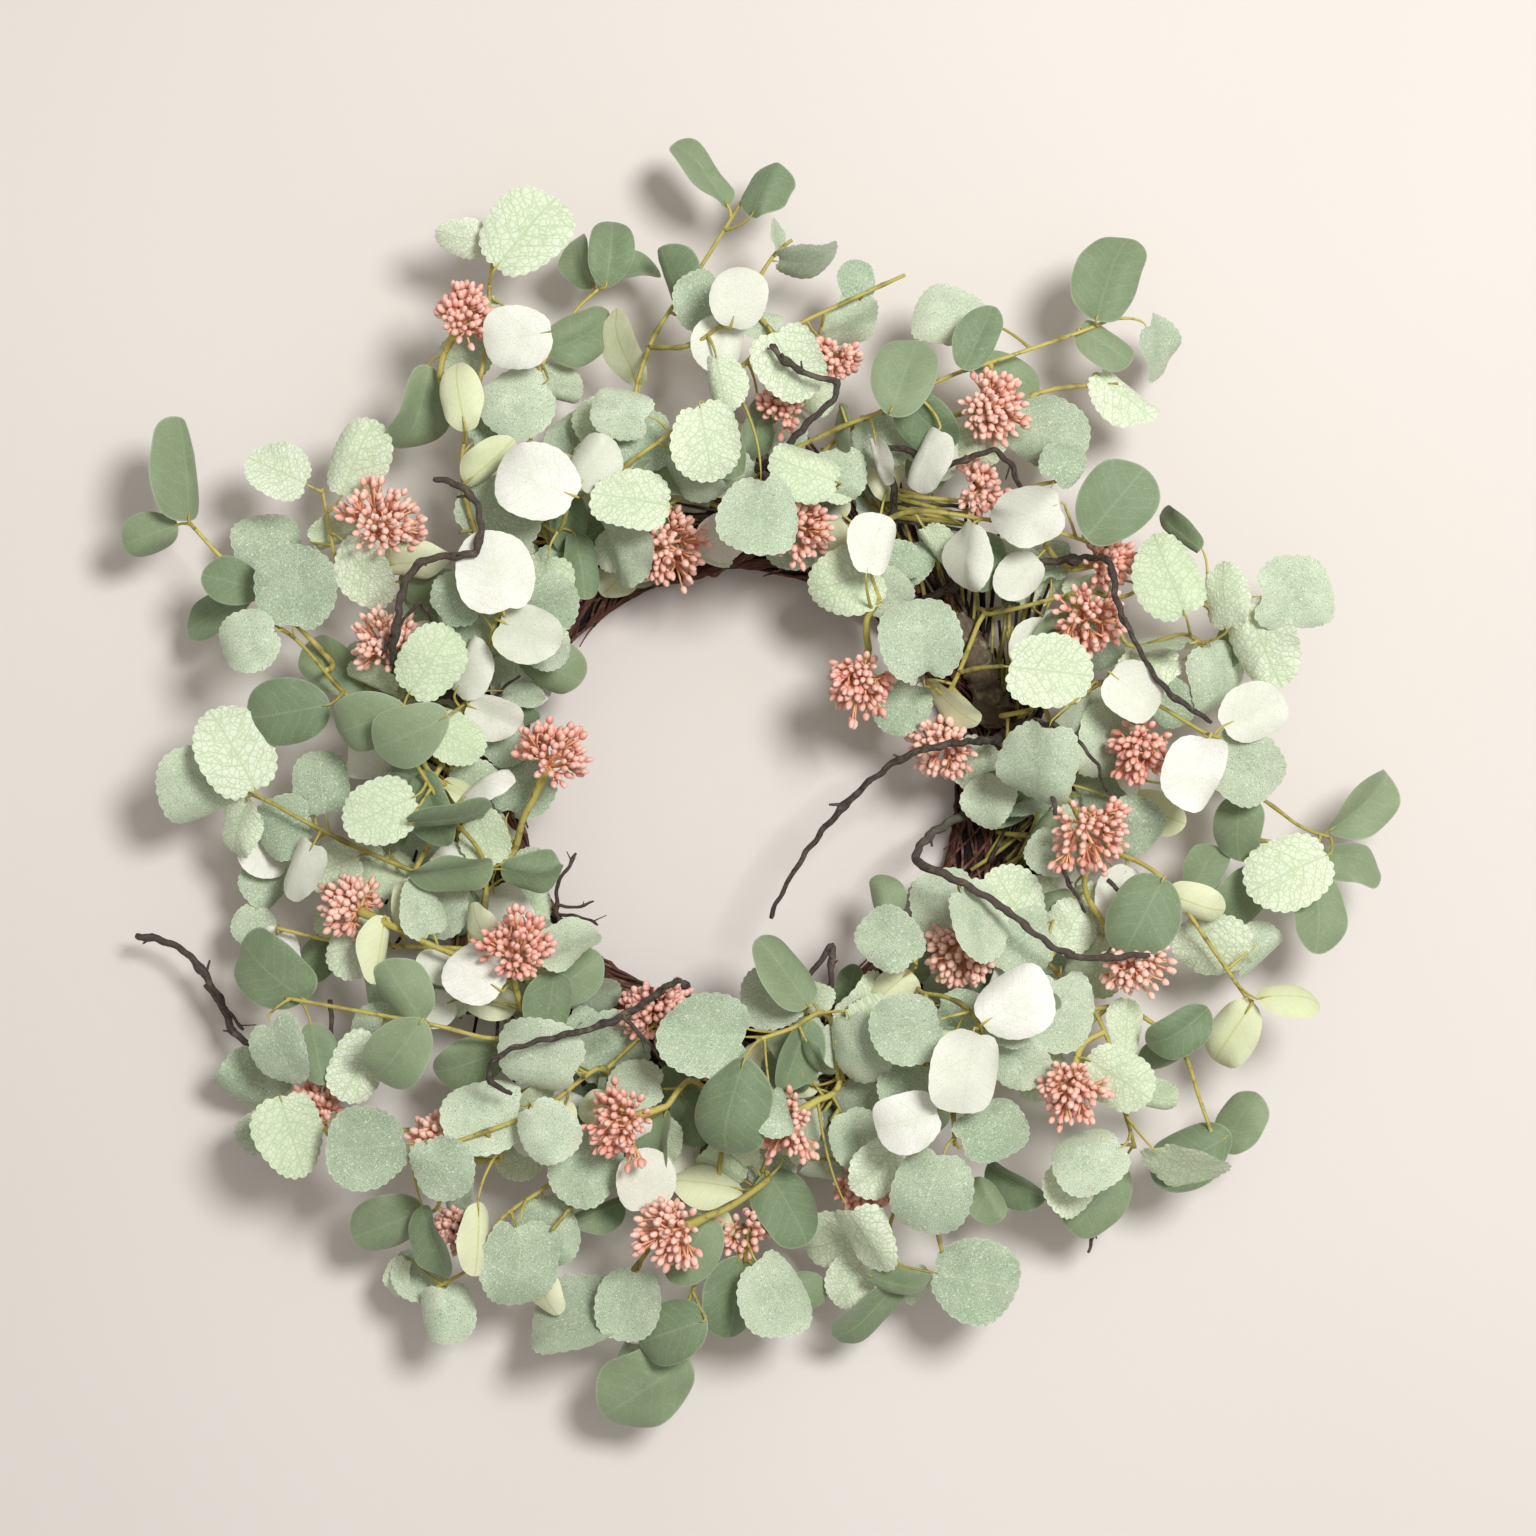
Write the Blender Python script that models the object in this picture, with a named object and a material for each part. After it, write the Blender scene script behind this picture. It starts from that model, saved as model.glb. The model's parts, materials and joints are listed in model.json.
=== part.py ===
"""Eucalyptus wreath: leafy sprays, berry heads and twigs on a ring of bound vine.

The wreath lies on its back, its front up. The origin is on the surface that it lies on,
under the middle of its outline. Metres, +X to the right and +Y to the top of the wreath.
"""

import math
import random

import bmesh
import bpy
import numpy as np
from mathutils import Vector
from mathutils.bvhtree import BVHTree

# Driving sizes, in metres
PLAN_UNIT = 0.00048  # one unit of the plan that the layout lists are drawn on
PLAN_CENTRE = (764, 778)  # the middle of the plan
EYE_HEIGHT = 1.74  # the plan is drawn as seen from this far above MID_HEIGHT
MID_HEIGHT = 0.060
RING_PLAN = (738, 787)  # the ring's centre on the plan
RING_RADIUS = 0.121  # to the middle of the bundle
BUNDLE_RADIUS = 0.0135
BUNDLE_FLAT = 0.0030  # how far the bundle is pressed flat underneath
STRAND_RELIEF = 0.0011
BUNDLE_WAVE = 0.0008
LOOSE_VINE_RADIUS = 0.0022
VINE_CLEAR = 0.0020
VINE_STEP = 0.004
VINE_KEEP = 3
VINE_CORNER = 1.2  # its corners stand out this much further than its radius
BRANCH_RADIUS = 0.0075
STEM_RADIUS = 0.0014
STEM_TIP_RADIUS = 0.0010
SOCKET_RADIUS = 0.0030
SOCKET_FROM = 0.72  # share of a berry stem's length where it starts to widen and runs straight
BLADE_THICKNESS = 0.0008
BERRY_WIDTH = 0.0050
HEAD_THICKNESS = 0.034
BUD_SHARES = (1.0, 0.9, 0.8, 0.7, 0.6, 0.5, 0.42)  # a bud that would touch something is shorter
LOWEST_BUD = -0.55
CORE_RADIUS = 0.0042
FLOOR_GAP = 0.004  # foliage stays this far above the surface
SEAT_GAP = 0.00045  # between a stem and the ring that it is bound to
HEAD_GAP = 0.0004  # between a berry head and its socket
CLEAR = 0.0005  # between a blade and the pieces of other sprays
STEM_CLEAR = 0.0022
STEM_STEP = 0.005  # spacing of the points while stems are pushed clear of each other
TUBE_SIDES = 3
TWIG_SIDES = 4
BRANCH_SIDES = 7
TUBE_SLACK = 0.0009  # a tube keeps the points that hold it this close to its path
NECK_FROM = 0.006  # a leaf stalk longer than this narrows to a neck at the blade
NECK_WIDTH = 0.0028
HOLD_MARGIN = 0.0015  # a blade starts this far from a corner of its stem
HOLD_SUNK = 0.3  # and this share of the stem's radius behind its middle line
HOLD_STOPS = 7
RING_STEPS = 38
RING_SIDES = 10
STRANDS = 4
TWISTS = 9
TWIG_STEP = 0.0125
TRIES = 120
SEAT_ROUNDS = 5
SCRAP_FACES = 12
NUDGES = 16  # a joint that comes out open is made again, its pieces moved a hair
NUDGE = 0.000012
FLAT_ANGLE = 0.004
LEAST_GAP = 0.000003
LEAST_AREA = 1e-14
SEED = 11

# Shares and angles that shape the stems, blades and heads
ROOT_SUNK = 0.6  # a stem's root starts this share of the strand relief above the bundle
BLADE_BEHIND = 1.9  # a blade likes a hold that lies behind its base up to this much more
HOLD_END = 0.3  # no hold lies closer to a corner than this share of a short stretch, at most
STALK_ROOT = 1.15  # a berry stem's radius at its root and at its neck, over a stem's
STALK_NECK = 1.3
HEAD_MIDDLE = 0.55  # the thick of a head: this share of its depth out, and of its width round
HEAD_GIRTH = 0.38
HEAD_PUSH = 0.6
TWIG_PUSH = 0.002
STEM_PUSH = 0.003  # no point of a stem moves further than this in a round
PITCHES = (-14, 10)  # the ranges, in degrees, that a blade's draws come from
TWISTS_OF_BLADE = (-0.16, 0.16)
FOLDS = (0.4, 1.6)
CURLS = (-0.4, 1.4)
CUPS = (-0.5, 1.5)
LEAN_BACK = -0.1  # a blade whose stalk leans back more than this has no neck
LEAST_ACROSS = 0.35
LEAST_BEND = 0.7
CLEAR_GROWTH = 30  # a blade's outline grows by this share for each metre kept clear
MOVE_LEVEL = 0.007  # how far a blade may move and turn to come clear
MOVE_UP = 0.026
TURN_HEADING = 0.5
TURN_PITCH = 1.0
TURN_ROLL = 0.9
SHRINK = 0.16
WAVES = 7  # of the bundle's thickness, all round
WAVE_START = 1.3
VINE_FROM = 0.3  # the loose strand's start, its turns round the ring and its swings over it
VINE_TURNS = 0.94
VINE_STOPS = 48
VINE_SWING = 62
VINE_SWINGS = 4.0
VINE_SHIFT = 0.6
TWIG_KNOTS = (-0.12, 0.16)
TWIG_ROOT = 1.12
TWIG_TAPER = 0.4
BRANCH_STEP = 0.010
BRANCH_KNOTS = (0.86, 1.12)
BUD_WIDER = 1.25  # a bud is tested this much wider and its peak this much further out
BUD_LONGER = 0.4
BUD_SPREAD = 0.80  # the outer buds lean out by this share of their angle on the core
BUD_LEAN = 0.1
BUD_REACH = (0.86, 1.0)
BUD_SHOULDER = 0.84
HULL_SHARE = 0.93

# The rim of a blade after the stem, along it and across it, right side first
RIMS = {
    "pointed": (np.array([0.22, 0.68, 1.0, 0.68, 0.22]), np.array([-0.47, -0.46, 0.0, 0.46, 0.47])),
    "round": (np.array([0.16, 0.66, 1.0, 0.66, 0.16]), np.array([-0.45, -0.50, 0.0, 0.50, 0.45])),
}

# Leaf kinds: S sage, F frosted, C crinkled, W white underside, Y cream underside.
# For each the width over the length, and the ranges of fold, curl and cup.
LEAF_SHAPES = {
    "S": (0.80, 0.10, 0.26, 0.10),
    "F": (0.95, 0.04, 0.16, 0.16),
    "C": (0.86, 0.08, 0.18, 0.12),
    "W": (0.92, 0.03, 0.12, 0.10),
    "Y": (0.70, 0.10, 0.22, 0.12),
}

# The layout. Plan points are (x, y, height in mm), x to the right and y down, as drawn.
# A spray has the clock angle and the rise of its root on the bundle, both in degrees, the
# points of its stem, and boughs that leave it. Berries are (bough, centre, width, depth).
# A leaf is (kind, x, y, heading from base to tip, length, roll, height of its middle).
SPRAYS = {
    "spray_top": dict(
        root=(338, 50),
        stem=[(640, 470, 62), (634, 405, 80), (648, 350, 74), (667, 315, 66), (700, 268, 58),
              (736, 211, 50), (748, 192, 48)],
        boughs=[[(690, 345, 94), (728, 320, 98)],
                [(648, 520, 66), (664, 492, 82)]],
        berries=[([(655, 545, 60)], (690, 560, 74), 96, 66)],
        leaves=[("S", 703, 172, 126, 86, 30, 52), ("S", 762, 190, 65, 62, 42, 50),
                ("S", 672, 280, 105, 78, 38, 70), ("W", 739, 297, 75, 62, 0, 110),
                ("W", 720, 340, 250, 62, 6, 102), ("C", 718, 383, 275, 62, 0, 90),
                ("F", 703, 302, 120, 66, 10, 82), ("C", 632, 500, 172, 78, 20, 96),
                ("F", 660, 518, 300, 60, 35, 66), ("F", 725, 478, 25, 62, 15, 70),
                ("F", 622, 545, 290, 86, 40, 72)],
    ),
    "spray_top_long": dict(
        joins="spray_top_right",
        stem=[(700, 460, 60), (728, 385, 74), (780, 335, 80), (850, 300, 74), (905, 275, 70)],
        boughs=[[(752, 300, 70), (772, 258, 66), (792, 240, 64)]],
        berries=[],
        leaves=[("F", 858, 278, 95, 44, 5, 66), ("F", 850, 323, 28, 66, 60, 62),
                ("C", 790, 363, 300, 80, 5, 86), ("C", 812, 396, 325, 50, 10, 62),
                ("F", 808, 262, 358, 68, 60, 62), ("F", 776, 236, 92, 38, 68, 66),
                ("F", 760, 318, 350, 50, 20, 76), ("S", 757, 430, 270, 62, 50, 44)],
    ),
    "spray_top_front": dict(
        joins="spray_top",
        stem=[(612, 500, 78), (622, 470, 88), (665, 437, 98), (712, 404, 106)],
        boughs=[],
        berries=[],
        leaves=[("C", 706, 441, 280, 80, 0, 112), ("F", 644, 442, 200, 68, 5, 78),
                ("F", 622, 410, 165, 64, 5, 92), ("W", 594, 462, 60, 62, 28, 102)],
    ),
    "spray_top_right": dict(
        root=(356, 55),
        stem=[(760, 470, 60), (830, 432, 76), (880, 412, 84), (922, 395, 90)],
        boughs=[[(800, 480, 70), (838, 488, 78)]],
        berries=[([(770, 520, 66), (786, 505, 72)], (803, 530, 80), 84, 60)],
        leaves=[("S", 905, 373, 70, 86, 5, 102), ("S", 925, 420, 315, 74, 25, 84),
                ("F", 885, 442, 300, 62, 10, 60), ("C", 807, 470, 160, 72, 5, 100),
                ("F", 764, 520, 262, 90, 5, 94), ("W", 918, 460, 245, 70, 55, 70),
                ("S", 838, 425, 270, 56, 40, 46), ("F", 785, 435, 250, 54, 20, 42)],
    ),
    "spray_upper_right": dict(
        root=(10, 50),
        stem=[(830, 445, 54), (900, 402, 66), (950, 376, 76), (1010, 356, 78), (1080, 332, 70),
              (1114, 318, 66)],
        boughs=[[(1000, 400, 62), (1060, 388, 62), (1118, 384, 58)]],
        berries=[([(945, 415, 66), (984, 406, 78)], (1014, 405, 92), 97, 62)],
        leaves=[("S", 1110, 276, 72, 94, 20, 74), ("S", 1106, 342, 325, 64, 5, 72),
                ("S", 978, 340, 65, 68, 15, 88), ("F", 948, 315, 170, 74, 28, 70),
                ("S", 1010, 376, 335, 78, 20, 66), ("C", 1124, 396, 320, 76, 25, 60),
                ("F", 1150, 352, 310, 72, 60, 54), ("F", 1048, 437, 330, 86, 5, 64),
                ("C", 980, 437, 265, 60, 5, 80)],
    ),
    "spray_right_of_top": dict(
        root=(24, 60),
        stem=[(905, 512, 60), (990, 520, 72), (1050, 530, 80), (1088, 542, 84)],
        boughs=[[(1030, 490, 64), (1062, 480, 66)]],
        berries=[([(1050, 560, 60), (1092, 572, 64)], (1134, 550, 70), 70, 46)],
        leaves=[("S", 1115, 503, 50, 90, 0, 100), ("W", 1027, 513, 195, 74, 30, 94),
                ("S", 985, 557, 285, 66, 35, 60), ("W", 967, 557, 262, 70, 58, 80),
                ("F", 1020, 550, 340, 56, 20, 54), ("F", 1064, 464, 60, 50, 10, 76),
                ("F", 905, 560, 20, 56, 20, 48)],
    ),
    "spray_inner_top": dict(
        joins="spray_right_of_top",
        stem=[(842, 540, 58), (868, 572, 70), (880, 600, 74)],
        boughs=[],
        berries=[([(866, 622, 72), (872, 670, 74)], (854, 698, 80), 76, 56)],
        leaves=[("C", 845, 580, 200, 82, 0, 80), ("W", 874, 545, 75, 62, 0, 96),
                ("Y", 836, 535, 120, 56, 10, 78), ("F", 886, 592, 308, 56, 15, 62)],
    ),
    "spray_right_front": dict(
        joins="spray_right_high",
        stem=[(950, 690, 58), (932, 686, 72)],
        boughs=[[(980, 668, 62), (1003, 666, 78)]],
        berries=[([(975, 715, 56), (978, 735, 62)], (953, 752, 72), 76, 56)],
        leaves=[("F", 921, 641, 95, 88, 0, 94), ("F", 905, 706, 235, 62, 8, 66),
                ("C", 1047, 672, 355, 90, 4, 88), ("Y", 960, 706, 330, 74, 58, 82)],
    ),
    "spray_right_high": dict(
        root=(52, 45),
        stem=[(1010, 610, 46), (1090, 590, 64), (1160, 582, 76), (1220, 612, 78), (1246, 604, 74)],
        boughs=[[(1128, 645, 64), (1182, 634, 72), (1204, 646, 72)]],
        berries=[([(1070, 596, 66), (1096, 602, 78)], (1103, 638, 92), 96, 62)],
        leaves=[("F", 1290, 595, 356, 86, 5, 74), ("C", 1262, 642, 292, 92, 22, 82),
                ("C", 1224, 598, 95, 66, 42, 88), ("C", 1170, 576, 110, 88, 10, 88),
                ("S", 1176, 533, 140, 62, 35, 58),
                ("F", 1216, 676, 290, 80, 40, 70), ("F", 1165, 643, 175, 68, 35, 80),
                ("C", 1088, 585, 190, 50, 10, 48)],
    ),
    "spray_right": dict(
        root=(80, 62),
        stem=[(1040, 704, 58), (1110, 682, 76), (1160, 706, 88), (1200, 730, 94), (1222, 738, 94)],
        boughs=[[(1060, 740, 58), (1100, 770, 60)]],
        berries=[([(1120, 704, 80), (1150, 734, 86)], (1136, 766, 94), 62, 56)],
        leaves=[("W", 1197, 771, 250, 78, 4, 108), ("F", 1242, 766, 320, 88, 5, 86),
                ("W", 1253, 712, 25, 68, 28, 94), ("S", 1275, 762, 20, 48, 35, 66),
                ("W", 1134, 692, 320, 64, 5, 100), ("F", 1172, 702, 310, 54, 20, 64),
                ("F", 1108, 740, 262, 86, 30, 72), ("F", 1086, 712, 252, 72, 58, 88)],
    ),
    "spray_right_inner": dict(
        joins="spray_right",
        stem=[(1000, 716, 60), (1026, 712, 74)],
        boughs=[],
        berries=[],
        leaves=[("F", 1038, 768, 272, 104, 14, 84), ("F", 990, 800, 250, 60, 30, 56)],
    ),
    "spray_right_outer": dict(
        root=(88, 40),
        stem=[(1080, 772, 40), (1180, 765, 52), (1255, 795, 62), (1300, 826, 64), (1332, 838, 62)],
        boughs=[[(1230, 835, 60), (1275, 842, 66), (1296, 850, 66)]],
        berries=[([(1060, 790, 62), (1090, 818, 84)], (1100, 853, 100), 128, 70)],
        leaves=[("S", 1367, 804, 50, 86, 8, 64), ("S", 1348, 856, 355, 72, 45, 60),
                ("C", 1290, 872, 205, 90, 18, 78), ("S", 1317, 905, 262, 82, 20, 56),
                ("S", 1246, 898, 225, 80, 15, 58), ("S", 1238, 826, 265, 68, 30, 66),
                ("Y", 1152, 812, 340, 66, 25, 60)],
    ),
    "spray_right_low": dict(
        root=(100, 55),
        stem=[(1060, 840, 56), (1130, 858, 76), (1168, 884, 90), (1200, 930, 84), (1248, 1000, 68)],
        boughs=[],
        berries=[([(1085, 890, 70), (1128, 955, 86)], (1152, 986, 98), 84, 62)],
        leaves=[("S", 1143, 914, 240, 88, 6, 104), ("Y", 1195, 904, 340, 60, 12, 92),
                ("Y", 1285, 996, 355, 68, 28, 66), ("Y", 1232, 1033, 238, 78, 12, 70),
                ("C", 1213, 948, 185, 84, 18, 66), ("F", 1256, 950, 40, 62, 10, 56),
                ("S", 1205, 866, 60, 54, 20, 60), ("C", 1092, 918, 300, 74, 25, 60)],
    ),
    "spray_low_right_front": dict(
        joins="spray_low_right",
        stem=[(928, 952, 64), (915, 968, 76)],
        boughs=[[(985, 935, 56), (1038, 955, 66), (1072, 990, 78)]],
        berries=[([(965, 930, 60), (972, 942, 66)], (945, 972, 72), 84, 66)],
        leaves=[("F", 890, 941, 140, 70, 0, 86), ("S", 888, 896, 100, 48, 20, 64),
                ("F", 936, 906, 95, 80, 5, 72), ("F", 1058, 1010, 265, 86, 5, 86),
                ("F", 1022, 938, 210, 76, 5, 76), ("C", 1012, 902, 120, 76, 10, 70),
                ("F", 976, 922, 292, 86, 48, 90)],
    ),
    "spray_low_right": dict(
        root=(122, 45),
        stem=[(1010, 960, 44), (1082, 1000, 70), (1108, 1040, 84), (1122, 1100, 78),
              (1135, 1148, 72)],
        boughs=[[(1130, 1010, 62), (1180, 1048, 70), (1200, 1100, 70), (1214, 1140, 68)]],
        berries=[([(1082, 1045, 84), (1072, 1078, 94)], (1066, 1112, 104), 96, 60)],
        leaves=[("C", 1118, 1076, 332, 78, 12, 94), ("C", 1152, 1098, 350, 56, 20, 60),
                ("F", 1086, 1156, 205, 76, 8, 92), ("C", 1074, 1182, 235, 72, 8, 74),
                ("S", 1098, 1196, 235, 86, 18, 54), ("C", 1182, 1165, 342, 96, 42, 74),
                ("C", 1126, 1028, 85, 58, 20, 72), ("S", 1188, 1152, 200, 86, 5, 60),
                ("S", 1238, 1122, 60, 66, 32, 62), ("S", 1180, 1030, 215, 72, 18, 86),
                ("C", 1045, 1080, 200, 60, 10, 70)],
    ),
    "spray_bottom_right_front": dict(
        root=(140, 80),
        stem=[(925, 990, 76), (965, 1006, 100), (985, 1035, 112)],
        boughs=[[(925, 1040, 76), (950, 1092, 94), (955, 1146, 98)]],
        berries=[],
        leaves=[("W", 1015, 1002, 35, 80, 0, 122), ("W", 968, 1072, 262, 86, 0, 124),
                ("Y", 936, 1038, 165, 60, 25, 110), ("F", 905, 1025, 190, 78, 8, 96),
                ("F", 1020, 1062, 320, 64, 10, 92), ("F", 930, 1192, 250, 90, 0, 104),
                ("W", 906, 1120, 195, 70, 0, 112), ("F", 992, 1125, 25, 78, 20, 100),
                ("C", 878, 1165, 225, 68, 20, 76), ("F", 905, 1085, 150, 60, 10, 74),
                ("S", 1010, 1182, 345, 78, 18, 70)],
    ),
    "spray_bottom_right": dict(
        root=(156, 45),
        stem=[(852, 1100, 46), (872, 1180, 56), (892, 1240, 60), (886, 1278, 60)],
        boughs=[[(885, 1140, 58), (928, 1200, 64), (942, 1252, 62)]],
        berries=[([(850, 1160, 44), (856, 1180, 48)], (876, 1204, 56), 60, 50)],
        leaves=[("S", 866, 1314, 225, 92, 14, 58), ("S", 900, 1284, 345, 66, 28, 64),
                ("C", 840, 1240, 215, 86, 8, 60), ("C", 866, 1238, 300, 80, 60, 78),
                ("F", 926, 1298, 330, 50, 10, 44),
                ("F", 975, 1280, 350, 90, 4, 64), ("F", 838, 1165, 350, 76, 20, 42)],
    ),
    "spray_bottom_front": dict(
        joins="spray_bottom_right",
        stem=[(826, 1014, 74), (792, 1028, 96), (757, 1040, 104)],
        boughs=[[(838, 1080, 60), (836, 1040, 74)]],
        berries=[([(835, 1092, 66), (796, 1104, 86)], (770, 1130, 90), 104, 62)],
        leaves=[("F", 706, 1036, 175, 92, 4, 106), ("S", 730, 1107, 255, 96, 22, 118),
                ("F", 766, 1112, 285, 68, 18, 94), ("F", 775, 1004, 165, 74, 5, 84),
                ("S", 795, 1052, 250, 76, 32, 84), ("F", 858, 1050, 285, 78, 24, 84)],
    ),
    "spray_bottom_inner": dict(
        root=(166, 105),
        stem=[(803, 1017, 66), (808, 1007, 84)],
        boughs=[],
        berries=[],
        leaves=[("S", 784, 972, 125, 84, 32, 90), ("C", 814, 996, 60, 44, 20, 72)],
    ),
    "spray_bottom": dict(
        joins="spray_bottom_left",
        stem=[(770, 1130, 50), (752, 1210, 62), (745, 1262, 60)],
        boughs=[],
        berries=[([(768, 1180, 70), (720, 1212, 84), (682, 1216, 90)], (652, 1242, 98), 88, 60)],
        leaves=[("S", 735, 1298, 265, 86, 28, 58), ("F", 776, 1295, 300, 88, 12, 68),
                ("Y", 714, 1222, 300, 50, 28, 58),
                ("S", 788, 1205, 300, 82, 28, 66), ("F", 775, 1165, 262, 60, 10, 52)],
    ),
    "spray_bottom_left": dict(
        root=(187, 50),
        stem=[(722, 1125, 54), (712, 1215, 66), (690, 1298, 62), (660, 1354, 58)],
        boughs=[[(690, 1190, 64), (645, 1255, 68), (608, 1306, 62)]],
        berries=[([(690, 1080, 70), (662, 1112, 86), (634, 1129, 92)], (606, 1126, 100), 106, 50)],
        leaves=[("S", 670, 1332, 200, 78, 14, 74), ("S", 647, 1388, 215, 104, 12, 56),
                ("F", 630, 1303, 255, 78, 30, 70), ("F", 628, 1362, 240, 52, 36, 46),
                ("F", 573, 1320, 184, 108, 55, 60), ("S", 692, 1248, 240, 74, 5, 78),
                ("S", 600, 1212, 200, 54, 20, 50), ("W", 645, 1180, 85, 66, 10, 82),
                ("S", 680, 1092, 130, 60, 20, 50)],
    ),
    "spray_low_left": dict(
        root=(202, 45),
        stem=[(610, 1110, 50), (560, 1175, 60), (500, 1220, 64), (478, 1262, 60), (432, 1290, 58)],
        boughs=[[(590, 1180, 62), (552, 1230, 74)]],
        berries=[],
        leaves=[("F", 520, 1262, 262, 94, 26, 76), ("F", 548, 1232, 280, 78, 22, 64),
                ("F", 446, 1313, 282, 64, 12, 62),
                ("S", 435, 1240, 290, 74, 40, 70), ("F", 418, 1278, 150, 60, 25, 46),
                ("F", 585, 1168, 230, 78, 8, 74), ("C", 520, 1160, 200, 54, 20, 50),
                ("Y", 478, 1238, 268, 70, 30, 86)],
    ),
    "spray_low_left_front": dict(
        joins="spray_low_left",
        stem=[(600, 1068, 70), (540, 1110, 90), (455, 1142, 94), (408, 1158, 88)],
        boughs=[[(648, 1030, 60), (676, 1005, 66)]],
        berries=[([(500, 1160, 70), (444, 1156, 70)], (412, 1130, 70), 56, 50)],
        leaves=[("F", 484, 1114, 188, 86, 4, 92), ("F", 547, 1131, 300, 66, 4, 106),
                ("F", 540, 1058, 158, 88, 12, 100), ("S", 470, 1062, 200, 72, 18, 66),
                ("F", 610, 1050, 20, 84, 5, 58), ("F", 442, 1168, 300, 68, 16, 100),
                ("F", 367, 1147, 186, 86, 0, 90), ("S", 622, 1095, 85, 64, 10, 62)],
    ),
    "spray_lower_left_outer": dict(
        root=(214, 40),
        stem=[(560, 1070, 44), (480, 1110, 52), (410, 1130, 54), (340, 1120, 54), (300, 1112, 54)],
        boughs=[[(440, 1200, 54), (418, 1218, 56)]],
        berries=[([(335, 1140, 48), (318, 1118, 48)], (305, 1088, 54), 56, 40)],
        leaves=[("F", 258, 1085, 150, 82, 5, 62), ("C", 292, 1135, 285, 86, 30, 74),
                ("S", 385, 1224, 205, 84, 8, 60)],
    ),
    "spray_left_low": dict(
        root=(222, 60),
        stem=[(545, 1012, 66), (500, 1038, 78), (430, 1024, 88), (320, 1004, 80), (286, 998, 76)],
        boughs=[[(540, 985, 72), (500, 975, 86), (470, 1000, 84)]],
        berries=[([(516, 990, 84), (513, 958, 96)], (520, 920, 110), 92, 64)],
        leaves=[("S", 271, 974, 140, 90, 18, 78), ("S", 405, 992, 120, 72, 4, 94),
                ("S", 398, 1052, 232, 84, 14, 96), ("C", 360, 1066, 240, 74, 8, 72),
                ("S", 315, 1052, 282, 62, 24, 72),
                ("F", 281, 1048, 292, 74, 32, 70), ("W", 473, 975, 150, 66, 0, 100),
                ("S", 550, 1004, 260, 68, 4, 84), ("W", 440, 967, 160, 46, 20, 70),
                ("W", 434, 1008, 200, 46, 18, 70), ("F", 566, 975, 40, 52, 10, 60)],
    ),
    "spray_left_lower": dict(
        root=(232, 50),
        stem=[(500, 950, 54), (400, 946, 56), (330, 940, 54), (276, 928, 50)],
        boughs=[],
        berries=[([(470, 960, 78), (400, 930, 84), (368, 904, 74)], (336, 900, 74), 74, 44)],
        leaves=[("C", 340, 914, 165, 82, 32, 58), ("C", 354, 945, 235, 66, 22, 68),
                ("F", 254, 926, 165, 46, 10, 38),
                ("S", 320, 955, 230, 62, 20, 38), ("Y", 380, 948, 262, 66, 36, 84)],
    ),
    "spray_inner_left": dict(
        joins="spray_left_lower",
        stem=[(485, 865, 66), (447, 812, 84), (415, 762, 94)],
        boughs=[[(470, 880, 72), (430, 872, 78)]],
        berries=[([(512, 855, 60), (526, 812, 74), (556, 768, 84)], (560, 736, 94), 106, 58)],
        leaves=[("C", 383, 812, 200, 76, 8, 92), ("S", 428, 802, 285, 78, 16, 100),
                ("F", 468, 788, 25, 64, 10, 70), ("S", 450, 818, 5, 84, 60, 108),
                ("C", 485, 835, 285, 60, 10, 66), ("F", 523, 788, 60, 70, 14, 56),
                ("S", 448, 868, 5, 80, 58, 90), ("S", 532, 873, 355, 62, 55, 84),
                ("C", 390, 880, 190, 60, 18, 56), ("F", 436, 905, 280, 72, 22, 66)],
    ),
    "spray_left": dict(
        root=(249, 45),
        stem=[(440, 880, 50), (370, 853, 64), (310, 824, 70), (270, 802, 68), (240, 790, 66)],
        boughs=[],
        berries=[],
        leaves=[("C", 235, 752, 118, 94, 18, 78), ("F", 200, 786, 205, 88, 8, 66),
                ("C", 236, 830, 255, 68, 32, 62), ("F", 284, 826, 200, 68, 5, 56),
                ("F", 322, 784, 95, 66, 5, 58),
                ("F", 273, 882, 225, 64, 10, 40), ("W", 301, 868, 240, 68, 28, 72),
                ("C", 332, 866, 200, 64, 8, 56)],
    ),
    "spray_left_ovals": dict(
        joins="spray_left",
        stem=[(450, 800, 62), (425, 765, 84), (398, 700, 98)],
        boughs=[[(455, 740, 72), (466, 700, 76)]],
        berries=[],
        leaves=[("S", 367, 722, 200, 80, 5, 100), ("S", 410, 734, 205, 78, 16, 114),
                ("C", 367, 678, 165, 62, 26, 86), ("C", 431, 662, 55, 78, 18, 94),
                ("W", 468, 668, 60, 64, 8, 80), ("C", 455, 738, 330, 60, 10, 84)],
    ),
    "spray_left_high": dict(
        root=(268, 50),
        stem=[(420, 745, 50), (352, 700, 66), (302, 645, 76), (272, 622, 78)],
        boughs=[[(330, 660, 56), (270, 600, 56), (226, 562, 56), (188, 521, 58)]],
        berries=[([(410, 690, 64), (386, 662, 72)], (385, 630, 84), 92, 58)],
        leaves=[("F", 296, 587, 85, 88, 4, 88), ("F", 249, 641, 200, 66, 5, 90),
                ("S", 288, 712, 190, 84, 8, 82), ("S", 330, 668, 150, 78, 10, 58),
                ("S", 186, 470, 95, 102, 44, 66), ("S", 150, 535, 200, 60, 8, 56),
                ("F", 262, 543, 100, 74, 8, 44), ("S", 234, 583, 165, 62, 10, 66),
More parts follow.
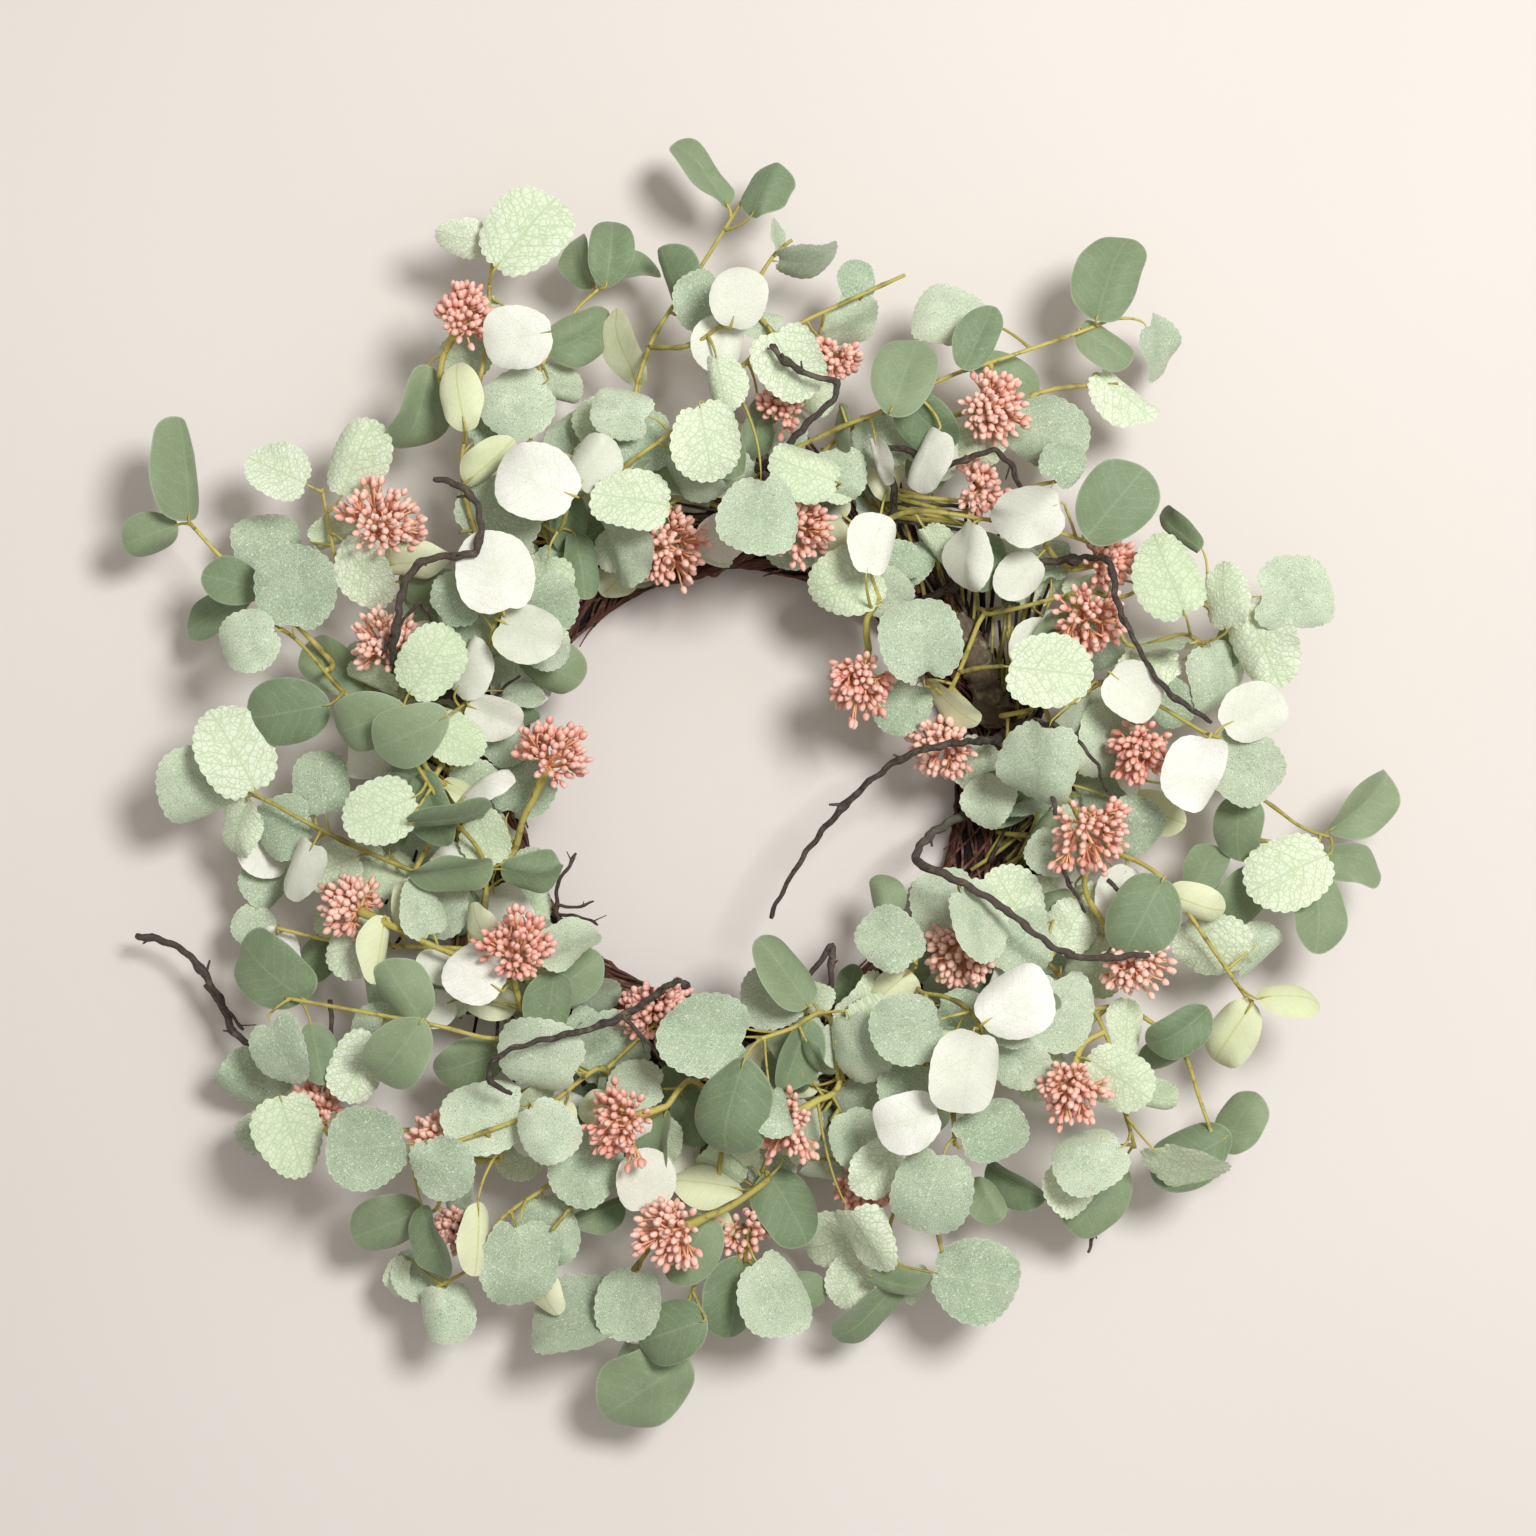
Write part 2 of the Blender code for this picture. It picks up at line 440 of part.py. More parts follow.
                ("S", 213, 619, 195, 82, 8, 40)],
    ),
    "spray_inner_upper_left": dict(
        joins="spray_upper_left",
        stem=[(478, 690, 66), (490, 640, 90), (500, 603, 98)],
        boughs=[],
        berries=[],
        leaves=[("W", 497, 573, 100, 88, 0, 114), ("W", 525, 633, 335, 70, 0, 108),
                ("F", 470, 620, 170, 64, 8, 76), ("S", 548, 665, 330, 72, 8, 62),
                ("W", 492, 715, 340, 58, 26, 84), ("F", 506, 738, 300, 58, 10, 58)],
    ),
    "spray_upper_left": dict(
        root=(284, 45),
        stem=[(430, 660, 50), (375, 610, 60), (340, 570, 66), (330, 530, 66), (322, 488, 66)],
        boughs=[],
        berries=[([(385, 590, 62), (368, 560, 70), (367, 530, 78)], (400, 492, 92), 116, 56)],
        leaves=[("C", 280, 472, 155, 68, 12, 68), ("C", 351, 457, 65, 88, 6, 80),
                ("C", 336, 532, 20, 52, 20, 54), ("C", 365, 570, 310, 76, 30, 80),
                ("Y", 410, 560, 10, 68, 32, 78), ("S", 430, 588, 350, 64, 28, 56)],
    ),
    "spray_top_left": dict(
        root=(302, 50),
        stem=[(490, 575, 54), (464, 490, 70), (466, 430, 84), (484, 360, 82), (487, 300, 76),
              (493, 264, 74)],
        boughs=[],
        berries=[([(452, 400, 78), (440, 372, 78), (455, 322, 82)], (478, 294, 92), 66, 54)],
        leaves=[("C", 525, 232, 52, 98, 8, 82), ("C", 462, 238, 165, 50, 26, 72),
                ("W", 518, 337, 190, 70, 8, 98), ("F", 480, 328, 220, 66, 10, 68),
                ("Y", 459, 396, 100, 66, 16, 100),
                ("S", 418, 410, 253, 90, 38, 70),
                ("F", 500, 515, 20, 88, 4, 60), ("Y", 488, 464, 40, 64, 20, 82)],
    ),
    "spray_top_left_inner": dict(
        root=(320, 60),
        stem=[(548, 540, 54), (532, 460, 64), (536, 382, 66), (572, 316, 62), (602, 286, 60)],
        boughs=[[(560, 530, 74), (572, 488, 94)]],
        berries=[],
        leaves=[("S", 610, 252, 85, 70, 8, 64), ("S", 634, 270, 10, 60, 30, 52),
                ("S", 578, 262, 115, 60, 45, 58), ("S", 580, 336, 30, 80, 36, 64),
                ("Y", 628, 345, 120, 80, 26, 76), ("F", 556, 388, 350, 54, 16, 50),
                ("F", 516, 402, 215, 78, 6, 78), ("F", 574, 438, 40, 64, 16, 46),
                ("W", 538, 482, 160, 84, 0, 106), ("S", 580, 565, 280, 68, 26, 62),
                ("S", 566, 520, 270, 60, 20, 58)],
    ),
}

# Twigs: (radius in mm, points). The first point lies against the ring or the branch.
TWIGS = {
    "twig_arching": (1.7, [
        (1012, 738, 40), (1000, 740, 48), (955, 743, 84), (905, 756, 88), (860, 790, 84),
        (815, 840, 78), (786, 885, 72), (770, 918, 68)]),
    "twig_right": (1.6, [
        (1012, 728, 44), (1034, 738, 66), (1050, 752, 90), (1052, 780, 96), (1055, 815, 94)]),
    "twig_right_low": (1.9, [
        (985, 805, 34), (950, 822, 46), (922, 842, 58), (916, 862, 72), (945, 874, 90),
        (1000, 905, 96), (1050, 945, 98), (1085, 958, 100), (1150, 954, 112)]),
    "twig_right_top": (1.7, [
        (934, 592, 36), (1006, 568, 52), (1070, 560, 66), (1110, 560, 88), (1116, 600, 100),
        (1140, 650, 104), (1166, 690, 102), (1212, 722, 100)]),
    "twig_top": (1.8, [
        (735, 500, 40), (745, 478, 60), (778, 455, 80), (812, 418, 98), (845, 386, 98),
        (800, 372, 96), (770, 345, 92)]),
    "twig_top_right": (1.6, [
        (884, 556, 38), (895, 490, 60), (880, 450, 70), (912, 450, 76), (936, 468, 80),
        (968, 458, 88), (1002, 450, 88), (1020, 487, 80)]),
    "twig_left_loop": (2.0, [
        (478, 700, 34), (430, 690, 60), (394, 664, 88), (398, 620, 106), (405, 580, 110),
        (430, 556, 112), (476, 554, 114), (480, 510, 116), (462, 486, 112), (434, 478, 108)]),
    "twig_left_low": (2.2, [
        (540, 988, 26), (430, 1018, 20), (330, 1052, 24), (245, 1044, 30), (225, 1010, 32),
        (208, 980, 32), (190, 955, 32), (165, 941, 30), (136, 936, 28)]),
    "twig_bottom_left": (1.7, [
        (690, 1010, 36), (680, 980, 62), (640, 1006, 92), (600, 1026, 104), (550, 1038, 114),
        (503, 1052, 116), (484, 1076, 112), (512, 1094, 106)]),
    "twig_bottom": (1.6, [
        (830, 1030, 36), (828, 1010, 60), (834, 960, 72), (828, 944, 74), (808, 978, 66)]),
}
BRANCH_PLAN = [(964, 614, 36), (984, 650, 37), (998, 690, 37), (1008, 724, 38)]
BRANCH_TWIGS = ("twig_arching", "twig_right")


def spot(x, y, height):
    """A plan point as a place in metres; its height is in millimetres."""
    z = height / 1000
    reach = PLAN_UNIT * (1 - (z - MID_HEIGHT) / EYE_HEIGHT)
    return np.array(((x - PLAN_CENTRE[0]) * reach, (PLAN_CENTRE[1] - y) * reach, z))


RING_HEIGHT = BUNDLE_RADIUS - BUNDLE_FLAT
RING_CENTRE = spot(*RING_PLAN, RING_HEIGHT * 1000)


def unit(vector):
    return vector / max(float(np.linalg.norm(vector)), 1e-9)


def smooth_path(points, step=STEM_STEP):
    """Points at even steps along a Catmull-Rom curve through the given points."""
    knots = np.array(points)
    padded = np.vstack([2 * knots[0] - knots[1], knots, 2 * knots[-1] - knots[-2]])
    t = np.linspace(0, 1, 12, endpoint=False)[:, None]
    pieces = []
    for a, b, c, d in zip(padded, padded[1:], padded[2:], padded[3:]):
        pieces.append(0.5 * (2 * b + (c - a) * t + (2 * a - 5 * b + 4 * c - d) * t**2
                             + (3 * b - a - 3 * c + d) * t**3))
    curve = np.vstack(pieces + [knots[-1:]])
    along = np.concatenate([[0], np.cumsum(np.linalg.norm(np.diff(curve, axis=0), axis=1))])
    count = max(3, int(round(along[-1] / step)) + 1)
    stops = np.linspace(0, along[-1], count)
    return np.column_stack([np.interp(stops, along, curve[:, k]) for k in range(3)])


def ring_offset(points):
    """Vectors from the middle line of the ring to the points."""
    flat = points[:, :2] - RING_CENTRE[:2]
    around = flat / np.maximum(np.linalg.norm(flat, axis=1, keepdims=True), 1e-9)
    line = np.column_stack([RING_CENTRE[:2] + around * RING_RADIUS, np.full(len(points), RING_HEIGHT)])
    return points - line


def push_off_ring(points, radius):
    """The points moved straight out until a tube of this radius clears the bundle."""
    offset = ring_offset(points)
    far = np.linalg.norm(offset, axis=1, keepdims=True)
    least = BUNDLE_RADIUS + STRAND_RELIEF + radius + SEAT_GAP
    return points + offset / np.maximum(far, 1e-9) * np.maximum(least - far, 0)


def root_point(clock, rise, radius):
    """A place against the bundle: clock turns from the top, rise from outside to the top."""
    turn = math.radians(90 - clock)
    outward = np.array((math.cos(turn), math.sin(turn), 0.0))
    lift = math.radians(rise)
    out = outward * math.cos(lift) + np.array((0, 0, math.sin(lift)))
    middle = RING_CENTRE + outward * RING_RADIUS
    return middle + out * (BUNDLE_RADIUS + STRAND_RELIEF * ROOT_SUNK + radius + SEAT_GAP)


def mesh_arrays(mesh):
    """The corners and triangles of a mesh."""
    points = np.empty(len(mesh.vertices) * 3)
    mesh.vertices.foreach_get("co", points)
    mesh.calc_loop_triangles()
    corners = np.empty(len(mesh.loop_triangles) * 3, dtype=np.int32)
    mesh.loop_triangles.foreach_get("vertices", corners)
    return points.reshape(-1, 3), corners.reshape(-1, 3)


def link(name, mesh, collection):
    thing = bpy.data.objects.new(name, mesh)
    collection.objects.link(thing)
    return thing


def section(sides):
    """A closed outline of unit size with this many sides, for a tube to follow."""
    curve = bpy.data.curves.new("section", "CURVE")
    spline = curve.splines.new("POLY")
    spline.points.add(sides - 1)
    for k, point in enumerate(spline.points):
        turn = math.tau * k / sides
        point.co = (math.cos(turn), math.sin(turn), 0, 1)
    spline.use_cyclic_u = True
    return link("section", curve, bpy.context.scene.collection)


def tube_mesh(name, points, radii, sides=TUBE_SIDES):
    """A closed mesh tube along the points, made as a bevelled curve with its caps welded."""
    outline = section(sides)
    curve = bpy.data.curves.new(name, "CURVE")
    curve.dimensions = "3D"
    curve.bevel_mode = "OBJECT"
    curve.bevel_object = outline
    curve.use_fill_caps = True
    spline = curve.splines.new("POLY")
    spline.points.add(len(points) - 1)
    spline.points.foreach_set("co", np.column_stack([points, np.ones(len(points))]).ravel())
    spline.points.foreach_set("radius", radii * math.sqrt(1 / math.cos(math.pi / sides)))
    holder = link(name, curve, bpy.context.scene.collection)
    bpy.context.view_layer.update()
    depsgraph = bpy.context.evaluated_depsgraph_get()
    mesh = bpy.data.meshes.new_from_object(holder.evaluated_get(depsgraph))
    for thing in (holder, outline):
        data = thing.data
        bpy.data.objects.remove(thing)
        bpy.data.curves.remove(data)
    shape = bmesh.new()
    shape.from_mesh(mesh)
    bmesh.ops.remove_doubles(shape, verts=shape.verts, dist=0.00002)
    bmesh.ops.recalc_face_normals(shape, faces=shape.faces)
    shape.to_mesh(mesh)
    shape.free()
    return mesh


def kept_points(points, slack=TUBE_SLACK):
    """Which points of a path a tube needs to stay this close to it: ends, then the farthest."""
    kept = [0, len(points) - 1]
    while True:
        worst, where = slack, None
        for a, b in zip(kept, kept[1:]):
            if b - a < 2:
                continue
            chord = points[b] - points[a]
            inner = points[a + 1 : b] - points[a]
            share = np.clip(inner @ chord / (chord @ chord), 0, 1)[:, None]
            off = np.linalg.norm(inner - share * chord, axis=1)
            if off.max() > worst:
                worst, where = off.max(), a + 1 + int(off.argmax())
        if where is None:
            return kept
        kept = sorted(kept + [where])


class Branch:
    """A stem, a bough or a berry stem of one spray, as points at even steps."""

    def __init__(self, node, points, root_radius, tip_radius, parent=None, socket=False):
        self.node = node
        self.points = points
        self.parent = parent
        self.socket = socket
        share = np.linspace(0, 1, len(points))
        self.radii = root_radius + (tip_radius - root_radius) * share
        if socket:
            flare = np.clip((share - SOCKET_FROM) / (1 - SOCKET_FROM), 0, 1) ** 1.5
            self.radii = self.radii + (SOCKET_RADIUS - self.radii) * flare
        self.hold = None
        self.neck = min(int(len(points) * SOCKET_FROM), len(points) - 2)
        self.chords = None

    def settle(self):
        """Keeps only the points that its tube needs, the first on its parent's middle line."""
        if self.parent is not None:
            self.points[0] = self.parent.chord_places(self.points[0])[0]
        kept = kept_points(self.points)
        if self.socket:
            kept = [k for k in kept if k < self.neck] + [self.neck, len(self.points) - 1]
        self.chords = (self.points[kept], self.radii[kept])

    def chord_places(self, place, along=None):
        """The best place on its middle line to reach a given one from, off its corners.

        It is the nearest, but a blade likes one that lies behind its base along it.
        """
        points = self.chords[0]
        start, chord = points[:-1], np.diff(points, axis=0)
        size = np.linalg.norm(chord, axis=1)
        low = np.minimum(HOLD_MARGIN / size, HOLD_END)
        high = 1 - low
        if self.socket and len(size) > 1:
            high[-1] = low[-1]
        share = low[:, None] + (high - low)[:, None] * np.linspace(0, 1, HOLD_STOPS)
        spots = (start[:, None, :] + share[:, :, None] * chord[:, None, :]).reshape(-1, 3)
        way = place - spots
        far = np.linalg.norm(way, axis=1)
        cost = far
        if along is not None:
            cost = far * (BLADE_BEHIND - (way @ along) / np.maximum(far, 1e-6))
        index = int(cost.argmin())
        return spots[index], cost[index], self.chords[1][index // HOLD_STOPS]

    def nearest(self, place, along):
        """Where a blade with its base at this place starts inside the stem, and its cost."""
        middle, cost, radius = self.chord_places(place, along)
        return middle - unit(place - middle) * radius * HOLD_SUNK, cost

    def hang(self):
        """Its first point stays on the stem that it grows from."""
        if self.parent is not None:
            self.points[0] = self.parent.points[self.hold]


def nearest_index(points, place, share=1.0):
    last = max(2, int(len(points) * share))
    return int(np.argmin(np.linalg.norm(points[:last] - place, axis=1)))


def grow_sprays():
    """Every spray's branches and berry places, before they are pushed clear."""
    nodes, heads = {}, []
    names = sorted(SPRAYS, key=lambda name: "joins" in SPRAYS[name])
    for name in names:
        plan = SPRAYS[name]
        node = plan.get("joins", name)
        own = nodes.setdefault(node, [])
        places = [spot(*point) for point in plan["stem"]]
        if "joins" in plan:
            host = own[0]
            hold = nearest_index(host.points, places[0], 0.7)
            stem = Branch(node, smooth_path([host.points[hold]] + places), STEM_RADIUS,
                          STEM_TIP_RADIUS, host)
            stem.hold = hold
        else:
            start = root_point(*plan["root"], STEM_RADIUS)
            stem = Branch(node, smooth_path([start] + places), STEM_RADIUS, STEM_TIP_RADIUS)
        own.append(stem)
        for bough in plan["boughs"]:
            own.append(side_branch(node, stem, bough, False))
        for bough, centre, width, depth in plan["berries"]:
            stalk = side_branch(node, stem, bough, True)
            own.append(stalk)
            heads.append((stalk, spot(*centre), width * PLAN_UNIT, depth * PLAN_UNIT))
    return nodes, heads


def side_branch(node, stem, bough, socket):
    places = [spot(*point) for point in bough]
    hold = nearest_index(stem.points, places[0])
    root_radius = STEM_RADIUS if not socket else STEM_RADIUS * STALK_ROOT
    branch = Branch(node, smooth_path([stem.points[hold]] + places), root_radius,
                    STEM_TIP_RADIUS if not socket else STEM_RADIUS * STALK_NECK, stem, socket)
    branch.hold = hold
    return branch


def head_axis(stalk, centre):
    """The way a berry head faces, in line with the socket at the end of its stalk."""
    return unit(centre - stalk.points[stalk.neck])


def dense(points, radii, step=0.003):
    """More points along a coarse path, with their radii, for things to be kept clear of."""
    along = np.concatenate([[0], np.cumsum(np.linalg.norm(np.diff(points, axis=0), axis=1))])
    stops = np.linspace(0, along[-1], int(along[-1] / step) + 2)
    places = np.column_stack([np.interp(stops, along, points[:, k]) for k in range(3)])
    return places, np.interp(stops, along, radii)


def part_stems(branches, heads, fixed_points, fixed_radii, rounds=90):
    """Stems are pushed off other sprays' stems, the ring, twigs and berry heads, bit by bit."""
    node_names = sorted({branch.node for branch in branches})
    owner = np.concatenate([np.full(len(b.points), node_names.index(b.node)) for b in branches])
    radii = np.concatenate([b.radii for b in branches])
    stops = np.cumsum([0] + [len(b.points) for b in branches])
    rooted = np.zeros(stops[-1], dtype=bool)
    for k, branch in enumerate(branches):
        if branch.parent is None:
            rooted[stops[k]] = True
    slack = STEM_STEP * 0.5
    for _ in range(rounds):
        points = np.vstack([b.points for b in branches])
        shift = np.zeros_like(points)
        gap = points[:, None, :] - points[None, :, :]
        far = np.sqrt((gap**2).sum(axis=2)) + 1e-9
        least = radii[:, None] + radii[None, :] + STEM_CLEAR
        near = np.sqrt(least**2 + slack**2)
        short = np.where(owner[:, None] != owner[None, :], np.maximum(near - far, 0), 0)
        shift += (gap / far[:, :, None] * (short * 0.5)[:, :, None]).sum(axis=1)
        gap = points[:, None, :] - fixed_points[None, :, :]
        far = np.sqrt((gap**2).sum(axis=2)) + 1e-9
        least = radii[:, None] + fixed_radii[None, :] + STEM_CLEAR
        short = np.maximum(np.sqrt(least**2 + slack**2) - far, 0)
        shift += (gap / far[:, :, None] * short[:, :, None]).sum(axis=1)
        for stalk, centre, width, depth in heads:
            k = branches.index(stalk)
            axis = head_axis(stalk, centre)
            thick = (depth * HEAD_MIDDLE, width * HEAD_GIRTH)
            for along, size in ((CORE_RADIUS + HEAD_GAP, CORE_RADIUS), thick):
                gap = points - (stalk.points[-1] + axis * along)
                far = np.linalg.norm(gap, axis=1) + 1e-9
                short = np.maximum(size + radii + STEM_CLEAR - far, 0) * HEAD_PUSH
                short[stops[k] : stops[k + 1]] = 0
                shift += gap / far[:, None] * short[:, None]
                gap = stalk.points[-1] + axis * along - fixed_points
                far = np.linalg.norm(gap, axis=1) + 1e-9
                short = np.maximum(size + fixed_radii + STEM_CLEAR - far, 0)
                push = (gap / far[:, None] * short[:, None]).sum(axis=0)
                push *= min(1, TWIG_PUSH / max(np.linalg.norm(push), 1e-9))
                shift[stops[k + 1] - 3 : stops[k + 1]] += push
                centre += push * 0.5
        shift[rooted] = 0
        for k, branch in enumerate(branches):
            part = shift[stops[k] : stops[k + 1]]
            blend = part.copy()
            blend[1:-1] = 0.25 * part[:-2] + 0.5 * part[1:-1] + 0.25 * part[2:]
            size = np.linalg.norm(blend, axis=1, keepdims=True)
            blend = blend * np.minimum(1, STEM_PUSH / np.maximum(size, 1e-9))
            start = 1 if branch.parent is None else 0
            branch.points[start:] += blend[start:]
            moved = push_off_ring(branch.points, branch.radii[:, None])
            moved[:, 2] = np.maximum(moved[:, 2], FLOOR_GAP + branch.radii)
            branch.points[start:] = moved[start:]
            branch.hang()


def slab_points(surface, normals, half):
    """Both faces of a blade: its surface points moved up and down by half its thickness."""
    return np.vstack([surface + normals * half, surface - normals * half])


def slab_faces(count):
    """Triangles of a blade from its rim points: across at the stem, then a fan from its tip."""
    rim = np.arange(count)
    after = np.roll(rim, -1)
    tip = count // 2
    last = count - 1
    fan = [(0, 1, last), (1, tip, last)]
    fan += [(tip, a, a + 1) for a in range(1, tip - 1)]
    fan += [(tip, a, a + 1) for a in range(tip + 1, last)]
    top = np.array(fan)
    bottom = top[:, ::-1] + count
    side = np.column_stack([rim, rim + count, after])
    rest = np.column_stack([after, rim + count, after + count])
    return np.vstack([top, bottom, side, rest])


class Leaf:
    """One leaf: its own values from the layout, and small draws that bend it."""

    def __init__(self, node, row, draw):
        self.node = node
        self.kind, x, y, heading, length, roll, height = row
        self.centre = spot(x, y, height)
        self.heading = math.radians(heading)
        self.length = length * PLAN_UNIT
        self.roll = math.radians(roll) * draw.choice((-1, 1))
        self.pitch = math.radians(draw.uniform(*PITCHES))
        ratio, fold, curl, cup = LEAF_SHAPES[self.kind]
        self.width = self.length * ratio
        self.fold = fold * draw.uniform(*FOLDS)
        self.curl = curl * draw.uniform(*CURLS)
        self.cup = cup * draw.uniform(*CUPS)
        self.twist = draw.uniform(*TWISTS_OF_BLADE)
        self.facing = draw.choice((-1, 1)) if self.kind in "SY" else 1
        self.hold = None

    def frame(self):
        """The blade's lengthwise, sideways and outward directions."""
        level, lift = math.cos(self.pitch), math.sin(self.pitch)
        along = np.array((math.cos(self.heading) * level, math.sin(self.heading) * level, lift))
        side = np.array((-math.sin(self.heading), math.cos(self.heading), 0.0))
        out = np.cross(along, side)
        turned = side * math.cos(self.roll) + out * math.sin(self.roll)
        return along, turned, np.cross(along, turned)

    def warp(self, u, v):
        """How far the blade stands out of its plane at u along it and v across it."""
        return (-self.fold * np.abs(v) * self.width - self.curl * (u - 0.5) ** 2 * self.length
                + self.cup * v**2 * self.width + self.twist * (u - 0.5) * v * self.width * 2)

    def at(self, u, v):
        """Places on the blade; u runs from 0 at its base to 1, v across from -0.5 to 0.5."""
        along, side, out = self.frame()
        return (self.centre + np.outer((u - 0.5) * self.length, along)
                + np.outer(v * self.width, side) + np.outer(self.warp(u, v), out))

    def base(self):
        return self.at(np.array([0.0]), np.array([0.0]))[0]

    def surface(self, grow=1.0):
        """The rim of the blade, from its point in the stem round to the stem again.

        With it come the ways that its thickness lies: square to the stalk at the stem.
        """
        along, side, out = self.frame()
        u, v = RIMS["pointed" if self.kind in "SY" else "round"]
        points = self.at((u - 0.5) * grow + 0.5, v * grow)
        normals = np.tile(out, (len(u), 1))
        base = self.base()
        stalk = base - self.hold
        reach = np.linalg.norm(stalk)
        necked = reach > NECK_FROM and stalk @ along > LEAN_BACK * reach
        way = unit((base if necked else (points[0] + points[-1]) / 2) - self.hold)
        across = np.cross(out, way)
        across = unit(across) if np.linalg.norm(across) > LEAST_ACROSS else side
        across = across if across @ side > 0 else -across
        stalk_out = np.cross(way, across)
        if necked:
            half = across * NECK_WIDTH / 2
            points = np.vstack([base - half, points, base + half])
            bend = unit(stalk_out + out)
            bend = bend / max(bend @ out, LEAST_BEND)
            normals = np.vstack([bend, normals, bend])
        return np.vstack([self.hold, points]), np.vstack([stalk_out, normals])

    def slab(self, clear=0.0):
        surface, normals = self.surface(1.0 + clear * CLEAR_GROWTH)
        return slab_points(surface, normals, BLADE_THICKNESS / 2 + clear), slab_faces(len(surface))


class Crowd:
    """What a new blade has to stay clear of, with a box round each thing."""

    def __init__(self):
        self.owners, self.low, self.high, self.trees = [], [], [], []

    def add(self, owner, points, faces):
        self.owners.append(owner)
        self.low.append(points.min(axis=0))
        self.high.append(points.max(axis=0))
        self.trees.append(BVHTree.FromPolygons(points.tolist(), faces.tolist()))

    def hits(self, points, faces, skip=()):
        low, high = points.min(axis=0), points.max(axis=0)
        near = np.all(np.array(self.low) < high, axis=1) & np.all(np.array(self.high) > low, axis=1)
        tree = None
        for index in np.nonzero(near)[0]:
            if self.owners[index] in skip:
                continue
            if tree is None:
                tree = BVHTree.FromPolygons(points.tolist(), faces.tolist())
            if tree.overlap(self.trees[index]):
                return True
        return False


def place_leaf(leaf, branches, crowd, draw, skip, wide):
    """Turns and moves a blade a little until it is clear of all else; False if it can't be."""
    start = (leaf.centre.copy(), leaf.heading, leaf.pitch, leaf.roll, leaf.length, leaf.width)
    for attempt in range(TRIES):
        reach = wide * attempt / TRIES
        centre, heading, pitch, roll, length, width = start
        leaf.centre = centre + np.array((draw.uniform(-1, 1) * MOVE_LEVEL * reach,
                                         draw.uniform(-1, 1) * MOVE_LEVEL * reach,
                                         draw.uniform(-1, 1) * MOVE_UP * min(wide, reach * 1.5)))
        leaf.heading = heading + draw.uniform(-1, 1) * TURN_HEADING * reach
        leaf.pitch = pitch + draw.uniform(-1, 1) * TURN_PITCH * reach
        leaf.roll = roll + draw.uniform(-1, 1) * TURN_ROLL * reach
        shrink = 1 - SHRINK * reach * draw.random()
        leaf.length, leaf.width = length * shrink, width * shrink
        base = leaf.base()
        along = leaf.frame()[0]
        holds = [branch.nearest(base, along) for branch in branches]
        leaf.hold = min(holds, key=lambda item: item[1])[0]
        points, faces = leaf.slab(CLEAR)
        if points[:, 2].min() < FLOOR_GAP:
            continue
        if crowd.hits(points, faces, skip):
            continue
        return True
    leaf.centre, leaf.heading, leaf.pitch, leaf.roll, leaf.length, leaf.width = start
    return False


def ring_mesh():
    """The bundle: a torus with twisted strand ridges, pressed flat where it lies."""
    bpy.ops.mesh.primitive_torus_add(major_segments=RING_STEPS, minor_segments=RING_SIDES,
                                     major_radius=RING_RADIUS, minor_radius=BUNDLE_RADIUS)
    thing = bpy.context.object
    mesh = thing.data
    points, _ = mesh_arrays(mesh)
    round_angle = np.arctan2(points[:, 1], points[:, 0])
    far = np.linalg.norm(points[:, :2], axis=1) - RING_RADIUS
    side_angle = np.arctan2(points[:, 2], far)
    ridge = BUNDLE_RADIUS + STRAND_RELIEF * np.cos(STRANDS * side_angle + TWISTS * round_angle)
    ridge += BUNDLE_WAVE * np.sin(WAVES * round_angle + WAVE_START) * np.sin(side_angle)
    out = RING_RADIUS + ridge * np.cos(side_angle)
    points[:, 0] = out * np.cos(round_angle)
    points[:, 1] = out * np.sin(round_angle)
    points[:, 2] = ridge * np.sin(side_angle)
    points += RING_CENTRE
    points[:, 2] = np.maximum(points[:, 2], 0)
    mesh.vertices.foreach_set("co", points.ravel())
    bpy.data.objects.remove(thing)
    return mesh


def loose_vine_path():
    """A strand that weaves from the outer to the inner side of the bundle, over its top."""
    turn = np.linspace(VINE_FROM, VINE_FROM + math.tau * VINE_TURNS, VINE_STOPS)
    side = np.radians(90 + VINE_SWING * np.sin(turn * VINE_SWINGS + VINE_SHIFT))
    far = BUNDLE_RADIUS + STRAND_RELIEF + BUNDLE_WAVE + LOOSE_VINE_RADIUS + SEAT_GAP
    out = RING_RADIUS + far * np.cos(side)
    return RING_CENTRE + np.column_stack([out * np.cos(turn), out * np.sin(turn), far * np.sin(side)])


def free_stretch(path, others, other_radii):
    """The longest stretch of the loose strand with no root or twig in its way."""
    places = dense(path, np.full(len(path), LOOSE_VINE_RADIUS), VINE_STEP)[0]
    far = np.linalg.norm(places[:, None, :] - others[None, :, :], axis=2) - other_radii
    free = np.concatenate([[False], far.min(axis=1) > LOOSE_VINE_RADIUS + VINE_CLEAR, [False]])
    turns = np.flatnonzero(free[1:] != free[:-1])
    starts, ends = turns[::2], turns[1::2]
    best = int(np.argmax(ends - starts))
    return places[starts[best] : ends[best] : VINE_KEEP]


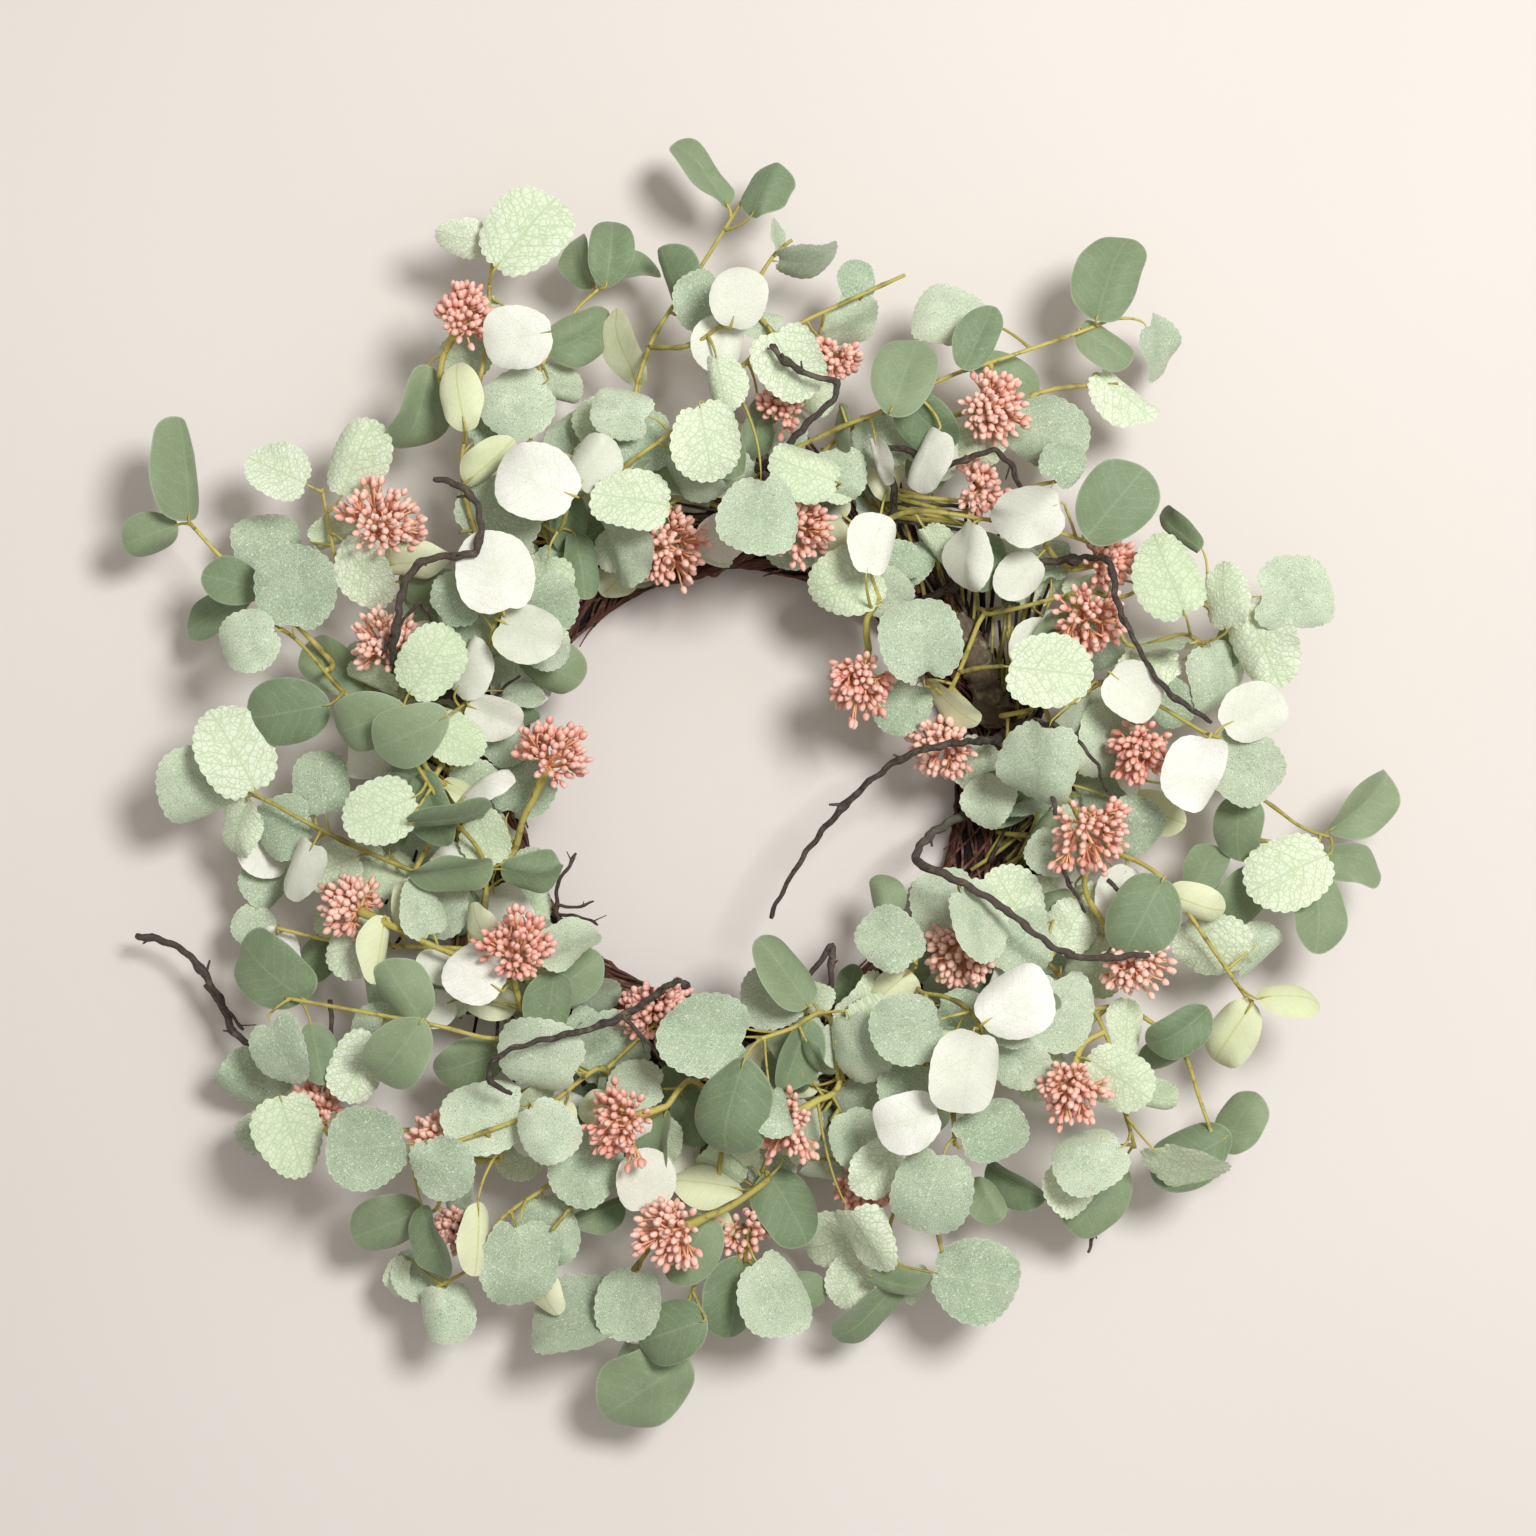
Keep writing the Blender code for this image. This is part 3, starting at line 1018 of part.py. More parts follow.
def seat_tube(points, radii, sides, tree, whole=False):
    """The path moved, its first point or all of it, until the tube all but touches a surface."""
    points = points.copy()
    for _ in range(SEAT_ROUNDS):
        probe = mesh_arrays(tube_mesh("probe", points, radii, sides))[0]
        least, way = None, None
        for corner in probe:
            place, normal, _, distance = tree.find_nearest(Vector(corner))
            outside = (Vector(corner) - place).dot(normal) > 0
            height = distance if outside else -distance
            if least is None or height < least:
                least = height
                way = unit(corner - np.array(place)) if outside else np.array(normal)
        if whole:
            points += way * (SEAT_GAP - least)
        else:
            points[0] += way * (SEAT_GAP - least)
    return points


def seat_along(points, radius, tree):
    """The path with each point brought to the same small height over a surface."""
    seated = []
    for point in points:
        place = tree.find_nearest(Vector(point))[0]
        away = unit(point - np.array(place))
        seated.append(np.array(place) + away * (radius + SEAT_GAP))
    return np.array(seated)


def twig_radii(points, radius, draw):
    """A twig thins towards its end and swells a little at its knots."""
    share = np.linspace(0, 1, len(points))
    swell = np.array([draw.uniform(*TWIG_KNOTS) for _ in points])
    return radius * (TWIG_ROOT - TWIG_TAPER * share) * (1 + swell)


def bud_clear(corners, root, peak, place, crowd):
    """Whether a bud with these end corners, root corners and peak touches nothing."""
    middle = corners.mean(axis=0)
    wide = middle + (corners - middle) * BUD_WIDER
    points = place(np.vstack([root, wide, peak + (peak - middle) * BUD_LONGER]))
    faces = np.array([(0, 1, 4), (0, 4, 3), (1, 2, 5), (1, 5, 4), (2, 0, 3), (2, 3, 5),
                      (3, 4, 6), (4, 5, 6), (5, 3, 6)])
    return not crowd.hits(points, faces)


def head_mesh(name, stalk, centre, width, depth, crowd, draw):
    """Buds on stalks: the sides of a small core, drawn out to a dome and pointed."""
    axis = head_axis(stalk, centre)
    flat_side = unit(np.cross(np.array((0, 0, 1.0)), axis))
    turned = np.array((flat_side, np.cross(axis, flat_side), axis))
    shape = bmesh.new()
    bmesh.ops.create_icosphere(shape, subdivisions=1, radius=CORE_RADIUS)
    shape.faces.ensure_lookup_table()
    down = shape.faces[0].normal.copy()
    turn = down.rotation_difference(Vector((0, 0, -1)))
    bmesh.ops.rotate(shape, verts=shape.verts, matrix=turn.to_matrix())
    shape.normal_update()
    base = stalk.points[-1] + axis * (HEAD_GAP - min(v.co.z for v in shape.verts))

    def place(points):
        return base + points @ turned

    sides = [face for face in shape.faces if face.normal.z > LOWEST_BUD]
    for face in bmesh.ops.extrude_discrete_faces(shape, faces=sides)["faces"]:
        root = np.array([v.co[:] for v in face.verts])
        middle = root.mean(axis=0)
        way = unit(middle)
        slant = math.acos(max(-1, min(1, way[2]))) * BUD_SPREAD
        level = unit(np.array((way[0], way[1], 0))) if way[2] < 0.99 else np.array((1.0, 0, 0))
        spread = BERRY_WIDTH * 0.5 / np.linalg.norm(root[0] - middle)
        for share in BUD_SHARES:
            lean = slant + draw.uniform(-BUD_LEAN, BUD_LEAN)
            aim = level * math.sin(lean) + np.array((0, 0, math.cos(lean)))
            sizes = np.array((width / 2, min(width, HEAD_THICKNESS) / 2, depth))
            reach = draw.uniform(*BUD_REACH) * share / np.linalg.norm(aim / sizes)
            corners = aim * reach * BUD_SHOULDER + (root - middle) * spread
            if bud_clear(corners, root, aim * reach, place, crowd):
                break
        for corner, point in zip(face.verts, corners):
            corner.co = point
        peak = bmesh.ops.poke(shape, faces=[face])["verts"][0]
        peak.co = aim * reach
    bmesh.ops.triangulate(shape, faces=shape.faces)
    bmesh.ops.recalc_face_normals(shape, faces=shape.faces)
    for v in shape.verts:
        v.co = place(np.array(v.co))
    mesh = bpy.data.meshes.new(name)
    shape.to_mesh(mesh)
    shape.free()
    return mesh


def hull_of(mesh):
    """The convex hull of a mesh, as corners and faces, a little shrunk."""
    shape = bmesh.new()
    shape.from_mesh(mesh)
    made = bmesh.ops.convex_hull(shape, input=shape.verts)
    inside = [g for g in made["geom_interior"] if isinstance(g, bmesh.types.BMVert)]
    bmesh.ops.delete(shape, geom=inside, context="VERTS")
    loose = [f for f in made["geom_unused"] + made["geom_holes"] if isinstance(f, bmesh.types.BMFace)]
    bmesh.ops.delete(shape, geom=[f for f in loose if f.is_valid], context="FACES_ONLY")
    bmesh.ops.triangulate(shape, faces=shape.faces)
    shape.verts.index_update()
    points = np.array([v.co[:] for v in shape.verts])
    faces = np.array([[v.index for v in f.verts] for f in shape.faces])
    shape.free()
    middle = points.mean(axis=0)
    return middle + (points - middle) * HULL_SHARE, faces


def joined(name, meshes, collection):
    """One body from many meshes: a Boolean union on a collection, which is then removed."""
    body = link(name, meshes[0], collection)
    tools = bpy.data.collections.new(name + "_pieces")
    bpy.context.scene.collection.children.link(tools)
    for index, mesh in enumerate(meshes[1:]):
        link(f"{name}_piece_{index}", mesh, tools)
    # The exact solver leaves open edges where the end of a blade lies inside a stem.
    union = body.modifiers.new("join", "BOOLEAN")
    union.operation = "UNION"
    union.operand_type = "COLLECTION"
    union.collection = tools
    union.solver = "MANIFOLD"
    draw = random.Random(name)
    for attempt in range(1, NUDGES + 1):
        for piece in tools.objects:
            piece.location = [draw.uniform(-NUDGE, NUDGE) * attempt for _ in range(3)]
        bpy.context.view_layer.update()
        depsgraph = bpy.context.evaluated_depsgraph_get()
        made = bpy.data.meshes.new_from_object(body.evaluated_get(depsgraph))
        if tidy_body(made) == 1:
            break
    body.modifiers.remove(union)
    body.data = made
    for piece in list(tools.objects):
        bpy.data.objects.remove(piece)
    bpy.data.collections.remove(tools)
    return body


def sound(shape):
    """Whether a mesh is closed and touches itself nowhere, at an edge or at a corner."""
    return (all(edge.is_manifold for edge in shape.edges) and all(v.is_manifold for v in shape.verts)
            and all(face.calc_area() > LEAST_AREA for face in shape.faces))


def tidy_body(mesh):
    """Drops scraps and sealed hollows from a joined mesh; the count of bodies, or 0 if open."""
    for angle in (FLAT_ANGLE, 0):
        shape = bmesh.new()
        shape.from_mesh(mesh)
        if angle:
            bmesh.ops.dissolve_limit(shape, angle_limit=angle, verts=shape.verts, edges=shape.edges)
        bmesh.ops.triangulate(shape, faces=shape.faces)
        bmesh.ops.remove_doubles(shape, verts=shape.verts, dist=LEAST_GAP)
        if sound(shape):
            break
    seen, islands = set(), []
    for face in shape.faces:
        if face in seen:
            continue
        group, todo = [], [face]
        seen.add(face)
        while todo:
            this = todo.pop()
            group.append(this)
            for edge in this.edges:
                for other in edge.link_faces:
                    if other not in seen:
                        seen.add(other)
                        todo.append(other)
        islands.append(group)
    islands.sort(key=len, reverse=True)
    kept = 1
    for group in islands[1:]:
        hollow = sum(face.normal.dot(face.verts[0].co) * face.calc_area() for face in group) < 0
        if hollow or len(group) < SCRAP_FACES:
            bmesh.ops.delete(shape, geom=group, context="FACES")
        else:
            kept += 1
    loose = [v for v in shape.verts if not v.link_faces]
    bmesh.ops.delete(shape, geom=loose, context="VERTS")
    if not sound(shape):
        kept = 0
    shape.to_mesh(mesh)
    shape.free()
    return kept


def finish(name, colour, roughness):
    """A plain Principled finish."""
    material = bpy.data.materials.new(name)
    material.use_nodes = True
    shader = material.node_tree.nodes["Principled BSDF"]
    shader.inputs["Base Color"].default_value = (*colour, 1)
    shader.inputs["Roughness"].default_value = roughness
    return material


def main():
    for thing in list(bpy.data.objects):
        bpy.data.objects.remove(thing)
    wreath = bpy.data.collections.new("eucalyptus_wreath")
    bpy.context.scene.collection.children.link(wreath)
    green = finish("foliage green", (0.36, 0.48, 0.31), 0.75)
    pink = finish("berry pink", (0.78, 0.28, 0.22), 0.55)
    bark = finish("vine brown", (0.12, 0.06, 0.04), 0.85)
    grey = finish("twig grey brown", (0.08, 0.06, 0.05), 0.85)
    draw = random.Random(SEED)

    ring = link("vine_ring", ring_mesh(), wreath)
    ring_points, ring_faces = mesh_arrays(ring.data)
    ring_tree = BVHTree.FromPolygons(ring_points.tolist(), ring_faces.tolist())
    ring.data.materials.append(bark)
    crowd = Crowd()
    crowd.add("ring", ring_points, ring_faces)

    wood = {}
    path = loose_vine_path()
    wood["loose_vine"] = (path, np.full(len(path), LOOSE_VINE_RADIUS))
    path = smooth_path([spot(*p) for p in BRANCH_PLAN], BRANCH_STEP)
    swell = np.array([draw.uniform(*BRANCH_KNOTS) for _ in path])
    path = push_off_ring(path, BRANCH_RADIUS * BRANCH_KNOTS[1])
    path = seat_tube(path, BRANCH_RADIUS * swell, BRANCH_SIDES, ring_tree, whole=True)
    wood["knobbly_branch"] = (path, BRANCH_RADIUS * swell)
    branch_mesh = tube_mesh("branch", *wood["knobbly_branch"], BRANCH_SIDES)
    branch_tree = BVHTree.FromPolygons(*[a.tolist() for a in mesh_arrays(branch_mesh)])
    for name, (radius, points) in TWIGS.items():
        path = smooth_path([spot(*p) for p in points], TWIG_STEP)
        radii = twig_radii(path, radius / 1000, draw)
        path = push_off_ring(path, radii[:, None])
        on_branch = name in BRANCH_TWIGS
        path = seat_tube(path, radii, TWIG_SIDES, branch_tree if on_branch else ring_tree)
        wood[name] = (path, radii)

    nodes, heads = grow_sprays()
    branches = [branch for own in nodes.values() for branch in own]
    thick = [dense(*wood[name]) for name in wood if name != "loose_vine"]
    fixed = np.vstack([places for places, _ in thick])
    fixed_radii = np.concatenate([radii for _, radii in thick])
    part_stems(branches, heads, fixed, fixed_radii)
    others = [(branch.points, branch.radii) for branch in branches] + thick
    path = free_stretch(wood["loose_vine"][0], np.vstack([places for places, _ in others]),
                        np.concatenate([sizes for _, sizes in others]))
    path = seat_along(path, LOOSE_VINE_RADIUS * VINE_CORNER, ring_tree)
    wood["loose_vine"] = (path, np.full(len(path), LOOSE_VINE_RADIUS))

    for name, (path, radii) in wood.items():
        mesh = tube_mesh(name, path, radii, BRANCH_SIDES if name == "knobbly_branch" else TWIG_SIDES)
        thing = link(name, mesh, wreath)
        mesh.materials.append(bark if name == "loose_vine" else grey)
        crowd.add(name, *mesh_arrays(mesh))

    for stalk, centre, _, _ in heads:
        neck = stalk.points[stalk.neck]
        reach = np.linalg.norm(stalk.points[-1] - neck)
        stalk.points[-1] = neck + head_axis(stalk, centre) * reach
    meshes = {}
    for branch in branches:
        branch.settle()
        if branch.parent is None:
            places, radii = branch.chords
            branch.chords = (seat_tube(places, radii, TUBE_SIDES, ring_tree), radii)
        mesh = tube_mesh(branch.node, *branch.chords)
        meshes.setdefault(branch.node, []).append(mesh)
        crowd.add("stem " + branch.node, *mesh_arrays(mesh))

    for index, (stalk, centre, width, depth) in enumerate(heads):
        name = f"berries_{index + 1:02d}"
        mesh = head_mesh(name, stalk, centre, width, depth, crowd, draw)
        link(name, mesh, wreath)
        mesh.materials.append(pink)
        crowd.add(name, *hull_of(mesh))
        crowd.add(name, *mesh_arrays(mesh))

    rows = [(plan.get("joins", name), row) for name, plan in SPRAYS.items() for row in plan["leaves"]]
    rows.sort(key=lambda item: -item[1][6])
    for index, (node, row) in enumerate(rows):
        own = random.Random(SEED * 1000 + index)
        leaf = Leaf(node, row, own)
        stem = "stem " + node
        if not any(place_leaf(leaf, nodes[node], crowd, own, skip, wide)
                   for skip, wide in (((stem,), 1.0), ((stem, node), 1.0), ((stem, node), 1.8))):
            continue
        points, faces = leaf.slab()
        crowd.add(node, points, faces)
        mesh = bpy.data.meshes.new("blade")
        mesh.from_pydata(points.tolist(), [], faces.tolist())
        meshes[node].append(mesh)

    for node, pieces in meshes.items():
        body = joined(node, pieces, wreath)
        body.data.materials.clear()
        body.data.materials.append(green)

    low = np.min([mesh_arrays(t.data)[0].min(axis=0) for t in wreath.objects], axis=0)
    high = np.max([mesh_arrays(t.data)[0].max(axis=0) for t in wreath.objects], axis=0)
    middle = (low + high) / 2
    for thing in wreath.objects:
        points = mesh_arrays(thing.data)[0]
        points[:, :2] -= middle[:2]
        thing.data.vertices.foreach_set("co", points.ravel())
        thing.data.update()


main()
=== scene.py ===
import json
import math
import random

import bmesh
import bpy
import numpy as np
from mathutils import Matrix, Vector
from mathutils.bvhtree import BVHTree

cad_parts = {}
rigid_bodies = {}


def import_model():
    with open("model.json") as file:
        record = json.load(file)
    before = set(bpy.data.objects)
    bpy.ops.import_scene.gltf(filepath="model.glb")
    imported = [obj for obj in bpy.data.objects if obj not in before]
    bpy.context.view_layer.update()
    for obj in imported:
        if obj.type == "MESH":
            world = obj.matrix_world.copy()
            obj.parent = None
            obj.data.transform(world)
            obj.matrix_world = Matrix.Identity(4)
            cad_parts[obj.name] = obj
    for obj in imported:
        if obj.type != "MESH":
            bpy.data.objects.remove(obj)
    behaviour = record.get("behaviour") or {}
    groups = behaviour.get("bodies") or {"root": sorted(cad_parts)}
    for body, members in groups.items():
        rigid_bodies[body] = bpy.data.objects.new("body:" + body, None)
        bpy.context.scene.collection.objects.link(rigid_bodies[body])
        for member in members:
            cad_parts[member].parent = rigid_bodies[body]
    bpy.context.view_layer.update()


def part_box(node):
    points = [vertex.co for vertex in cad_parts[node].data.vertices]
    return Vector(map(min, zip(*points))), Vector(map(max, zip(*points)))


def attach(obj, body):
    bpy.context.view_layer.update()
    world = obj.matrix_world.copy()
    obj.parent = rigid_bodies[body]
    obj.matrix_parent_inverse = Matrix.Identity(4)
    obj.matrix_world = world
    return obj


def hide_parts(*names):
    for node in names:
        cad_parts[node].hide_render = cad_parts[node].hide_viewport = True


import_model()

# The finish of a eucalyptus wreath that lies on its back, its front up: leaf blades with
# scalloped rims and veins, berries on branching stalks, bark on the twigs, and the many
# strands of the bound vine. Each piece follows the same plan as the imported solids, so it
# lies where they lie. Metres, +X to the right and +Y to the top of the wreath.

# Driving sizes, in metres
PLAN_UNIT = 0.00048  # one unit of the plan that the layout lists are drawn on
PLAN_CENTRE = (764, 778)  # the middle of the plan
EYE_HEIGHT = 1.74  # the plan is drawn as seen from this far above MID_HEIGHT
MID_HEIGHT = 0.060
RING_PLAN = (738, 787)  # the ring's centre on the plan
RING_RADIUS = 0.121  # to the middle of the bundle
BUNDLE_RADIUS = 0.0135
BUNDLE_FLAT = 0.0030  # how far the bundle is pressed flat underneath
STRAND_RELIEF = 0.0011
BUNDLE_WAVE = 0.0008
LOOSE_VINE_RADIUS = 0.0022
VINE_CLEAR = 0.0020
VINE_STEP = 0.004
VINE_KEEP = 3
VINE_CORNER = 1.2  # its corners stand out this much further than its radius
BRANCH_RADIUS = 0.0075
STEM_RADIUS = 0.0014
STEM_TIP_RADIUS = 0.0010
SOCKET_RADIUS = 0.0030
SOCKET_FROM = 0.72  # share of a berry stem's length where it starts to widen and runs straight
BLADE_THICKNESS = 0.0008
BERRY_WIDTH = 0.0050
HEAD_THICKNESS = 0.034
BUD_SHARES = (1.0, 0.9, 0.8, 0.7, 0.6, 0.5, 0.42)  # a bud that would touch something is shorter
LOWEST_BUD = -0.55
CORE_RADIUS = 0.0042
FLOOR_GAP = 0.004  # foliage stays this far above the surface
SEAT_GAP = 0.00045  # between a stem and the ring that it is bound to
HEAD_GAP = 0.0004  # between a berry head and its socket
CLEAR = 0.0005  # between a blade and the pieces of other sprays
STEM_CLEAR = 0.0022
STEM_STEP = 0.005  # spacing of the points while stems are pushed clear of each other
TUBE_SIDES = 3
TWIG_SIDES = 4
BRANCH_SIDES = 7
TUBE_SLACK = 0.0009  # a tube keeps the points that hold it this close to its path
NECK_FROM = 0.006  # a leaf stalk longer than this narrows to a neck at the blade
NECK_WIDTH = 0.0028
HOLD_MARGIN = 0.0015  # a blade starts this far from a corner of its stem
HOLD_SUNK = 0.3  # and this share of the stem's radius behind its middle line
HOLD_STOPS = 7
RING_STEPS = 38
RING_SIDES = 10
STRANDS = 4
TWISTS = 9
TWIG_STEP = 0.0125
TRIES = 120
SEAT_ROUNDS = 5
SEED = 11
PHOTO_SIDE = 1536  # the picture's width and height in units of the plan

# Shares and angles that shape the stems, blades and heads
ROOT_SUNK = 0.6  # a stem's root starts this share of the strand relief above the bundle
BLADE_BEHIND = 1.9  # a blade likes a hold that lies behind its base up to this much more
HOLD_END = 0.3  # no hold lies closer to a corner than this share of a short stretch, at most
STALK_ROOT = 1.15  # a berry stem's radius at its root and at its neck, over a stem's
STALK_NECK = 1.3
HEAD_MIDDLE = 0.55  # the thick of a head: this share of its depth out, and of its width round
HEAD_GIRTH = 0.38
HEAD_PUSH = 0.6
TWIG_PUSH = 0.002
STEM_PUSH = 0.003  # no point of a stem moves further than this in a round
PITCHES = (-14, 10)  # the ranges, in degrees, that a blade's draws come from
TWISTS_OF_BLADE = (-0.16, 0.16)
FOLDS = (0.4, 1.6)
CURLS = (-0.4, 1.4)
CUPS = (-0.5, 1.5)
LEAN_BACK = -0.1  # a blade whose stalk leans back more than this has no neck
LEAST_ACROSS = 0.35
LEAST_BEND = 0.7
CLEAR_GROWTH = 30  # a blade's outline grows by this share for each metre kept clear
MOVE_LEVEL = 0.007  # how far a blade may move and turn to come clear
MOVE_UP = 0.026
TURN_HEADING = 0.5
TURN_PITCH = 1.0
TURN_ROLL = 0.9
SHRINK = 0.16
WAVES = 7  # of the bundle's thickness, all round
WAVE_START = 1.3
VINE_FROM = 0.3  # the loose strand's start, its turns round the ring and its swings over it
VINE_TURNS = 0.94
VINE_STOPS = 48
VINE_SWING = 62
VINE_SWINGS = 4.0
VINE_SHIFT = 0.6
TWIG_KNOTS = (-0.12, 0.16)
TWIG_ROOT = 1.12
TWIG_TAPER = 0.4
BRANCH_STEP = 0.010
BRANCH_KNOTS = (0.86, 1.12)
BUD_WIDER = 1.25  # a bud is tested this much wider and its peak this much further out
BUD_LONGER = 0.4
BUD_SPREAD = 0.80  # the outer buds lean out by this share of their angle on the core
BUD_LEAN = 0.1
BUD_REACH = (0.86, 1.0)
BUD_SHOULDER = 0.84
HULL_SHARE = 0.93

# The rim of a blade after the stem, along it and across it, right side first
RIMS = {
    "pointed": (np.array([0.22, 0.68, 1.0, 0.68, 0.22]), np.array([-0.47, -0.46, 0.0, 0.46, 0.47])),
    "round": (np.array([0.16, 0.66, 1.0, 0.66, 0.16]), np.array([-0.45, -0.50, 0.0, 0.50, 0.45])),
}

# Leaf kinds: S sage, F frosted, C crinkled, W white underside, Y cream underside.
# For each the width over the length, and the ranges of fold, curl and cup.
LEAF_SHAPES = {
    "S": (0.80, 0.10, 0.26, 0.10),
    "F": (0.95, 0.04, 0.16, 0.16),
    "C": (0.86, 0.08, 0.18, 0.12),
    "W": (0.92, 0.03, 0.12, 0.10),
    "Y": (0.70, 0.10, 0.22, 0.12),
}

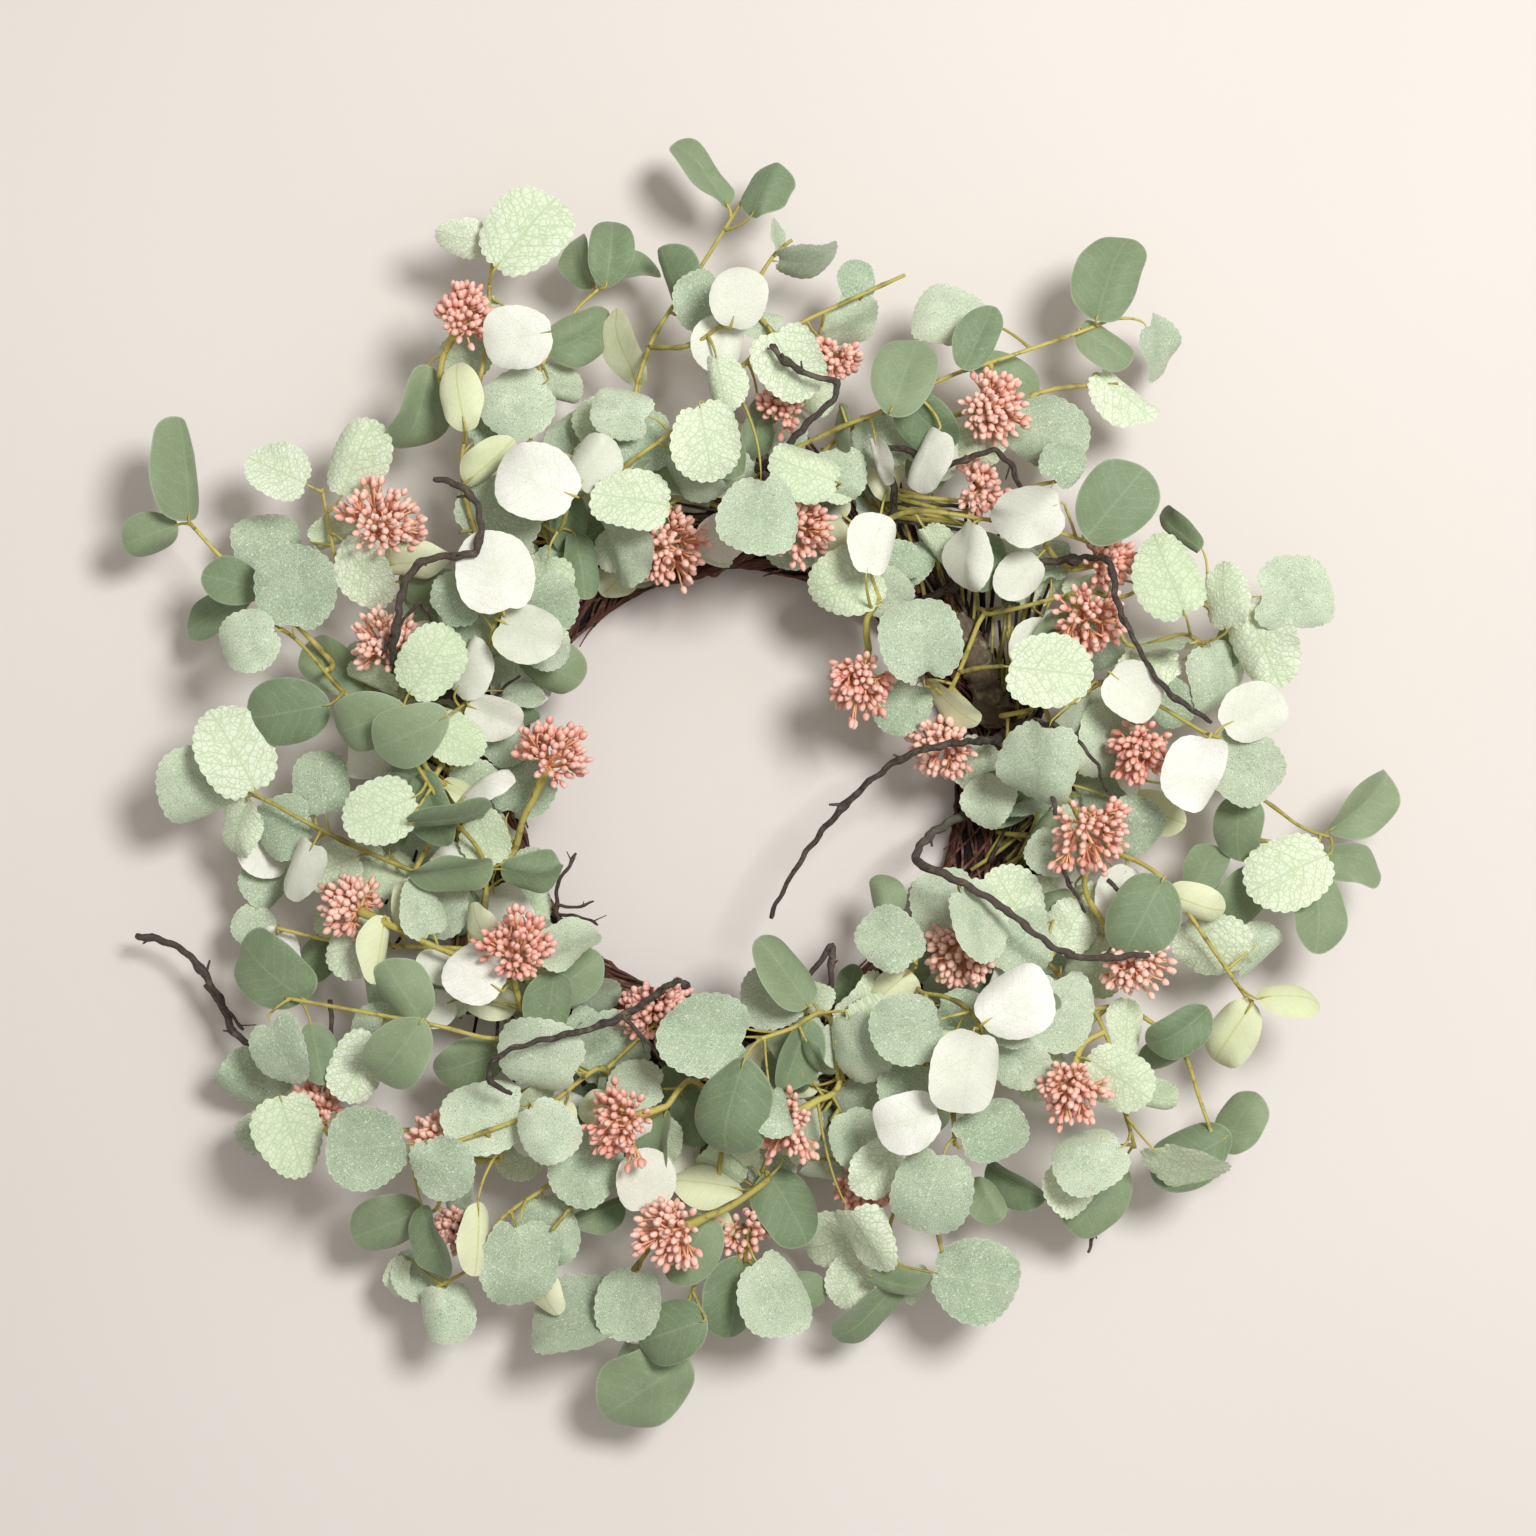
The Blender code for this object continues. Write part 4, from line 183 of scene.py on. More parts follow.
# The layout. Plan points are (x, y, height in mm), x to the right and y down, as drawn.
# A spray has the clock angle and the rise of its root on the bundle, both in degrees, the
# points of its stem, and boughs that leave it. Berries are (bough, centre, width, depth).
# A leaf is (kind, x, y, heading from base to tip, length, roll, height of its middle).
SPRAYS = {
    "spray_top": dict(
        root=(338, 50),
        stem=[(640, 470, 62), (634, 405, 80), (648, 350, 74), (667, 315, 66), (700, 268, 58),
              (736, 211, 50), (748, 192, 48)],
        boughs=[[(690, 345, 94), (728, 320, 98)],
                [(648, 520, 66), (664, 492, 82)]],
        berries=[([(655, 545, 60)], (690, 560, 74), 96, 66)],
        leaves=[("S", 703, 172, 126, 86, 30, 52), ("S", 762, 190, 65, 62, 42, 50),
                ("S", 672, 280, 105, 78, 38, 70), ("W", 739, 297, 75, 62, 0, 110),
                ("W", 720, 340, 250, 62, 6, 102), ("C", 718, 383, 275, 62, 0, 90),
                ("F", 703, 302, 120, 66, 10, 82), ("C", 632, 500, 172, 78, 20, 96),
                ("F", 660, 518, 300, 60, 35, 66), ("F", 725, 478, 25, 62, 15, 70),
                ("F", 622, 545, 290, 86, 40, 72)],
    ),
    "spray_top_long": dict(
        joins="spray_top_right",
        stem=[(700, 460, 60), (728, 385, 74), (780, 335, 80), (850, 300, 74), (905, 275, 70)],
        boughs=[[(752, 300, 70), (772, 258, 66), (792, 240, 64)]],
        berries=[],
        leaves=[("F", 858, 278, 95, 44, 5, 66), ("F", 850, 323, 28, 66, 60, 62),
                ("C", 790, 363, 300, 80, 5, 86), ("C", 812, 396, 325, 50, 10, 62),
                ("F", 808, 262, 358, 68, 60, 62), ("F", 776, 236, 92, 38, 68, 66),
                ("F", 760, 318, 350, 50, 20, 76), ("S", 757, 430, 270, 62, 50, 44)],
    ),
    "spray_top_front": dict(
        joins="spray_top",
        stem=[(612, 500, 78), (622, 470, 88), (665, 437, 98), (712, 404, 106)],
        boughs=[],
        berries=[],
        leaves=[("C", 706, 441, 280, 80, 0, 112), ("F", 644, 442, 200, 68, 5, 78),
                ("F", 622, 410, 165, 64, 5, 92), ("W", 594, 462, 60, 62, 28, 102)],
    ),
    "spray_top_right": dict(
        root=(356, 55),
        stem=[(760, 470, 60), (830, 432, 76), (880, 412, 84), (922, 395, 90)],
        boughs=[[(800, 480, 70), (838, 488, 78)]],
        berries=[([(770, 520, 66), (786, 505, 72)], (803, 530, 80), 84, 60)],
        leaves=[("S", 905, 373, 70, 86, 5, 102), ("S", 925, 420, 315, 74, 25, 84),
                ("F", 885, 442, 300, 62, 10, 60), ("C", 807, 470, 160, 72, 5, 100),
                ("F", 764, 520, 262, 90, 5, 94), ("W", 918, 460, 245, 70, 55, 70),
                ("S", 838, 425, 270, 56, 40, 46), ("F", 785, 435, 250, 54, 20, 42)],
    ),
    "spray_upper_right": dict(
        root=(10, 50),
        stem=[(830, 445, 54), (900, 402, 66), (950, 376, 76), (1010, 356, 78), (1080, 332, 70),
              (1114, 318, 66)],
        boughs=[[(1000, 400, 62), (1060, 388, 62), (1118, 384, 58)]],
        berries=[([(945, 415, 66), (984, 406, 78)], (1014, 405, 92), 97, 62)],
        leaves=[("S", 1110, 276, 72, 94, 20, 74), ("S", 1106, 342, 325, 64, 5, 72),
                ("S", 978, 340, 65, 68, 15, 88), ("F", 948, 315, 170, 74, 28, 70),
                ("S", 1010, 376, 335, 78, 20, 66), ("C", 1124, 396, 320, 76, 25, 60),
                ("F", 1150, 352, 310, 72, 60, 54), ("F", 1048, 437, 330, 86, 5, 64),
                ("C", 980, 437, 265, 60, 5, 80)],
    ),
    "spray_right_of_top": dict(
        root=(24, 60),
        stem=[(905, 512, 60), (990, 520, 72), (1050, 530, 80), (1088, 542, 84)],
        boughs=[[(1030, 490, 64), (1062, 480, 66)]],
        berries=[([(1050, 560, 60), (1092, 572, 64)], (1134, 550, 70), 70, 46)],
        leaves=[("S", 1115, 503, 50, 90, 0, 100), ("W", 1027, 513, 195, 74, 30, 94),
                ("S", 985, 557, 285, 66, 35, 60), ("W", 967, 557, 262, 70, 58, 80),
                ("F", 1020, 550, 340, 56, 20, 54), ("F", 1064, 464, 60, 50, 10, 76),
                ("F", 905, 560, 20, 56, 20, 48)],
    ),
    "spray_inner_top": dict(
        joins="spray_right_of_top",
        stem=[(842, 540, 58), (868, 572, 70), (880, 600, 74)],
        boughs=[],
        berries=[([(866, 622, 72), (872, 670, 74)], (854, 698, 80), 76, 56)],
        leaves=[("C", 845, 580, 200, 82, 0, 80), ("W", 874, 545, 75, 62, 0, 96),
                ("Y", 836, 535, 120, 56, 10, 78), ("F", 886, 592, 308, 56, 15, 62)],
    ),
    "spray_right_front": dict(
        joins="spray_right_high",
        stem=[(950, 690, 58), (932, 686, 72)],
        boughs=[[(980, 668, 62), (1003, 666, 78)]],
        berries=[([(975, 715, 56), (978, 735, 62)], (953, 752, 72), 76, 56)],
        leaves=[("F", 921, 641, 95, 88, 0, 94), ("F", 905, 706, 235, 62, 8, 66),
                ("C", 1047, 672, 355, 90, 4, 88), ("Y", 960, 706, 330, 74, 58, 82)],
    ),
    "spray_right_high": dict(
        root=(52, 45),
        stem=[(1010, 610, 46), (1090, 590, 64), (1160, 582, 76), (1220, 612, 78), (1246, 604, 74)],
        boughs=[[(1128, 645, 64), (1182, 634, 72), (1204, 646, 72)]],
        berries=[([(1070, 596, 66), (1096, 602, 78)], (1103, 638, 92), 96, 62)],
        leaves=[("F", 1290, 595, 356, 86, 5, 74), ("C", 1262, 642, 292, 92, 22, 82),
                ("C", 1224, 598, 95, 66, 42, 88), ("C", 1170, 576, 110, 88, 10, 88),
                ("S", 1176, 533, 140, 62, 35, 58),
                ("F", 1216, 676, 290, 80, 40, 70), ("F", 1165, 643, 175, 68, 35, 80),
                ("C", 1088, 585, 190, 50, 10, 48)],
    ),
    "spray_right": dict(
        root=(80, 62),
        stem=[(1040, 704, 58), (1110, 682, 76), (1160, 706, 88), (1200, 730, 94), (1222, 738, 94)],
        boughs=[[(1060, 740, 58), (1100, 770, 60)]],
        berries=[([(1120, 704, 80), (1150, 734, 86)], (1136, 766, 94), 62, 56)],
        leaves=[("W", 1197, 771, 250, 78, 4, 108), ("F", 1242, 766, 320, 88, 5, 86),
                ("W", 1253, 712, 25, 68, 28, 94), ("S", 1275, 762, 20, 48, 35, 66),
                ("W", 1134, 692, 320, 64, 5, 100), ("F", 1172, 702, 310, 54, 20, 64),
                ("F", 1108, 740, 262, 86, 30, 72), ("F", 1086, 712, 252, 72, 58, 88)],
    ),
    "spray_right_inner": dict(
        joins="spray_right",
        stem=[(1000, 716, 60), (1026, 712, 74)],
        boughs=[],
        berries=[],
        leaves=[("F", 1038, 768, 272, 104, 14, 84), ("F", 990, 800, 250, 60, 30, 56)],
    ),
    "spray_right_outer": dict(
        root=(88, 40),
        stem=[(1080, 772, 40), (1180, 765, 52), (1255, 795, 62), (1300, 826, 64), (1332, 838, 62)],
        boughs=[[(1230, 835, 60), (1275, 842, 66), (1296, 850, 66)]],
        berries=[([(1060, 790, 62), (1090, 818, 84)], (1100, 853, 100), 128, 70)],
        leaves=[("S", 1367, 804, 50, 86, 8, 64), ("S", 1348, 856, 355, 72, 45, 60),
                ("C", 1290, 872, 205, 90, 18, 78), ("S", 1317, 905, 262, 82, 20, 56),
                ("S", 1246, 898, 225, 80, 15, 58), ("S", 1238, 826, 265, 68, 30, 66),
                ("Y", 1152, 812, 340, 66, 25, 60)],
    ),
    "spray_right_low": dict(
        root=(100, 55),
        stem=[(1060, 840, 56), (1130, 858, 76), (1168, 884, 90), (1200, 930, 84), (1248, 1000, 68)],
        boughs=[],
        berries=[([(1085, 890, 70), (1128, 955, 86)], (1152, 986, 98), 84, 62)],
        leaves=[("S", 1143, 914, 240, 88, 6, 104), ("Y", 1195, 904, 340, 60, 12, 92),
                ("Y", 1285, 996, 355, 68, 28, 66), ("Y", 1232, 1033, 238, 78, 12, 70),
                ("C", 1213, 948, 185, 84, 18, 66), ("F", 1256, 950, 40, 62, 10, 56),
                ("S", 1205, 866, 60, 54, 20, 60), ("C", 1092, 918, 300, 74, 25, 60)],
    ),
    "spray_low_right_front": dict(
        joins="spray_low_right",
        stem=[(928, 952, 64), (915, 968, 76)],
        boughs=[[(985, 935, 56), (1038, 955, 66), (1072, 990, 78)]],
        berries=[([(965, 930, 60), (972, 942, 66)], (945, 972, 72), 84, 66)],
        leaves=[("F", 890, 941, 140, 70, 0, 86), ("S", 888, 896, 100, 48, 20, 64),
                ("F", 936, 906, 95, 80, 5, 72), ("F", 1058, 1010, 265, 86, 5, 86),
                ("F", 1022, 938, 210, 76, 5, 76), ("C", 1012, 902, 120, 76, 10, 70),
                ("F", 976, 922, 292, 86, 48, 90)],
    ),
    "spray_low_right": dict(
        root=(122, 45),
        stem=[(1010, 960, 44), (1082, 1000, 70), (1108, 1040, 84), (1122, 1100, 78),
              (1135, 1148, 72)],
        boughs=[[(1130, 1010, 62), (1180, 1048, 70), (1200, 1100, 70), (1214, 1140, 68)]],
        berries=[([(1082, 1045, 84), (1072, 1078, 94)], (1066, 1112, 104), 96, 60)],
        leaves=[("C", 1118, 1076, 332, 78, 12, 94), ("C", 1152, 1098, 350, 56, 20, 60),
                ("F", 1086, 1156, 205, 76, 8, 92), ("C", 1074, 1182, 235, 72, 8, 74),
                ("S", 1098, 1196, 235, 86, 18, 54), ("C", 1182, 1165, 342, 96, 42, 74),
                ("C", 1126, 1028, 85, 58, 20, 72), ("S", 1188, 1152, 200, 86, 5, 60),
                ("S", 1238, 1122, 60, 66, 32, 62), ("S", 1180, 1030, 215, 72, 18, 86),
                ("C", 1045, 1080, 200, 60, 10, 70)],
    ),
    "spray_bottom_right_front": dict(
        root=(140, 80),
        stem=[(925, 990, 76), (965, 1006, 100), (985, 1035, 112)],
        boughs=[[(925, 1040, 76), (950, 1092, 94), (955, 1146, 98)]],
        berries=[],
        leaves=[("W", 1015, 1002, 35, 80, 0, 122), ("W", 968, 1072, 262, 86, 0, 124),
                ("Y", 936, 1038, 165, 60, 25, 110), ("F", 905, 1025, 190, 78, 8, 96),
                ("F", 1020, 1062, 320, 64, 10, 92), ("F", 930, 1192, 250, 90, 0, 104),
                ("W", 906, 1120, 195, 70, 0, 112), ("F", 992, 1125, 25, 78, 20, 100),
                ("C", 878, 1165, 225, 68, 20, 76), ("F", 905, 1085, 150, 60, 10, 74),
                ("S", 1010, 1182, 345, 78, 18, 70)],
    ),
    "spray_bottom_right": dict(
        root=(156, 45),
        stem=[(852, 1100, 46), (872, 1180, 56), (892, 1240, 60), (886, 1278, 60)],
        boughs=[[(885, 1140, 58), (928, 1200, 64), (942, 1252, 62)]],
        berries=[([(850, 1160, 44), (856, 1180, 48)], (876, 1204, 56), 60, 50)],
        leaves=[("S", 866, 1314, 225, 92, 14, 58), ("S", 900, 1284, 345, 66, 28, 64),
                ("C", 840, 1240, 215, 86, 8, 60), ("C", 866, 1238, 300, 80, 60, 78),
                ("F", 926, 1298, 330, 50, 10, 44),
                ("F", 975, 1280, 350, 90, 4, 64), ("F", 838, 1165, 350, 76, 20, 42)],
    ),
    "spray_bottom_front": dict(
        joins="spray_bottom_right",
        stem=[(826, 1014, 74), (792, 1028, 96), (757, 1040, 104)],
        boughs=[[(838, 1080, 60), (836, 1040, 74)]],
        berries=[([(835, 1092, 66), (796, 1104, 86)], (770, 1130, 90), 104, 62)],
        leaves=[("F", 706, 1036, 175, 92, 4, 106), ("S", 730, 1107, 255, 96, 22, 118),
                ("F", 766, 1112, 285, 68, 18, 94), ("F", 775, 1004, 165, 74, 5, 84),
                ("S", 795, 1052, 250, 76, 32, 84), ("F", 858, 1050, 285, 78, 24, 84)],
    ),
    "spray_bottom_inner": dict(
        root=(166, 105),
        stem=[(803, 1017, 66), (808, 1007, 84)],
        boughs=[],
        berries=[],
        leaves=[("S", 784, 972, 125, 84, 32, 90), ("C", 814, 996, 60, 44, 20, 72)],
    ),
    "spray_bottom": dict(
        joins="spray_bottom_left",
        stem=[(770, 1130, 50), (752, 1210, 62), (745, 1262, 60)],
        boughs=[],
        berries=[([(768, 1180, 70), (720, 1212, 84), (682, 1216, 90)], (652, 1242, 98), 88, 60)],
        leaves=[("S", 735, 1298, 265, 86, 28, 58), ("F", 776, 1295, 300, 88, 12, 68),
                ("Y", 714, 1222, 300, 50, 28, 58),
                ("S", 788, 1205, 300, 82, 28, 66), ("F", 775, 1165, 262, 60, 10, 52)],
    ),
    "spray_bottom_left": dict(
        root=(187, 50),
        stem=[(722, 1125, 54), (712, 1215, 66), (690, 1298, 62), (660, 1354, 58)],
        boughs=[[(690, 1190, 64), (645, 1255, 68), (608, 1306, 62)]],
        berries=[([(690, 1080, 70), (662, 1112, 86), (634, 1129, 92)], (606, 1126, 100), 106, 50)],
        leaves=[("S", 670, 1332, 200, 78, 14, 74), ("S", 647, 1388, 215, 104, 12, 56),
                ("F", 630, 1303, 255, 78, 30, 70), ("F", 628, 1362, 240, 52, 36, 46),
                ("F", 573, 1320, 184, 108, 55, 60), ("S", 692, 1248, 240, 74, 5, 78),
                ("S", 600, 1212, 200, 54, 20, 50), ("W", 645, 1180, 85, 66, 10, 82),
                ("S", 680, 1092, 130, 60, 20, 50)],
    ),
    "spray_low_left": dict(
        root=(202, 45),
        stem=[(610, 1110, 50), (560, 1175, 60), (500, 1220, 64), (478, 1262, 60), (432, 1290, 58)],
        boughs=[[(590, 1180, 62), (552, 1230, 74)]],
        berries=[],
        leaves=[("F", 520, 1262, 262, 94, 26, 76), ("F", 548, 1232, 280, 78, 22, 64),
                ("F", 446, 1313, 282, 64, 12, 62),
                ("S", 435, 1240, 290, 74, 40, 70), ("F", 418, 1278, 150, 60, 25, 46),
                ("F", 585, 1168, 230, 78, 8, 74), ("C", 520, 1160, 200, 54, 20, 50),
                ("Y", 478, 1238, 268, 70, 30, 86)],
    ),
    "spray_low_left_front": dict(
        joins="spray_low_left",
        stem=[(600, 1068, 70), (540, 1110, 90), (455, 1142, 94), (408, 1158, 88)],
        boughs=[[(648, 1030, 60), (676, 1005, 66)]],
        berries=[([(500, 1160, 70), (444, 1156, 70)], (412, 1130, 70), 56, 50)],
        leaves=[("F", 484, 1114, 188, 86, 4, 92), ("F", 547, 1131, 300, 66, 4, 106),
                ("F", 540, 1058, 158, 88, 12, 100), ("S", 470, 1062, 200, 72, 18, 66),
                ("F", 610, 1050, 20, 84, 5, 58), ("F", 442, 1168, 300, 68, 16, 100),
                ("F", 367, 1147, 186, 86, 0, 90), ("S", 622, 1095, 85, 64, 10, 62)],
    ),
    "spray_lower_left_outer": dict(
        root=(214, 40),
        stem=[(560, 1070, 44), (480, 1110, 52), (410, 1130, 54), (340, 1120, 54), (300, 1112, 54)],
        boughs=[[(440, 1200, 54), (418, 1218, 56)]],
        berries=[([(335, 1140, 48), (318, 1118, 48)], (305, 1088, 54), 56, 40)],
        leaves=[("F", 258, 1085, 150, 82, 5, 62), ("C", 292, 1135, 285, 86, 30, 74),
                ("S", 385, 1224, 205, 84, 8, 60)],
    ),
    "spray_left_low": dict(
        root=(222, 60),
        stem=[(545, 1012, 66), (500, 1038, 78), (430, 1024, 88), (320, 1004, 80), (286, 998, 76)],
        boughs=[[(540, 985, 72), (500, 975, 86), (470, 1000, 84)]],
        berries=[([(516, 990, 84), (513, 958, 96)], (520, 920, 110), 92, 64)],
        leaves=[("S", 271, 974, 140, 90, 18, 78), ("S", 405, 992, 120, 72, 4, 94),
                ("S", 398, 1052, 232, 84, 14, 96), ("C", 360, 1066, 240, 74, 8, 72),
                ("S", 315, 1052, 282, 62, 24, 72),
                ("F", 281, 1048, 292, 74, 32, 70), ("W", 473, 975, 150, 66, 0, 100),
                ("S", 550, 1004, 260, 68, 4, 84), ("W", 440, 967, 160, 46, 20, 70),
                ("W", 434, 1008, 200, 46, 18, 70), ("F", 566, 975, 40, 52, 10, 60)],
    ),
    "spray_left_lower": dict(
        root=(232, 50),
        stem=[(500, 950, 54), (400, 946, 56), (330, 940, 54), (276, 928, 50)],
        boughs=[],
        berries=[([(470, 960, 78), (400, 930, 84), (368, 904, 74)], (336, 900, 74), 74, 44)],
        leaves=[("C", 340, 914, 165, 82, 32, 58), ("C", 354, 945, 235, 66, 22, 68),
                ("F", 254, 926, 165, 46, 10, 38),
                ("S", 320, 955, 230, 62, 20, 38), ("Y", 380, 948, 262, 66, 36, 84)],
    ),
    "spray_inner_left": dict(
        joins="spray_left_lower",
        stem=[(485, 865, 66), (447, 812, 84), (415, 762, 94)],
        boughs=[[(470, 880, 72), (430, 872, 78)]],
        berries=[([(512, 855, 60), (526, 812, 74), (556, 768, 84)], (560, 736, 94), 106, 58)],
        leaves=[("C", 383, 812, 200, 76, 8, 92), ("S", 428, 802, 285, 78, 16, 100),
                ("F", 468, 788, 25, 64, 10, 70), ("S", 450, 818, 5, 84, 60, 108),
                ("C", 485, 835, 285, 60, 10, 66), ("F", 523, 788, 60, 70, 14, 56),
                ("S", 448, 868, 5, 80, 58, 90), ("S", 532, 873, 355, 62, 55, 84),
                ("C", 390, 880, 190, 60, 18, 56), ("F", 436, 905, 280, 72, 22, 66)],
    ),
    "spray_left": dict(
        root=(249, 45),
        stem=[(440, 880, 50), (370, 853, 64), (310, 824, 70), (270, 802, 68), (240, 790, 66)],
        boughs=[],
        berries=[],
        leaves=[("C", 235, 752, 118, 94, 18, 78), ("F", 200, 786, 205, 88, 8, 66),
                ("C", 236, 830, 255, 68, 32, 62), ("F", 284, 826, 200, 68, 5, 56),
                ("F", 322, 784, 95, 66, 5, 58),
                ("F", 273, 882, 225, 64, 10, 40), ("W", 301, 868, 240, 68, 28, 72),
                ("C", 332, 866, 200, 64, 8, 56)],
    ),
    "spray_left_ovals": dict(
        joins="spray_left",
        stem=[(450, 800, 62), (425, 765, 84), (398, 700, 98)],
        boughs=[[(455, 740, 72), (466, 700, 76)]],
        berries=[],
        leaves=[("S", 367, 722, 200, 80, 5, 100), ("S", 410, 734, 205, 78, 16, 114),
                ("C", 367, 678, 165, 62, 26, 86), ("C", 431, 662, 55, 78, 18, 94),
                ("W", 468, 668, 60, 64, 8, 80), ("C", 455, 738, 330, 60, 10, 84)],
    ),
    "spray_left_high": dict(
        root=(268, 50),
        stem=[(420, 745, 50), (352, 700, 66), (302, 645, 76), (272, 622, 78)],
        boughs=[[(330, 660, 56), (270, 600, 56), (226, 562, 56), (188, 521, 58)]],
        berries=[([(410, 690, 64), (386, 662, 72)], (385, 630, 84), 92, 58)],
        leaves=[("F", 296, 587, 85, 88, 4, 88), ("F", 249, 641, 200, 66, 5, 90),
                ("S", 288, 712, 190, 84, 8, 82), ("S", 330, 668, 150, 78, 10, 58),
                ("S", 186, 470, 95, 102, 44, 66), ("S", 150, 535, 200, 60, 8, 56),
                ("F", 262, 543, 100, 74, 8, 44), ("S", 234, 583, 165, 62, 10, 66),
                ("S", 213, 619, 195, 82, 8, 40)],
    ),
    "spray_inner_upper_left": dict(
        joins="spray_upper_left",
        stem=[(478, 690, 66), (490, 640, 90), (500, 603, 98)],
        boughs=[],
        berries=[],
        leaves=[("W", 497, 573, 100, 88, 0, 114), ("W", 525, 633, 335, 70, 0, 108),
                ("F", 470, 620, 170, 64, 8, 76), ("S", 548, 665, 330, 72, 8, 62),
                ("W", 492, 715, 340, 58, 26, 84), ("F", 506, 738, 300, 58, 10, 58)],
    ),
    "spray_upper_left": dict(
        root=(284, 45),
        stem=[(430, 660, 50), (375, 610, 60), (340, 570, 66), (330, 530, 66), (322, 488, 66)],
        boughs=[],
        berries=[([(385, 590, 62), (368, 560, 70), (367, 530, 78)], (400, 492, 92), 116, 56)],
        leaves=[("C", 280, 472, 155, 68, 12, 68), ("C", 351, 457, 65, 88, 6, 80),
                ("C", 336, 532, 20, 52, 20, 54), ("C", 365, 570, 310, 76, 30, 80),
                ("Y", 410, 560, 10, 68, 32, 78), ("S", 430, 588, 350, 64, 28, 56)],
    ),
    "spray_top_left": dict(
        root=(302, 50),
        stem=[(490, 575, 54), (464, 490, 70), (466, 430, 84), (484, 360, 82), (487, 300, 76),
              (493, 264, 74)],
        boughs=[],
        berries=[([(452, 400, 78), (440, 372, 78), (455, 322, 82)], (478, 294, 92), 66, 54)],
        leaves=[("C", 525, 232, 52, 98, 8, 82), ("C", 462, 238, 165, 50, 26, 72),
                ("W", 518, 337, 190, 70, 8, 98), ("F", 480, 328, 220, 66, 10, 68),
                ("Y", 459, 396, 100, 66, 16, 100),
                ("S", 418, 410, 253, 90, 38, 70),
                ("F", 500, 515, 20, 88, 4, 60), ("Y", 488, 464, 40, 64, 20, 82)],
    ),
    "spray_top_left_inner": dict(
        root=(320, 60),
        stem=[(548, 540, 54), (532, 460, 64), (536, 382, 66), (572, 316, 62), (602, 286, 60)],
        boughs=[[(560, 530, 74), (572, 488, 94)]],
        berries=[],
        leaves=[("S", 610, 252, 85, 70, 8, 64), ("S", 634, 270, 10, 60, 30, 52),
                ("S", 578, 262, 115, 60, 45, 58), ("S", 580, 336, 30, 80, 36, 64),
                ("Y", 628, 345, 120, 80, 26, 76), ("F", 556, 388, 350, 54, 16, 50),
                ("F", 516, 402, 215, 78, 6, 78), ("F", 574, 438, 40, 64, 16, 46),
                ("W", 538, 482, 160, 84, 0, 106), ("S", 580, 565, 280, 68, 26, 62),
                ("S", 566, 520, 270, 60, 20, 58)],
    ),
}

# Twigs: (radius in mm, points). The first point lies against the ring or the branch.
TWIGS = {
    "twig_arching": (1.7, [
        (1012, 738, 40), (1000, 740, 48), (955, 743, 84), (905, 756, 88), (860, 790, 84),
        (815, 840, 78), (786, 885, 72), (770, 918, 68)]),
    "twig_right": (1.6, [
        (1012, 728, 44), (1034, 738, 66), (1050, 752, 90), (1052, 780, 96), (1055, 815, 94)]),
    "twig_right_low": (1.9, [
        (985, 805, 34), (950, 822, 46), (922, 842, 58), (916, 862, 72), (945, 874, 90),
        (1000, 905, 96), (1050, 945, 98), (1085, 958, 100), (1150, 954, 112)]),
    "twig_right_top": (1.7, [
        (934, 592, 36), (1006, 568, 52), (1070, 560, 66), (1110, 560, 88), (1116, 600, 100),
        (1140, 650, 104), (1166, 690, 102), (1212, 722, 100)]),
    "twig_top": (1.8, [
        (735, 500, 40), (745, 478, 60), (778, 455, 80), (812, 418, 98), (845, 386, 98),
        (800, 372, 96), (770, 345, 92)]),
    "twig_top_right": (1.6, [
        (884, 556, 38), (895, 490, 60), (880, 450, 70), (912, 450, 76), (936, 468, 80),
        (968, 458, 88), (1002, 450, 88), (1020, 487, 80)]),
    "twig_left_loop": (2.0, [
        (478, 700, 34), (430, 690, 60), (394, 664, 88), (398, 620, 106), (405, 580, 110),
        (430, 556, 112), (476, 554, 114), (480, 510, 116), (462, 486, 112), (434, 478, 108)]),
    "twig_left_low": (2.2, [
        (540, 988, 26), (430, 1018, 20), (330, 1052, 24), (245, 1044, 30), (225, 1010, 32),
        (208, 980, 32), (190, 955, 32), (165, 941, 30), (136, 936, 28)]),
    "twig_bottom_left": (1.7, [
        (690, 1010, 36), (680, 980, 62), (640, 1006, 92), (600, 1026, 104), (550, 1038, 114),
        (503, 1052, 116), (484, 1076, 112), (512, 1094, 106)]),
    "twig_bottom": (1.6, [
        (830, 1030, 36), (828, 1010, 60), (834, 960, 72), (828, 944, 74), (808, 978, 66)]),
}
BRANCH_PLAN = [(964, 614, 36), (984, 650, 37), (998, 690, 37), (1008, 724, 38)]
BRANCH_TWIGS = ("twig_arching", "twig_right")

